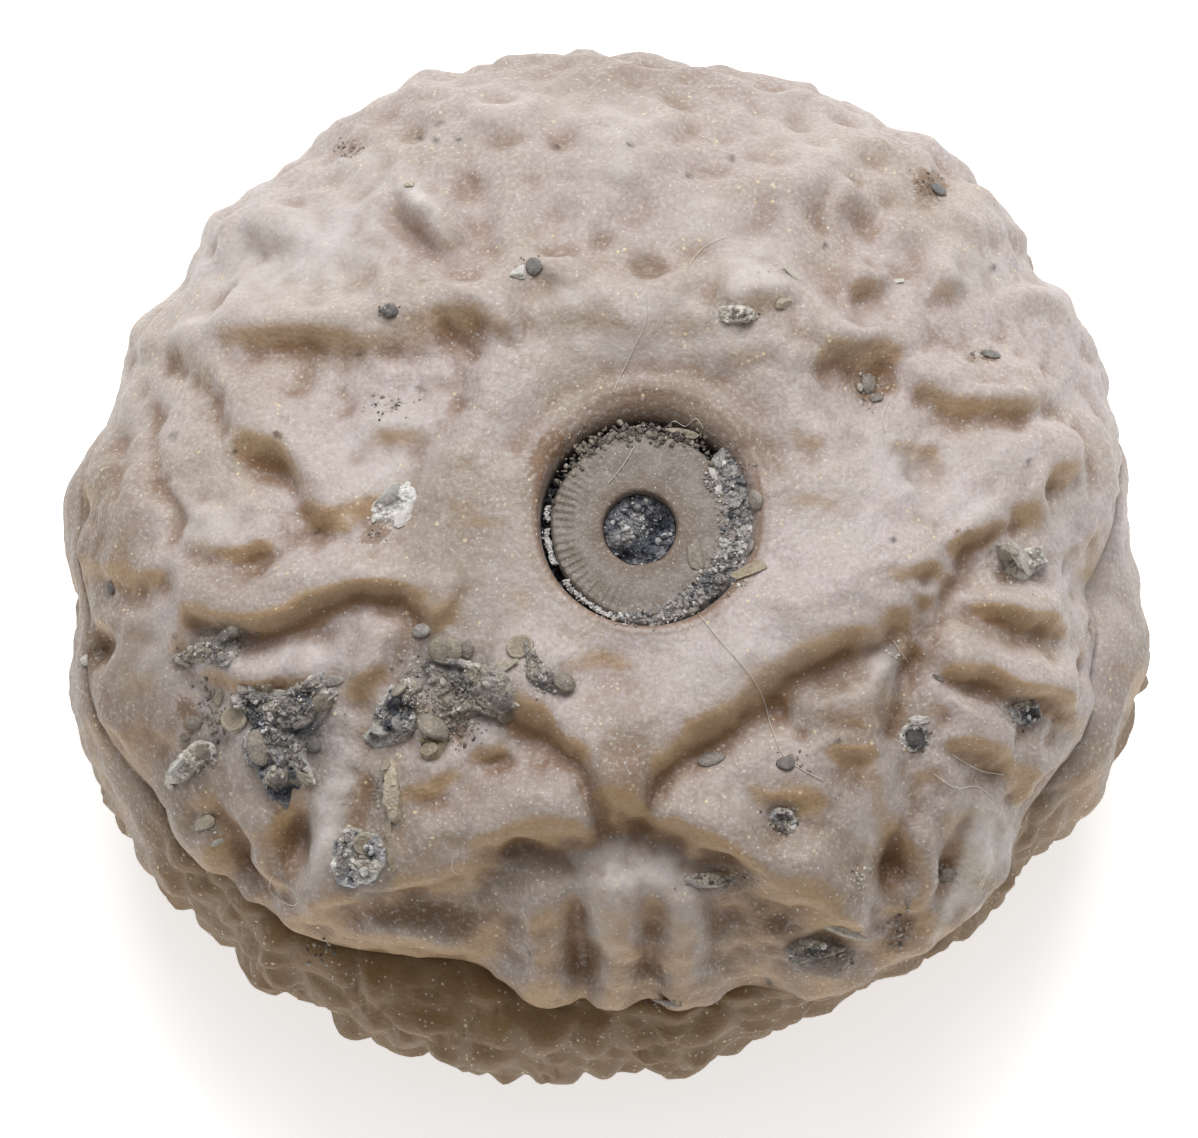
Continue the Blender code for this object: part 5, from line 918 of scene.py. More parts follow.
class Paint:
    """A material in the making. Every node of it comes from one method."""

    def __init__(self, name):
        self.material = bpy.data.materials.new(name)
        self.material.use_nodes = True
        self.tree = self.material.node_tree
        self.shader = self.tree.nodes["Principled BSDF"]

    def node(self, kind, settings=None, inputs=(), out=0):
        """Add a node: its settings first, then the values or links of its sockets."""
        node = self.tree.nodes.new(kind)
        for key, value in (settings or {}).items():
            if key == "stops":
                self.set_stops(node.color_ramp, value)
            else:
                setattr(node, key, value)
        pairs = inputs.items() if isinstance(inputs, dict) else enumerate(inputs)
        for key, value in pairs:
            self.feed(self.find(node.inputs, key), value)
        return Value(self, self.find(node.outputs, out))

    @staticmethod
    def set_stops(ramp, stops):
        """Give a colour ramp its stops: (place, colour)."""
        while len(ramp.elements) < len(stops):
            ramp.elements.new(1.0)
        for element, (place, colour) in zip(ramp.elements, stops):
            element.position = place
            element.color = (*linear(colour), 1.0)

    @staticmethod
    def find(sockets, key):
        """A socket by its number, its name or its identifier."""
        if isinstance(key, int):
            return sockets[key]
        return next(s for s in sockets if key in (s.identifier, s.name))

    def feed(self, socket, value):
        """Link a value to a socket, or set the socket to a plain number or colour."""
        if isinstance(value, Value):
            self.tree.links.new(value.socket, socket)
        elif socket.type == "RGBA":
            socket.default_value = (*linear(value), 1.0)
        else:
            socket.default_value = value

    def maths(self, operation, *values):
        return self.node("ShaderNodeMath", {"operation": operation}, values)

    def mix(self, factor, first, second, blend="MIX"):
        """Colour between two colours."""
        settings = {"data_type": "RGBA", "blend_type": blend, "clamp_factor": True}
        inputs = {"Factor_Float": factor, "A_Color": first, "B_Color": second}
        return self.node("ShaderNodeMix", settings, inputs, "Result_Color")

    def coats(self, colour, *coats):
        """A colour under others, one over the other: the share of each and its colour."""
        for share, tint in coats:
            colour = self.mix(share, colour, tint)
        return colour

    def between(self, value, low, high):
        """0 where the value is under low and 1 where it is over high, with an eased step."""
        settings = {"interpolation_type": "SMOOTHSTEP"}
        inputs = {"Value": value, "From Min": low, "From Max": high}
        return self.node("ShaderNodeMapRange", settings, inputs)

    def attribute(self, name):
        """A number that the mesh holds at each vertex."""
        return self.node("ShaderNodeAttribute", {"attribute_name": name}, out="Fac")

    def place(self):
        """The point on the object, in metres."""
        return self.node("ShaderNodeTexCoord", out="Object")

    def grain(self, size, detail=2.0, rough=0.5):
        """Noise with lumps of the given size in millimetres, about 0.5 on average."""
        inputs = {"Vector": self.place(), "Scale": 1 / (size * MM), "Detail": detail, "Roughness": rough}
        return self.node("ShaderNodeTexNoise", None, inputs)

    def specks(self, size, spacing, share):
        """1 on round specks: their size and spacing in millimetres, and the share of cells with one."""
        inputs = {"Vector": self.place(), "Scale": 1 / (spacing * MM)}
        gap = self.node("ShaderNodeTexVoronoi", None, inputs, "Distance")
        colour = Value(self, gap.socket.node.outputs["Color"])
        chance = self.node("ShaderNodeSeparateColor", None, {"Color": colour}, "Red")
        near = 1 - self.between(gap, 0.35 * size / spacing, 0.5 * size / spacing)
        return near * self.between(chance, 1 - share - 0.01, 1 - share)

    def bump(self, height, depth, before=None):
        """A surface roughened by a height between 0 and 1, with a depth in millimetres."""
        inputs = {"Height": height, "Distance": depth * MM}
        if before:
            inputs["Normal"] = before
        return self.node("ShaderNodeBump", None, inputs)

    def finish(self, **inputs):
        """Feed the shader's own sockets, with spaces for underscores, and give the material."""
        for key, value in inputs.items():
            self.feed(self.shader.inputs[key.replace("_", " ")], value)
        return self.material


def calcite_finish():
    """Waxy worn calcite: pinkish grey flats with painted shade (a brown cast, ochre on falls that face the
    front, umber in hollows and creases), whitish bloom that is partly painted highlight, and specks.
    """
    paint = Paint("worn_calcite")
    mottle = paint.grain(0.9, 3.0, 0.65)
    fine = paint.grain(0.13, 2.0, 0.65)
    patchy = mottle - 0.5
    dusty = mottle + fine - 1
    crest = paint.attribute("crest")
    roof = paint.attribute("roof")
    brown = paint.attribute("brown")
    # Painted shade: ochre where the surface falls towards the front, away from the lamp behind, and umber
    # where it falls steeply.
    fall = paint.attribute("fall") + patchy * 0.25
    ochre = paint.between(fall + brown * 0.13, 0.16, 0.7)
    high = paint.between(crest + patchy * 0.8, 0.25, 1.0)
    # Painted shade: umber in hollows below the local mean.
    low = paint.between(0 - crest + patchy * 0.5, 0.15, 1.3)
    film = paint.between(paint.attribute("film") + dusty * 0.6, 0.15, 0.8)
    stain = paint.between(paint.attribute("stain") + dusty * 0.7, 0.3, 0.75)
    bloom = paint.attribute("bloom") * paint.between(mottle + fine * 0.5, 0.5, 0.95)
    clean = (1 - ochre * 0.7) * (1 - roof * 0.8)
    flats = paint.between(paint.grain(4.0, 1.0) + patchy * 0.5, 0.42, 0.7)
    colour = paint.coats(
        paint.mix(flats, PINK_GREY, WARM_GREY),
        # Painted shade: the brown cast, turning to umber where it is strongest.
        (brown * (0.7 + mottle * 0.6), SHADE_BROWN),
        (paint.between(brown, 0.7, 1.5) * 0.9, UMBER_STAIN_AND_SHADE),
        (ochre * 0.85, FALL_SHADE_OCHRE),
        (high * (1 - ochre) * 0.3, WARM_GREY),
        (low * 0.32, UMBER_STAIN_AND_SHADE),
        (paint.between(fall, 0.4, 0.95) * 0.08, UMBER_STAIN_AND_SHADE),
        # Painted shade in creases.
        (paint.attribute("crease") * 0.6, CREASE_SHADE_BROWN),
        # Painted shade on the pit's wall, and a painted black shadow at its foot.
        (paint.attribute("wall") * 0.7, UMBER_STAIN_AND_SHADE),
        (paint.attribute("gap"), DARK_DOT_AND_SHADOW),
        # The roof's own brown, deepened as painted shade under the lip.
        (roof * 0.95, ROOF_BROWN_AND_SHADE),
        (paint.attribute("seam") * roof * 0.15, ROOF_SEAM),
        (paint.attribute("facet") * 0.75, FRACTURE_GREY),
        (film * 0.75, FILM_GREY),
        # Whitish bloom, partly painted highlight on ridges and flats facing the lamp.
        (bloom * 0.8, PALE_BLOOM_AND_HIGHLIGHT),
        # Stains, partly painted shade in hollows and at the pit's rim.
        (stain * 0.7, UMBER_STAIN_AND_SHADE),
        (paint.between(fine, 0.45, 0.75) * 0.25, UMBER_STAIN_AND_SHADE),
        ((1 - paint.between(fine, 0.25, 0.5)) * clean * 0.35, PALE_BLOOM_AND_HIGHLIGHT),
        (paint.specks(0.075, 0.18, 0.3) * 0.65, PALE_BLOOM_AND_HIGHLIGHT),
        (paint.specks(0.11, 0.22, 0.5) * paint.between(mottle, 0.5, 0.64) * 0.8, CREAM_SPECK),
        (paint.specks(0.14, 0.8, 0.15) * 0.6, CREAM_SPECK),
        (paint.attribute("dots") * 0.85, DARK_DOT_AND_SHADOW))
    return paint.finish(
        Base_Color=colour,
        Roughness=0.48 + (fine - 0.5) * 0.25 + bloom * 0.25 + stain * 0.1,
        Normal=paint.bump(fine * 0.6 + paint.grain(0.35, 2.0) * 0.8, 0.05),
        IOR=1.5,
        Specular_IOR_Level=0.35,
        Subsurface_Weight=0.12,
        Subsurface_Radius=(1.0, 0.65, 0.4),
        Subsurface_Scale=0.0005,
    )


def stem_finish():
    """Dull grey-brown calcite of the stem disc, with painted shade in the grooves of its rim and round the
    canal's mouth.
    """
    paint = Paint("stem_disc_calcite")
    mottle = paint.grain(0.5, 4.0, 0.6)
    fine = paint.grain(0.09, 3.0, 0.6)
    colour = paint.coats(
        paint.mix(paint.between(mottle, 0.35, 0.65), (146, 137, 130), (128, 116, 105)),
        # Painted shade in the crenulae's grooves and round the canal's mouth.
        (paint.attribute("groove") * 0.35, (112, 98, 82)),
        (paint.attribute("inner") * 0.6, (122, 102, 84)),
        (paint.between(fine, 0.5, 0.7) * 0.4, (196, 190, 182)),
        ((1 - paint.between(fine, 0.3, 0.45)) * 0.3, (104, 92, 80)),
        (paint.specks(0.05, 0.16, 0.35) * 0.7, (228, 224, 216)))
    roughness = 0.6 + (fine - 0.5) * 0.3
    return paint.finish(Base_Color=colour, Roughness=roughness, Normal=paint.bump(fine + mottle * 0.8, 0.03))


def rubble_finish(name, tint, tint_share):
    """Crumbly matrix. Each grain's tone runs from 0, black, to 1, white, and from cool to warm."""
    paint = Paint(name)
    fine = paint.grain(0.09, 3.0, 0.65)
    mottle = paint.grain(0.3, 3.0, 0.6)
    tone = paint.attribute("tone") + (fine - 0.5) * 0.6 + (mottle - 0.5) * 0.4
    warmth = paint.attribute("warmth") + (mottle - 0.5) * 0.8
    cool = paint.node("ShaderNodeValToRGB", {"stops": COOL_TONES}, {"Fac": tone}, "Color")
    warm = paint.node("ShaderNodeValToRGB", {"stops": WARM_TONES}, {"Fac": tone}, "Color")
    # Painted glints: white specks that stand in for crystal faces catching the light, also made glossier.
    painted_glint = paint.specks(0.05, 0.16, 0.2)
    colour = paint.coats(cool, (warmth, warm), (tint_share, tint), (painted_glint * 0.8, PAINTED_GLINT_WHITE))
    roughness = 0.6 - painted_glint * 0.4 + (fine - 0.5) * 0.3
    height = fine + paint.grain(0.04, 2.0) * 0.5
    return paint.finish(Base_Color=colour, Roughness=roughness, Normal=paint.bump(height, 0.04))


def fibre_finish():
    """Pale dust fibre."""
    paint = Paint("dust_fibre")
    worn = paint.grain(0.2, 2.0)
    colour = paint.mix(worn, (206, 198, 186), (232, 228, 220))
    return paint.finish(Base_Color=colour, Roughness=0.6 + worn * 0.1, Normal=paint.bump(worn, 0.003))


# ---------------- meshes
def link(name, data):
    """An object with the data, in the scene."""
    obj = bpy.data.objects.new(name, data)
    bpy.context.scene.collection.objects.link(obj)
    return obj


def make_object(name, vertices, faces, material, is_smooth=True, **numbers):
    """An object from vertices in millimetres, with named numbers at its vertices."""
    mesh = bpy.data.meshes.new(name)
    mesh.from_pydata((np.asarray(vertices) * MM).tolist(), [], faces)
    mesh.polygons.foreach_set("use_smooth", np.broadcast_to(is_smooth, len(faces)).tolist())
    mesh.validate()
    for key, values in numbers.items():
        layer = mesh.attributes.new(key, "FLOAT", "POINT")
        layer.data.foreach_set("value", np.asarray(values, np.float32).ravel())
    mesh.materials.append(material)
    return link(name, mesh)


def settle(piece, slot, *nodes):
    """Tie a piece to the part: it rides on it and stands for the nodes, whose parts are hidden. The slot is
    not used.
    """
    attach(piece, "root")
    if nodes:
        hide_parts(*nodes)
    return piece


def sheet_of(points):
    """Sheet coordinates (u, v) of points in space, in millimetres."""
    lean = sin(SHEET_LEAN)
    rise = cos(SHEET_LEAN)
    return points[..., 0], points[..., 1] * lean + (points[..., 2] - FACET_Z) * rise


def sheet_point(u, v):
    """The point in space at (u, v) on the sheet, in millimetres."""
    return Vector((u, 0.0, FACET_Z)) + SHEET_UP * v


def level_outline(outline, level, bearings):
    """Distance from the stem axis to an outline drawn on the sheet, at a level and each bearing."""
    path = round_path(outline + outline[:1])
    x = path[:, 0]
    y = (path[:, 1] - (level - FACET_Z) * cos(SHEET_LEAN)) / sin(SHEET_LEAN)
    turn = np.arctan2(y, x)
    order = np.argsort(turn)
    return np.interp(bearings, turn[order], np.hypot(x, y)[order], period=tau)


def small_plates(points, size=1.5):
    """Height of the small convex plates of the roof: 0 in their seams, about 1 in their middles."""
    flat = points.reshape(-1, 3)
    out = np.empty(len(flat))
    for i, p in enumerate(flat.tolist()):
        near, second = noise.voronoi(Vector(p) / size)[0][:2]
        out[i] = second - near
    return np.minimum(1.0, 2.2 * out).reshape(points.shape[:-1])


def dome_z(s, lip_z):
    """Height of the plain dome at the fraction s of the way from the stem axis to the lip."""
    return TOP_Z - (TOP_Z - lip_z) * (1 - (1 - np.clip(s, 0, 1) ** 2.6) ** 0.6)


def raise_wall(rings, first_dome):
    """Stretch the wall of the pit up to the dome's first ring."""
    floor_z = TOP_Z - PIT_DEPTH
    share = (rings[1:first_dome, :, 2] - floor_z) / (rings[first_dome - 1, :, 2] - floor_z)
    rings[1:first_dome, :, 2] = floor_z + share * (rings[first_dome, :, 2] - 0.06 - floor_z)


def front_share(bearings):
    """1 at the bearings where the roof shows under the lip in front, and 0 at the sides and back."""
    return smooth((-np.sin(bearings) - 0.35) / 0.25)


def quarter_turns(count):
    """Angles that part a quarter turn evenly, from the first after 0 up to the whole."""
    return [k / count * pi / 2 for k in range(1, count + 1)]


def cup_widths(bearings):
    """Distance of the pit's rim, the lip and the girth from the stem axis, and the lip's level."""
    right = np.clip(np.cos(bearings), 0, 1)
    back = np.clip(np.sin(bearings), 0, 1)
    rim = PIT_FLOOR_R + RIM_OUT + RIM_OUT_RIGHT * right + RIM_OUT_BACK * back ** 1.5
    behind = smooth((np.sin(bearings) - 0.1) / 0.35)
    lip = level_outline(LIP_OUTLINE, LEDGE_Z, bearings) * (1 - behind)
    lip += level_outline(GIRTH_OUTLINE, BACK_LIP_Z, bearings) * behind
    girth = level_outline(GIRTH_OUTLINE, GIRTH_Z, bearings) * 0.99 * (1 - behind)
    girth += (lip + 0.1) * behind
    return rim, lip, girth, LEDGE_Z + (BACK_LIP_Z - LEDGE_Z) * behind


def cup_rings():
    """Rings of points from the pit's floor, over the lip, to the resting face, and the dome's place."""
    bearings = round_bearings(SECTORS)
    rim, lip, girth, lip_z = cup_widths(bearings)
    floor_z = TOP_Z - PIT_DEPTH
    rings = [ring_points(PIT_FLOOR_R, bearings, floor_z)]
    for a in quarter_turns(PIT_WALL_RINGS):
        radius = PIT_FLOOR_R + (rim - PIT_FLOOR_R) * (1 - cos(a))
        rings.append(ring_points(radius, bearings, floor_z + (PIT_DEPTH - 0.05) * sin(a)))
    dome = slice(len(rings), len(rings) + DOME_RINGS)
    plain_lip = softened(lip[None], LIP_EASE)[0]
    for k in range(1, DOME_RINGS + 1):
        t = k / DOME_RINGS
        edge = plain_lip + (lip - plain_lip) * smooth((t - SCALLOP_START) / (1 - SCALLOP_START))
        radius = rim + (edge - rim) * (1 - (1 - t) ** 1.15)
        rings.append(ring_points(radius, bearings, dome_z(radius / edge, lip_z)))
    notch_in = NOTCH_IN * front_share(bearings)
    for a in quarter_turns(LIP_RINGS + 1):
        radius = lip - notch_in * (1 - cos(a))
        rings.append(ring_points(radius, bearings, lip_z - NOTCH_DROP * sin(a)))
    shelf = rings[-1]
    widest = ring_points(girth, bearings, GIRTH_Z)
    rest = ring_points(REST_R, bearings, 0.0) + (*REST_CENTRE, 0.0)
    for a in quarter_turns(FLANK_RINGS):
        rings.append(shelf + (widest - shelf) * (sin(a), sin(a), 1 - cos(a)))
    for a in quarter_turns(BELLY_RINGS):
        rings.append(widest + (rest - widest) * (1 - cos(a), 1 - cos(a), sin(a)))
    return np.array(rings), dome


def outward(rings):
    """Unit normals of a grid of rings that wraps round in its second direction."""
    across = np.gradient(rings, axis=0)
    around = np.roll(rings, -1, axis=1) - np.roll(rings, 1, axis=1)
    return normalised(np.cross(across, around))


def softened(field, passes):
    """A grid field with each value averaged with its neighbours, a few times over."""
    for _ in range(passes):
        field = 0.5 * field + 0.25 * (np.roll(field, 1, axis=1) + np.roll(field, -1, axis=1))
        edged = np.pad(field, ((1, 1), (0, 0)), mode="edge")
        field = 0.5 * field + 0.25 * (edged[:-2] + edged[2:])
    return field


def local_mean(field, rings, reach):
    """Mean of a grid field over the reach, in millimetres, along and across the rings."""
    across = np.empty_like(field)
    for i, r in enumerate(np.hypot(rings[..., 0], rings[..., 1]).mean(axis=1)):
        cells = max(1, round(reach * SECTORS / (tau * r)))
        wrapped = np.concatenate([field[i, -cells:], field[i], field[i, :cells]])
        total = np.concatenate([[0.0], np.cumsum(wrapped)])
        across[i] = (total[2 * cells + 1:] - total[:-2 * cells - 1]) / (2 * cells + 1)
    down = max(1, round(reach / RING_STEP))
    edged = np.pad(across, ((down + 1, down), (0, 0)), mode="edge")
    total = np.cumsum(edged, axis=0)
    return (total[2 * down + 1:] - total[:-2 * down - 1]) / (2 * down + 1)


def undulation(points, u, v):
    """Uneven growth and wear of the dome, in millimetres. The middle platform is the calmest."""
    far = 0.35 + 0.65 * smooth((np.hypot(u, v) - 4.0) / 4.0)
    back = smooth((v - 4.5) / 3.0)
    small = (1 - 0.5 * back) * rough(points, SMALL_LUMPS)
    return far * (rough(points, LUMPS) + small) + back * rough(points, BACK_KNOBS)


def dome_normals(plain, dome):
    """Unit normals of the plain cup, eased over its dome, and upright at the rim of the pit."""
    normal = outward(plain)
    eased = [softened(normal[dome, :, k], NORMAL_EASE) for k in range(3)]
    normal[dome] = normalised(np.stack(eased, axis=-1))
    normal[dome.start:dome.start + 3] = (0.0, 0.0, 1.0)
    return normal


def dome_height(plain, normal, dome):
    """Height of the relief over the plain cup, in millimetres, with its highest crests worn off."""
    rings = plain.copy()
    height = np.zeros(plain.shape[:2])
    for _ in range(2):
        height[dome] = softened(relief(*sheet_of(rings[dome])), 2)
        rings[dome] = plain[dome] + normal[dome] * softened(height[dome], 12)[..., None]
    ease = np.ones(DOME_RINGS)
    ease[:RIM_EASE] = np.linspace(0, 1, RIM_EASE)
    height[dome] += undulation(plain[dome], *sheet_of(rings[dome])) * ease[:, None]
    crown = (height - local_mean(height, rings, CREST_REACH))[dome]
    height[dome] -= CREST_WEAR * np.maximum(crown - CREST_RISE, 0.0)
    return height


def carved_cup():
    """The cup's rings with their relief, its heights, plates and roof, and where its dome lies."""
    plain, dome = cup_rings()
    normal = dome_normals(plain, dome)
    height = dome_height(plain, normal, dome)
    flank = slice(dome.stop + LIP_RINGS + 1, len(plain) - 1)
    side = plain[flank]
    roof = np.zeros(height.shape)
    roof[dome.stop:] = front_share(np.arctan2(side[0, :, 1], side[0, :, 0]))
    seam_z = GIRTH_Z + SEAM_RISE + rough(side, SEAM_WANDER)
    roof[flank] = np.maximum(roof[flank], smooth((seam_z - side[..., 2]) / 2.0))
    plates = np.ones(height.shape)
    plates[flank] = small_plates(side)
    fade = np.sin(np.linspace(0.05, 1, len(side)) * pi) ** 0.5
    bulge = PLATE_BULGE * plates[flank] ** 0.8 - 0.28 + 0.1 * wobble(side, 0.7)
    wall = rough(side, WALL_LUMPS)
    height[flank] = (wall + (bulge - wall) * roof[flank]) * fade[:, None]
    rings = plain + normal * height[..., None]
    raise_wall(rings, dome.start)
    return rings, height, plates, roof, dome


def ring_faces(ring_count, sectors):
    """Triangles between rings of vertices that run from the top inwards and down to the base."""
    faces = []
    for i in range(ring_count - 1):
        for j in range(sectors):
            a = i * sectors + j
            b = i * sectors + (j + 1) % sectors
            faces.append((a, a + sectors, b + sectors))
            faces.append((a, b + sectors, b))
    return faces


def closed_rings(rings):
    """Vertices and faces of a closed body from rings, with its top and bottom middles last."""
    count, sectors = rings.shape[:2]
    vertices = np.concatenate([rings.reshape(-1, 3), [rings[0].mean(axis=0)], [rings[-1].mean(axis=0)]])
    faces = ring_faces(count, sectors)
    top = count * sectors
    last = top - sectors
    for j in range(sectors):
        k = (j + 1) % sectors
        faces.append((top, j, k))
        faces.append((top + 1, last + k, last + j))
    return vertices, faces


def wear_fields(rings, height, normal, u, v):
    """Crests and hollows, creases, and falls that face the front, away from the lamp: hollows, creases and
    falls carry painted shade.
    """
    calm = 1 - 0.35 * smooth((v - 5.0) / 2.0)
    crest = np.clip((height - local_mean(height, rings, 0.9)) / 0.25, -1, 1)
    # Creases below the local mean: the mask for painted shade.
    crease = np.clip((local_mean(height, rings, 0.4) - height) / 0.09 - 0.3, 0, 1)
    tilt = softened(-normal[..., 1], 3)
    # How far a fall faces the front, away from the lamp: the mask for painted shade.
    fall = np.clip(1.15 * (tilt - local_mean(tilt, rings, 1.6)) + 0.3 * tilt, 0, 1)
    fall *= (1 - 0.45 * smooth(v / 4.5)) * (1 - 0.4 * smooth((v - 5.9) / 1.5))
    fall *= smooth((np.hypot(u, v) - 3.1) / 0.9)
    return {"crest": crest * calm, "crease": crease * calm, "fall": fall}


def pit_fields(normal, dome):
    """Painted shade on the wall of the pit, browner where it faces the front, and a painted black shadow at
    its foot.
    """
    wall = np.zeros(normal.shape[:2])
    # Painted shade on the pit's wall, strongest where it faces the front.
    wall[1:dome.start + 2] = 0.4 + 0.6 * np.clip(-normal[1:dome.start + 2, :, 1], 0, 1)
    gap = np.zeros(normal.shape[:2])
    # Painted black shadow over the lower half of the pit's wall.
    gap[:dome.start] = smooth((0.5 - np.linspace(0, 1, dome.start)) / 0.3)[:, None]
    return {"wall": wall, "gap": gap}


def pale_face(u, v):
    """1 on the pale broken face, easing to 0 at its edge."""
    path = round_path(PALE_FACE + PALE_FACE[:1])
    depth = np.abs(along_path(path, u.ravel(), v.ravel())[0])
    inside = within(path, u.ravel(), v.ravel())
    return np.where(inside, smooth(depth / 0.2), 0.0).reshape(u.shape)


def cover_fields(rings, u, v, on_top):
    """Bloom that is partly painted highlight, a brown cast of painted shade, stains that are partly painted
    shade, film, dots and the pale face. They lie on the upper side.
    """
    # Painted shade: a brown cast that grows towards the front and on the steep sides.
    front = 0.75 * smooth((-3.0 - v) / 6.5) * (1 + 0.5 * wobble(rings, 1.8))
    sides = smooth((np.hypot(u, v * 1.12) - 12.6) / 2.0) * smooth((5.0 - v) / 4.0)
    fields = {
        "bloom": patches(BLOOMS_AND_HIGHLIGHTS, u, v),
        "brown": np.maximum(patches(BROWNS_AND_SHADE, u, v, 1.0), front),
        "stain": patches(STAINS_AND_SHADE, u, v),
        "film": patches(FILMS, u, v),
        "facet": pale_face(u, v),
        "dots": patches([(*dot, 0.09, 0.08, 0, 1.0) for dot in DOTS], u, v),
    }
    fields = {key: np.where(on_top, field, 0.0) for key, field in fields.items()}
    fields["bloom"][~on_top] = 0.05
    fields["brown"] = np.maximum(fields["brown"], 0.95 * sides)
    return fields


def make_cup():
    """The calyx, with what its colours need to know at each vertex."""
    rings, height, plates, roof, dome = carved_cup()
    normal = outward(rings)
    u, v = sheet_of(rings)
    fields = {
        **wear_fields(rings, height, normal, u, v),
        **pit_fields(normal, dome),
        **cover_fields(rings, u, v, roof < 0.5),
        "roof": roof,
        "seam": 1 - plates,
    }
    low = np.array(cad_box[0]) / MM
    high = np.array(cad_box[1]) / MM
    vertices, faces = closed_rings(np.clip(rings, low, high))
    numbers = {key: np.append(field.ravel(), (field[0, 0], field[-1, 0])) for key, field in fields.items()}
    cup = make_object("cup_of_fused_plates", vertices, faces, calcite_finish(), **numbers)
    return settle(cup, "calcite", "calyx")


def disc_profile():
    """Distance from the stem axis and level, from the canal's foot over the face to the rim's foot."""
    low = FACET_Z - DISC_THICK
    mouth = [(LUMEN_R, low), (LUMEN_R, FACET_Z - 0.25), (LUMEN_R + 0.03, FACET_Z - 0.14)]
    face = [(r, FACET_Z - 0.05 * exp(-(r - LUMEN_R) / 0.12)) for r in np.linspace(1.04, 2.5, 20)]
    edge = [(DISC_R - 0.05, FACET_Z - 0.02), (DISC_R, FACET_Z - 0.1), (DISC_R, low)]
    return np.array(mouth + face + edge)


def make_stem_disc():
    """The last disc of the stem: a canal, a smooth inner ring, and radial ridges to its rim."""
    sectors = CRENULA_COUNT * 8
    bearings = round_bearings(sectors)
    profile = disc_profile()
    radius = profile[:, :1]
    rings = ring_points(radius, bearings, profile[:, 1:])
    clear = 0.15 + 0.85 * smooth((np.cos(bearings - CLEAR_BEARING) - 0.1) / 0.6)
    worn = clear * (0.7 + 0.6 * wobble(rings, 0.9))
    uneven = 1 + 0.03 * wobble(ring_points(1.0, bearings, 0.0), 0.5)
    wave = np.cos(CRENULA_COUNT * bearings + 0.35 * wobble(rings, 0.8))
    ridge = np.sign(wave) * np.abs(wave) ** 0.7
    on_rim = smooth((radius - CRENULA_INNER_R) / 0.18) * (profile[:, 1:] > FACET_Z - 0.12)
    rings[..., 2] += CRENULA_RISE * ridge * worn * on_rim
    rings[3:-1, :, 2] += 0.03 * wobble(rings[3:-1], 0.7) + 0.015 * wobble(rings[3:-1], 0.2)
    rings[..., :2] *= np.where((radius < 1.1) | (radius > 2.4), uneven, 1.0)[..., None]
    rings[..., :2] += np.array(CANAL_SHIFT) * (1 - smooth((radius - 1.0) / 1.2))[..., None]
    rings[..., 2] = np.minimum(rings[..., 2], FACET_Z + 0.09)
    # Painted shade in the grooves between the crenulae, and round the canal's mouth.
    groove = np.clip(0.5 - 0.5 * ridge, 0, 1) * on_rim * np.clip(worn, 0, 1)
    inner = np.broadcast_to(1 - smooth((radius - 1.15) / 0.5), groove.shape)
    total = len(profile) * sectors
    faces = [tuple(i % total for i in face) for face in ring_faces(len(profile) + 1, sectors)]
    disc = make_object("stem_disc", rings.reshape(-1, 3), faces, stem_finish(), groove=groove, inner=inner)
    return settle(disc, "stem_calcite", "stem_columnal")


# ---------------- crumbs
def round_body(subdivisions):
    """Vertices and faces of a ball of radius 1."""
    ball = bmesh.new()
    bmesh.ops.create_icosphere(ball, subdivisions=subdivisions, radius=1.0)
    vertices = np.array([v.co[:] for v in ball.verts])
    faces = [tuple(v.index for v in f.verts) for f in ball.faces]
    ball.free()
    return vertices, faces


TINY_BALL = round_body(1)
SMALL_BALL = round_body(2)
LARGE_BALL = round_body(3)


class Heap:
    """Small closed bodies gathered into one mesh, each with its tone and warmth."""

    def __init__(self):
        self.vertices = []
        self.faces = []
        self.tones = []
        self.warmths = []
        self.smooths = []
        self.count = 0

    def add(self, vertices, faces, tone, warmth=0.5, is_smooth=False):
        """Add one body. Tone and warmth are one number each, or one for each vertex."""
        self.faces += [tuple(i + self.count for i in face) for face in faces]
        self.vertices.append(vertices)
        self.tones.append(np.broadcast_to(tone, len(vertices)))
        self.warmths.append(np.broadcast_to(warmth, len(vertices)))
        self.smooths.append(np.broadcast_to(is_smooth, len(faces)))
        self.count += len(vertices)

    def make(self, name, material):
        """The heap as one object."""
        vertices = np.concatenate(self.vertices)
        numbers = {"tone": np.concatenate(self.tones), "warmth": np.concatenate(self.warmths)}
        return make_object(name, vertices, self.faces, material, np.concatenate(self.smooths), **numbers)


def turned_to(normal, turn):
    """Rotation that takes up to a normal, after a turn about it in degrees."""
    tilt = Vector((0, 0, 1)).rotation_difference(Vector(normal)).to_matrix()
    return np.array(tilt @ Matrix.Rotation(radians(turn), 3, "Z"))


def grain_shape(rng, cuts, ball):
    """A ball of radius 1 cut by flats in chance directions."""
    points = ball[0].copy()
    for _ in range(cuts):
        direction = rng.normal(size=3)
        direction /= np.linalg.norm(direction)
        over = np.clip(points @ direction - rng.uniform(0.5, 0.85), 0, None)
        points -= np.outer(over, direction)
    return points


def rough_stone(rng, roughness):
    """An angular stone of radius 1 with a rough skin."""
    points = grain_shape(rng, 9, LARGE_BALL)
    return points * (1 + roughness * wobble(points + rng.uniform(0, 30), 0.5))[:, None]


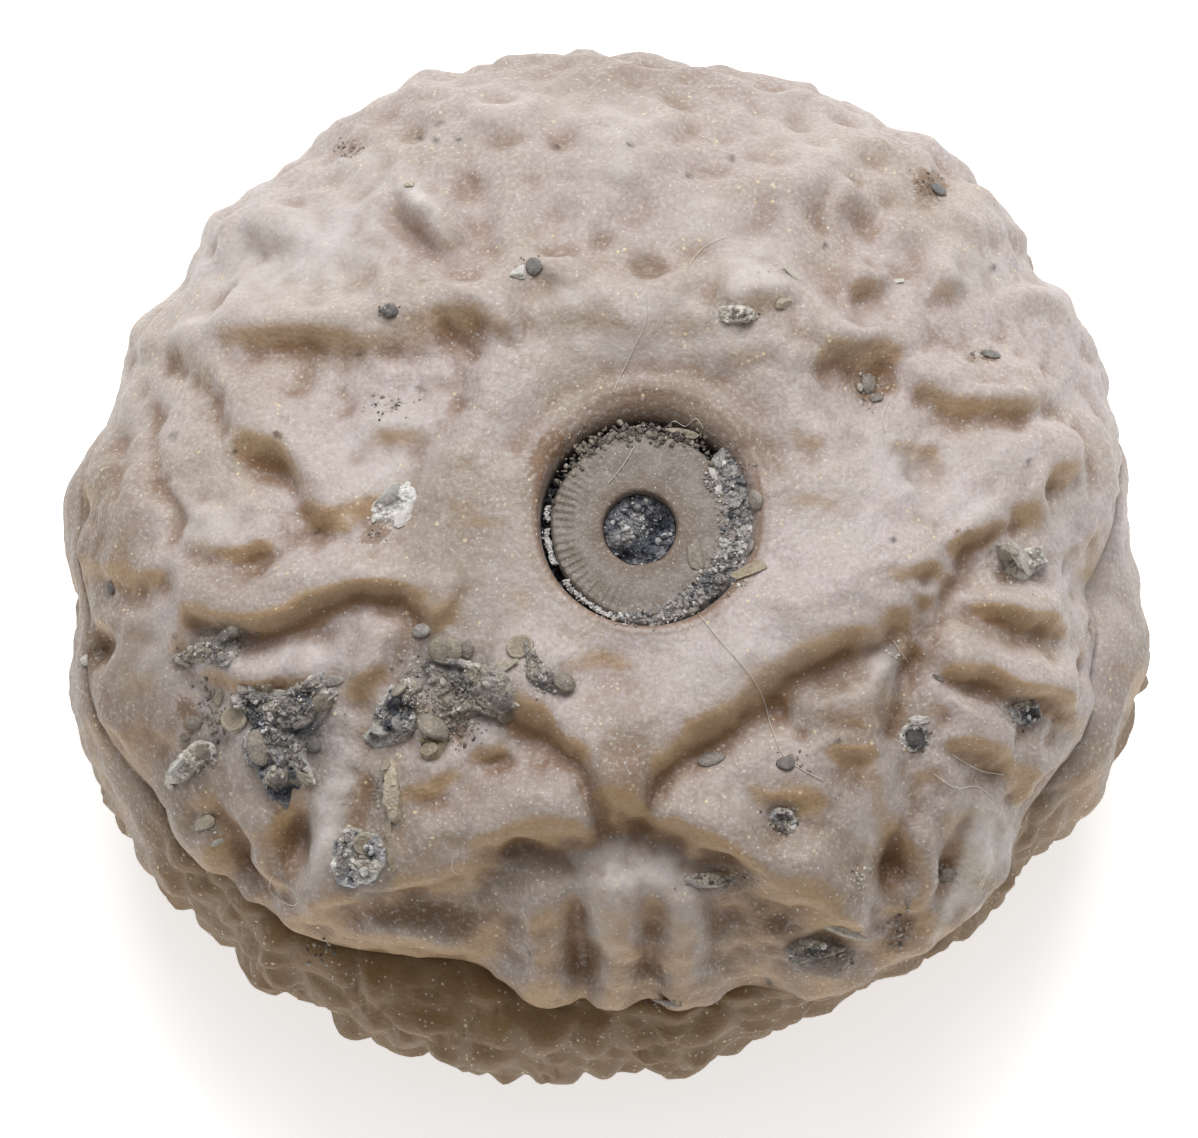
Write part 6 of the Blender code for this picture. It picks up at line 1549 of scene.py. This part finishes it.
def add_grain(heap, rng, place, size, tone, warmth=0.5):
    """One angular grain, turned at random."""
    ball = TINY_BALL if size < TINY_GRAIN else SMALL_BALL
    points = grain_shape(rng, 4, ball) * rng.uniform(0.6, 1.3, 3) * size
    turn = np.linalg.qr(rng.normal(size=(3, 3)))[0]
    if np.linalg.det(turn) < 0:
        turn[:, 0] *= -1
    heap.add(points @ turn.T + place, ball[1], float(np.clip(tone, 0, 1)), warmth)


def add_ring_grain(heap, rng, bearing, r, z, size, tone, warmth):
    """One angular grain at a bearing and a distance from the stem axis, and at a level."""
    place = np.array((r * cos(bearing), r * sin(bearing), z))
    add_grain(heap, rng, place, size, tone, warmth)


def rocky(points, size):
    """Blocks of rubble at each point: two chance numbers of the nearest block, and its inside."""
    flat = points.reshape(-1, 3)
    out = np.empty((len(flat), 3))
    for i, p in enumerate(flat.tolist()):
        near, middles = noise.voronoi(Vector(p) / size)
        out[i] = noise.noise(middles[0] * 5.3), noise.noise(middles[0] * 3.1), near[1] - near[0]
    level, tone, inside = out.reshape(*points.shape[:-1], 3).transpose(2, 0, 1)
    return 1.7 * level, 1.7 * tone, np.minimum(1.0, 4.0 * inside)


class Surface:
    """What lies under the line of sight through a point of the sheet."""

    def __init__(self, *objects):
        graph = bpy.context.evaluated_depsgraph_get()
        self.trees = [BVHTree.FromObject(obj, graph) for obj in objects]

    def drop(self, u, v):
        """The nearest place under (u, v), in millimetres, and the normal there."""
        start = (sheet_point(u, v) - SIGHT * 60.0) * MM
        hits = [tree.ray_cast(start, SIGHT) for tree in self.trees]
        hits = [hit for hit in hits if hit[0] is not None]
        place, normal, _, _ = min(hits, key=lambda hit: hit[3])
        return np.array(place) / MM, np.array(normal)


def turned_spot(middle_u, middle_v, long, wide, turn, a, b):
    """Sheet point at the shares (a, b) of an oval's half length and half width."""
    c = cos(radians(turn))
    s = sin(radians(turn))
    return middle_u + a * long * c - b * wide * s, middle_v + a * long * s + b * wide * c


def draped_rings(surface, path, seed):
    """Points and normals under the rings of a crust with a ragged edge, from its middle out."""
    middle = path.mean(axis=0)
    tops = np.empty((len(CRUST_SHARES), len(path), 3))
    normals = np.empty_like(tops)
    for j, (u, v) in enumerate(path):
        spot = Vector((u, v, seed))
        ragged = 1.0 + 0.16 * noise.noise(spot / 0.5) + 0.1 * noise.noise(spot / 0.17)
        for i, share in enumerate(CRUST_SHARES):
            spot = middle + (np.array((u, v)) - middle) * share * ragged
            tops[i, j], normals[i, j] = surface.drop(*spot)
    return tops, normals


def crust_base(surface, thick, outline, seed, even):
    """Rings of a thin blocky crust with a ragged edge, and two chance numbers for its colours."""
    path = round_path(outline[::-1] + outline[-1:], 10)[:-1]
    tops, normals = draped_rings(surface, path, seed)
    lean = normalised(normals + np.array((0.0, 0.0, 0.6)))
    blocks, block_tone, block_inside = rocky(tops + seed, 0.5)
    chips, chip_tone, chip_inside = rocky(tops + 2 * seed, 0.19)
    # Painted shade: the cavities are sunk and their tone darkened.
    deep_shade = patches(CAVITIES, *sheet_of(tops))
    level = 0.62 + 0.2 * blocks + 0.2 * chips + 0.2 * wobble(tops - seed, 0.14)
    level *= 0.6 + 0.2 * block_inside + 0.2 * chip_inside
    level = np.clip(level, 0.3, 1.3) * (1 - even) + 1.1 * even
    swell = (1 - CRUST_SHARES ** 9)[:, None]
    height = thick * level * swell * (1 - 0.6 * deep_shade) - 0.04
    rim = smooth((CRUST_SHARES - 0.72) / 0.2)[:, None]
    rim = rim * np.clip(wobble(tops + 4 * seed, 0.7) * 2, 0, 1)
    shade = 0.7 * block_tone + 0.8 * chip_tone + 1.5 * rim - 1.9 * deep_shade
    tint = 0.35 * block_tone - 0.25 * chips + 0.3 * wobble(tops + 5 * seed, 0.9)
    under = tops[::-1] - lean[::-1] * CRUST_SINK
    return tops + lean * height[..., None], under, lean, shade, tint


def both_sides(field):
    """A field of a crust's top, with the same for its underside and the middle of each."""
    return np.append(np.concatenate([field, field[::-1]]).ravel(), (field[0, 0], field[0, 0]))


def make_crust(surface, rng, name, kind, thick, outline, material):
    """One crumb of matrix with its grains, in place of its plain solid."""
    seed = float(rng.uniform(0, 50))
    middle, spread, warmth, even = TONES[kind]
    tops, under, lean, shade, tint = crust_base(surface, thick, outline, seed, even)
    heap = Heap()
    vertices, faces = closed_rings(np.concatenate([tops, under]))
    heap.add(vertices, faces, both_sides(middle + spread * shade), both_sides(warmth + tint))
    wide, high = np.ptp(outline, axis=0)
    for _ in range(int(CRUST_GRAINS * wide * high)):
        i = int(len(tops) * sqrt(rng.random()) * 0.999)
        j = rng.integers(tops.shape[1])
        size = 0.015 + 0.03 * rng.random() ** 2
        if rng.random() < 0.06:
            size = rng.uniform(0.05, 0.11)
        place = tops[i, j] + lean[i, j] * size * rng.uniform(-0.5, 0.3)
        tone = middle + spread * (shade[i, j] + rng.normal(0, 0.6))
        if rng.random() < 0.2 and shade[i, j] > -1.2:
            tone = rng.uniform(0.8, 1.0)
        add_grain(heap, rng, place, size, tone, warmth + 0.5 * tint[i, j])
    return settle(heap.make(name + "_crust", material), "matrix_" + kind, name)


def make_crusts(cup, materials):
    """Every crumb that has a solid of its own."""
    surface = Surface(cup)
    rng = np.random.default_rng(11)
    return [make_crust(surface, rng, *crust, materials[crust[1]]) for crust in CRUSTS]


def round_gloom(x, y, middle_x, middle_y, size):
    """1 at the middle of a round patch, fading out over its size."""
    return np.exp(-((x - middle_x) ** 2 + (y - middle_y) ** 2) / size)


def strew(heap, rng, count, tops, tone, smallest, spread, plain_share, pale_from, warmth):
    """Grains on a grid of points. Some take the tone there, with a spread, and the rest are pale."""
    for _ in range(count):
        i, j = rng.integers(len(tops)), rng.integers(tops.shape[1])
        size = smallest + 0.07 * rng.random() ** 3
        place = tops[i, j] + (0.0, 0.0, size * 0.3)
        is_plain = rng.random() < plain_share
        shade = rng.normal(tone[i, j], spread) if is_plain else rng.uniform(pale_from, 1.0)
        add_grain(heap, rng, place, size, shade, warmth)


def make_canal(rng, material):
    """Dark crystals in the stem's canal, with a paler mass at the left."""
    shares = np.append(np.linspace(0.03, 0.98, 26), (1.0, 1.0))
    rings = ring_points(shares[:, None] * (LUMEN_R - 0.02), round_bearings(96), 0.0)
    x, y = rings[..., 0], rings[..., 1]
    pale = round_gloom(x, y, -0.4, -0.05, 0.22)
    # Painted shade: two spots are sunk deeper and darkened.
    deep_shade = np.minimum(round_gloom(x, y, 0.45, 0.05, 0.09) + round_gloom(x, y, -0.4, -0.72, 0.05), 1.0)
    blocks, block_tone, _ = rocky(rings + 3.0, 0.32)
    chips, chip_tone, _ = rocky(rings + 9.0, 0.13)
    rings[..., 2] = FACET_Z + CANAL_LEVEL + 0.24 * pale - 0.28 * deep_shade + 0.1 * blocks + 0.06 * chips
    rings[-1, :, 2] = FACET_Z - DISC_THICK
    vertices, faces = closed_rings(rings)
    tone = 0.3 + 0.36 * pale - 0.3 * deep_shade + 0.2 * block_tone + 0.12 * chip_tone
    tones = np.append(tone.ravel(), (tone[0, 0], tone[-1, 0]))
    heap = Heap()
    heap.add(vertices + np.append(CANAL_SHIFT, 0.0), faces, tones, 0.05)
    strew(heap, rng, 260, rings[:-2] + np.append(CANAL_SHIFT, 0.0), tone, 0.02, 0.1, 0.7, 0.6, 0.1)
    return settle(heap.make("canal_crystal_cluster", material), "canal_crystal", "canal_crystals")


def crescent_tops():
    """Grid of the crescent's upper side: its radii, its points, and its tones."""
    start, end = radians(-108), radians(46)
    bearings = np.linspace(start, end, 260)[:, None]
    across = np.linspace(0, 1, 22)[None, :]
    swell = np.sin((bearings - start) / (end - start) * pi) ** 0.45
    ragged = rough(ring_points(1.0, bearings, 0.0) * 2.5, GAP_EDGE)
    inner = 2.66 - 0.62 * swell + ragged
    outer = 2.76 + 0.4 * smooth((np.sin(bearings) + 0.9) / 0.6) - 0.5 * ragged
    radii = inner + (outer - inner) * across
    tops = ring_points(radii, bearings, 0.0)
    blocks, block_tone, _ = rocky(tops + 5.0, 0.34)
    chips, chip_tone, _ = rocky(tops + 8.0, 0.14)
    hump = np.sin(np.clip(across * 1.1, 0, 1) * pi) ** 0.5
    tops[..., 2] = FACET_Z - 0.06 + (0.14 + 0.13 * blocks + 0.08 * chips) * hump * swell
    tops[..., 2] -= 0.25 * smooth((across - 0.8) / 0.2)
    return radii, tops, 0.56 + 0.22 * block_tone + 0.16 * chip_tone


def make_crescent(rng, material):
    """Rubble that fills the right side of the gap round the disc and laps onto its face."""
    radii, tops, tone = crescent_tops()
    unders = tops[:, ::-1].copy()
    on_face = smooth((DISC_R + 0.1 - radii[:, ::-1]) / 0.05)
    unders[..., 2] = FACET_Z - 0.08 - 0.5 * (1 - on_face)
    vertices, faces = closed_rings(np.concatenate([tops, unders], axis=1))
    tones = np.concatenate([tone, tone[:, ::-1]], axis=1).ravel()
    heap = Heap()
    heap.add(vertices, faces, np.append(tones, (0.4, 0.4)), 0.2)
    strew(heap, rng, 600, tops, tone, 0.015, 0.12, 0.72, 0.75, 0.15)
    return settle(heap.make("pit_rubble", material), "matrix_dark", "pit_crescent")


def chance_at(bearing, level, size):
    """Smooth chance number at a bearing. The level picks the noise, and the size its lumps."""
    return noise.noise(Vector((cos(bearing), sin(bearing), level)) / size)


def fill_gap(heap, rng):
    """Dark fill, deep in the gap round the disc."""
    for _ in range(620):
        bearing = rng.uniform(0, tau)
        back = max(0.0, sin(bearing)) ** 1.5
        r = rng.uniform(DISC_R + 0.02, PIT_FLOOR_R + 0.05 + 0.4 * back)
        tone = rng.normal(0.12, 0.08)
        z = FACET_Z - rng.uniform(0.35, 0.9) - 0.3 * back
        size = 0.04 + 0.07 * rng.random() ** 2
        add_ring_grain(heap, rng, bearing, r, z, size, tone, 0.2)


def line_rim(heap, rng):
    """White crust along the left and lower side of the disc."""
    for _ in range(1500):
        bearing = radians(rng.uniform(168, 295))
        here = chance_at(bearing, 0.3, 0.13)
        if here < -0.1 and bearing < 3.75:
            continue
        r = rng.normal(DISC_R + 0.1 + 0.06 * here, 0.035)
        size = 0.02 + 0.03 * rng.random() ** 2
        z = FACET_Z - rng.uniform(0.05, 0.2)
        add_ring_grain(heap, rng, bearing, r, z, size, rng.normal(0.95, 0.12), 0.1)


def heap_back(heap, rng):
    """Warm rubble behind the disc, on the back edge of its face and in the gap."""
    for _ in range(620):
        bearing = radians(rng.normal(98, 26))
        here = chance_at(bearing, 2.0, 0.2)
        r = rng.normal(DISC_R + 0.02 + 0.1 * here, 0.13)
        size = 0.025 + 0.08 * rng.random() ** 2
        z = FACET_Z - rng.uniform(-0.05, 0.2)
        add_ring_grain(heap, rng, bearing, r, z, size, rng.normal(0.42 + 0.25 * here, 0.13), 0.65)


def strew_face(heap, rng):
    """Fine grains on the disc's face, along the inner edge of the crescent."""
    for _ in range(320):
        bearing = radians(rng.uniform(-62, 42))
        r = 2.25 - 0.3 * rng.random() ** 2
        size = 0.015 + 0.05 * rng.random() ** 2
        add_ring_grain(heap, rng, bearing, r, FACET_Z + 0.03, size, rng.normal(0.66, 0.15), 0.35)


def make_ring_grains(rng, material):
    """Rubble in the gap round the disc and along its rim."""
    heap = Heap()
    for add_part in (fill_gap, line_rim, heap_back, strew_face):
        add_part(heap, rng)
    for x, y, long, wide, turn, tone, warmth in GAP_LUMPS:
        points = rough_stone(rng, 0.25) * np.array((long, wide, 0.5 * wide))
        points = points @ turned_to((0.0, 0.0, 1.0), turn).T
        heap.add(points + (x, y, FACET_Z - 0.08), LARGE_BALL[1], tone, warmth)
    return settle(heap.make("pit_ring_grains", material), "matrix_dark")


def add_pebble(heap, surface, rng, u, v, long, wide, turn, tone, warmth):
    """One rounded pebble, pressed a little into what carries it."""
    place, normal = surface.drop(u, v)
    ball = LARGE_BALL[0] * (1 + 0.14 * wobble(LARGE_BALL[0] + rng.uniform(0, 30), 0.8))[:, None]
    points = ball * np.array((long, wide, 0.45 * min(long, wide))) + (0.0, 0.0, 0.06)
    tones = tone + 0.05 + 0.14 * wobble(ball + rng.uniform(0, 30), 0.4)
    heap.add(points @ turned_to(normal, turn).T + place, LARGE_BALL[1], tones, 0.7 * warmth, True)


def add_chip(heap, surface, rng, u, v, long, wide, turn, tone, warmth):
    """One flat angular chip."""
    place, normal = surface.drop(u, v)
    tilted = normal + rng.normal(0, 0.15, 3)
    tilted /= np.linalg.norm(tilted)
    points = rough_stone(rng, 0.2) * np.array((long, wide, 0.4 * min(long, wide))) * 1.15
    place = place + normal * 0.04
    heap.add(points @ turned_to(tilted, turn).T + place, LARGE_BALL[1], tone, warmth)


def add_small_disc(heap, surface, u, v, radius, tone, warmth):
    """A flat disc with a raised rim and a dimple in its middle."""
    place, normal = surface.drop(u, v)
    shares, lifts = np.array(SMALL_DISC_PROFILE).T[..., None]
    rings = ring_points(shares * radius, round_bearings(SMALL_DISC_SIDES), lifts * radius)
    rings *= 1 + 0.14 * wobble(rings + radius * 50, 0.25)[..., None]
    vertices, faces = closed_rings(rings)
    tones = tone + 0.12 * np.append(np.repeat(shares > 0.8, SMALL_DISC_SIDES), (0, 1))
    heap.add(vertices @ turned_to(normal, 0).T + place, faces, tones, warmth, True)


def make_loose_crumbs(surface, rng, material):
    """Pebbles, chips, small discs and scattered grains, each on what lies under it."""
    heap = Heap()
    for pebble in PEBBLES:
        add_pebble(heap, surface, rng, *pebble)
    for chip in CHIPS:
        add_chip(heap, surface, rng, *chip)
    for disc in SMALL_DISCS:
        add_small_disc(heap, surface, *disc)
    for *oval, count, tone, spread in SCATTERS:
        for _ in range(count):
            place, normal = surface.drop(*turned_spot(*oval, *rng.normal(0, 0.5, 2)))
            size = 0.02 + 0.05 * rng.random() ** 1.5
            add_grain(heap, rng, place + normal * size * 0.1, size, rng.normal(tone + 0.08, 0.7 * spread))
    return settle(heap.make("loose_crumbs", material), "matrix_brown")


def draped_line(surface, path):
    """Points of a fibre that lies on the surface, a little above it."""
    line = []
    for u, v in round_path(path, 10):
        place, normal = surface.drop(u, v)
        line.append(place + normal * (0.05 + 0.03 * noise.noise(Vector((u, v, 3.0)) / 0.4)))
    line = np.array(line)
    line[1:-1] = 0.25 * line[:-2] + 0.5 * line[1:-1] + 0.25 * line[2:]
    return line


def make_fibres(surface, material):
    """Dust fibres that lie on the surface, as fine tubes."""
    vertices = []
    faces = []
    turns = [tau * k / FIBRE_SIDES for k in range(FIBRE_SIDES)]
    for path in FIBRES:
        line = draped_line(surface, path)
        along = normalised(np.gradient(line, axis=0))
        side = normalised(np.cross(along, (0.0, 0.0, 1.0)))
        lift = np.cross(side, along)
        first = len(vertices)
        for i, point in enumerate(line):
            for w in turns:
                vertices.append(point + FIBRE_R * (cos(w) * side[i] + sin(w) * lift[i]))
        last = len(vertices) - FIBRE_SIDES
        for start in range(first, last, FIBRE_SIDES):
            for k in range(FIBRE_SIDES):
                a = start + k
                b = start + (k + 1) % FIBRE_SIDES
                faces.append((a, b, b + FIBRE_SIDES, a + FIBRE_SIDES))
        faces.append(tuple(first + k for k in reversed(range(FIBRE_SIDES))))
        faces.append(tuple(last + k for k in range(FIBRE_SIDES)))
    return settle(make_object("dust_fibres", vertices, faces, material), "calcite")


# ---------------- light, floor and camera
def make_floor():
    """A plain white table."""
    paint = Paint("white_table")
    paint.finish(Base_Color=(250, 250, 250), Roughness=0.9, Emission_Color=(255, 255, 255))
    paint.finish(Emission_Strength=0.6)
    half = TABLE_WIDTH / 2
    corners = [(-half, -half, 0), (half, -half, 0), (half, half, 0), (-half, half, 0)]
    floor = make_object("table", corners, [(0, 1, 2, 3)], paint.material, False)


def make_light(name, azimuth, elevation, distance, size, power):
    """A soft square lamp aimed at the cup. Azimuth 0 is behind it (+Y), and 90 at its right."""
    lamp = bpy.data.lights.new(name, "AREA")
    lamp.size = size
    lamp.energy = power
    obj = link(name, lamp)
    across = cos(radians(elevation))
    a = radians(azimuth)
    away = Vector((sin(a) * across, cos(a) * across, sin(radians(elevation))))
    obj.location = away * distance + Vector((0, 0, 0.012))
    obj.rotation_euler = away.to_track_quat("Z", "Y").to_euler()


def make_world(strength):
    """Even pale light from all round."""
    world = bpy.data.worlds.new("studio")
    world.use_nodes = True
    background = world.node_tree.nodes["Background"]
    background.inputs["Color"].default_value = (1.0, 1.0, 1.0, 1.0)
    background.inputs["Strength"].default_value = strength
    bpy.context.scene.world = world


def make_camera():
    """The camera, square to the tilted sheet."""
    middle = [(size / 2 - axis) / PIXELS_PER_MM for size, axis in zip(FRAME_PIXELS, AXIS_PIXEL)]
    aim = sheet_point(middle[0], -middle[1]) * MM
    lens = bpy.data.cameras.new("camera")
    lens.sensor_width = SENSOR_WIDTH
    lens.lens = SENSOR_WIDTH * CAMERA_DISTANCE / (FRAME_PIXELS[0] / PIXELS_PER_MM * MM)
    lens.dof.use_dof = False
    obj = link("camera", lens)
    obj.location = aim - SIGHT * CAMERA_DISTANCE
    obj.rotation_euler = (radians(90) - SHEET_LEAN, 0.0, 0.0)
    bpy.context.scene.camera = obj


def main():
    """Make every piece, the light, the table and the camera."""
    bpy.context.scene.view_settings.view_transform = "Standard"
    bpy.context.scene.view_settings.look = "None"
    rubble = {kind: rubble_finish(*looks) for kind, looks in RUBBLES.items()}
    rng = np.random.default_rng(7)
    cup = make_cup()
    disc = make_stem_disc()
    make_canal(rng, rubble_finish("canal_crystal", (60, 66, 76), 0.2))
    make_crescent(rng, rubble["dark"])
    make_ring_grains(rng, rubble["dark"])
    surface = Surface(cup, disc, *make_crusts(cup, rubble))
    make_loose_crumbs(surface, rng, rubble["brown"])
    make_fibres(surface, fibre_finish())
    make_floor()
    make_light("back_softbox", 0, 56, 0.35, 0.22, 1.02)
    make_light("overhead", 0, 80, 0.5, 0.35, 0.35)
    make_world(0.24)
    make_camera()


main()
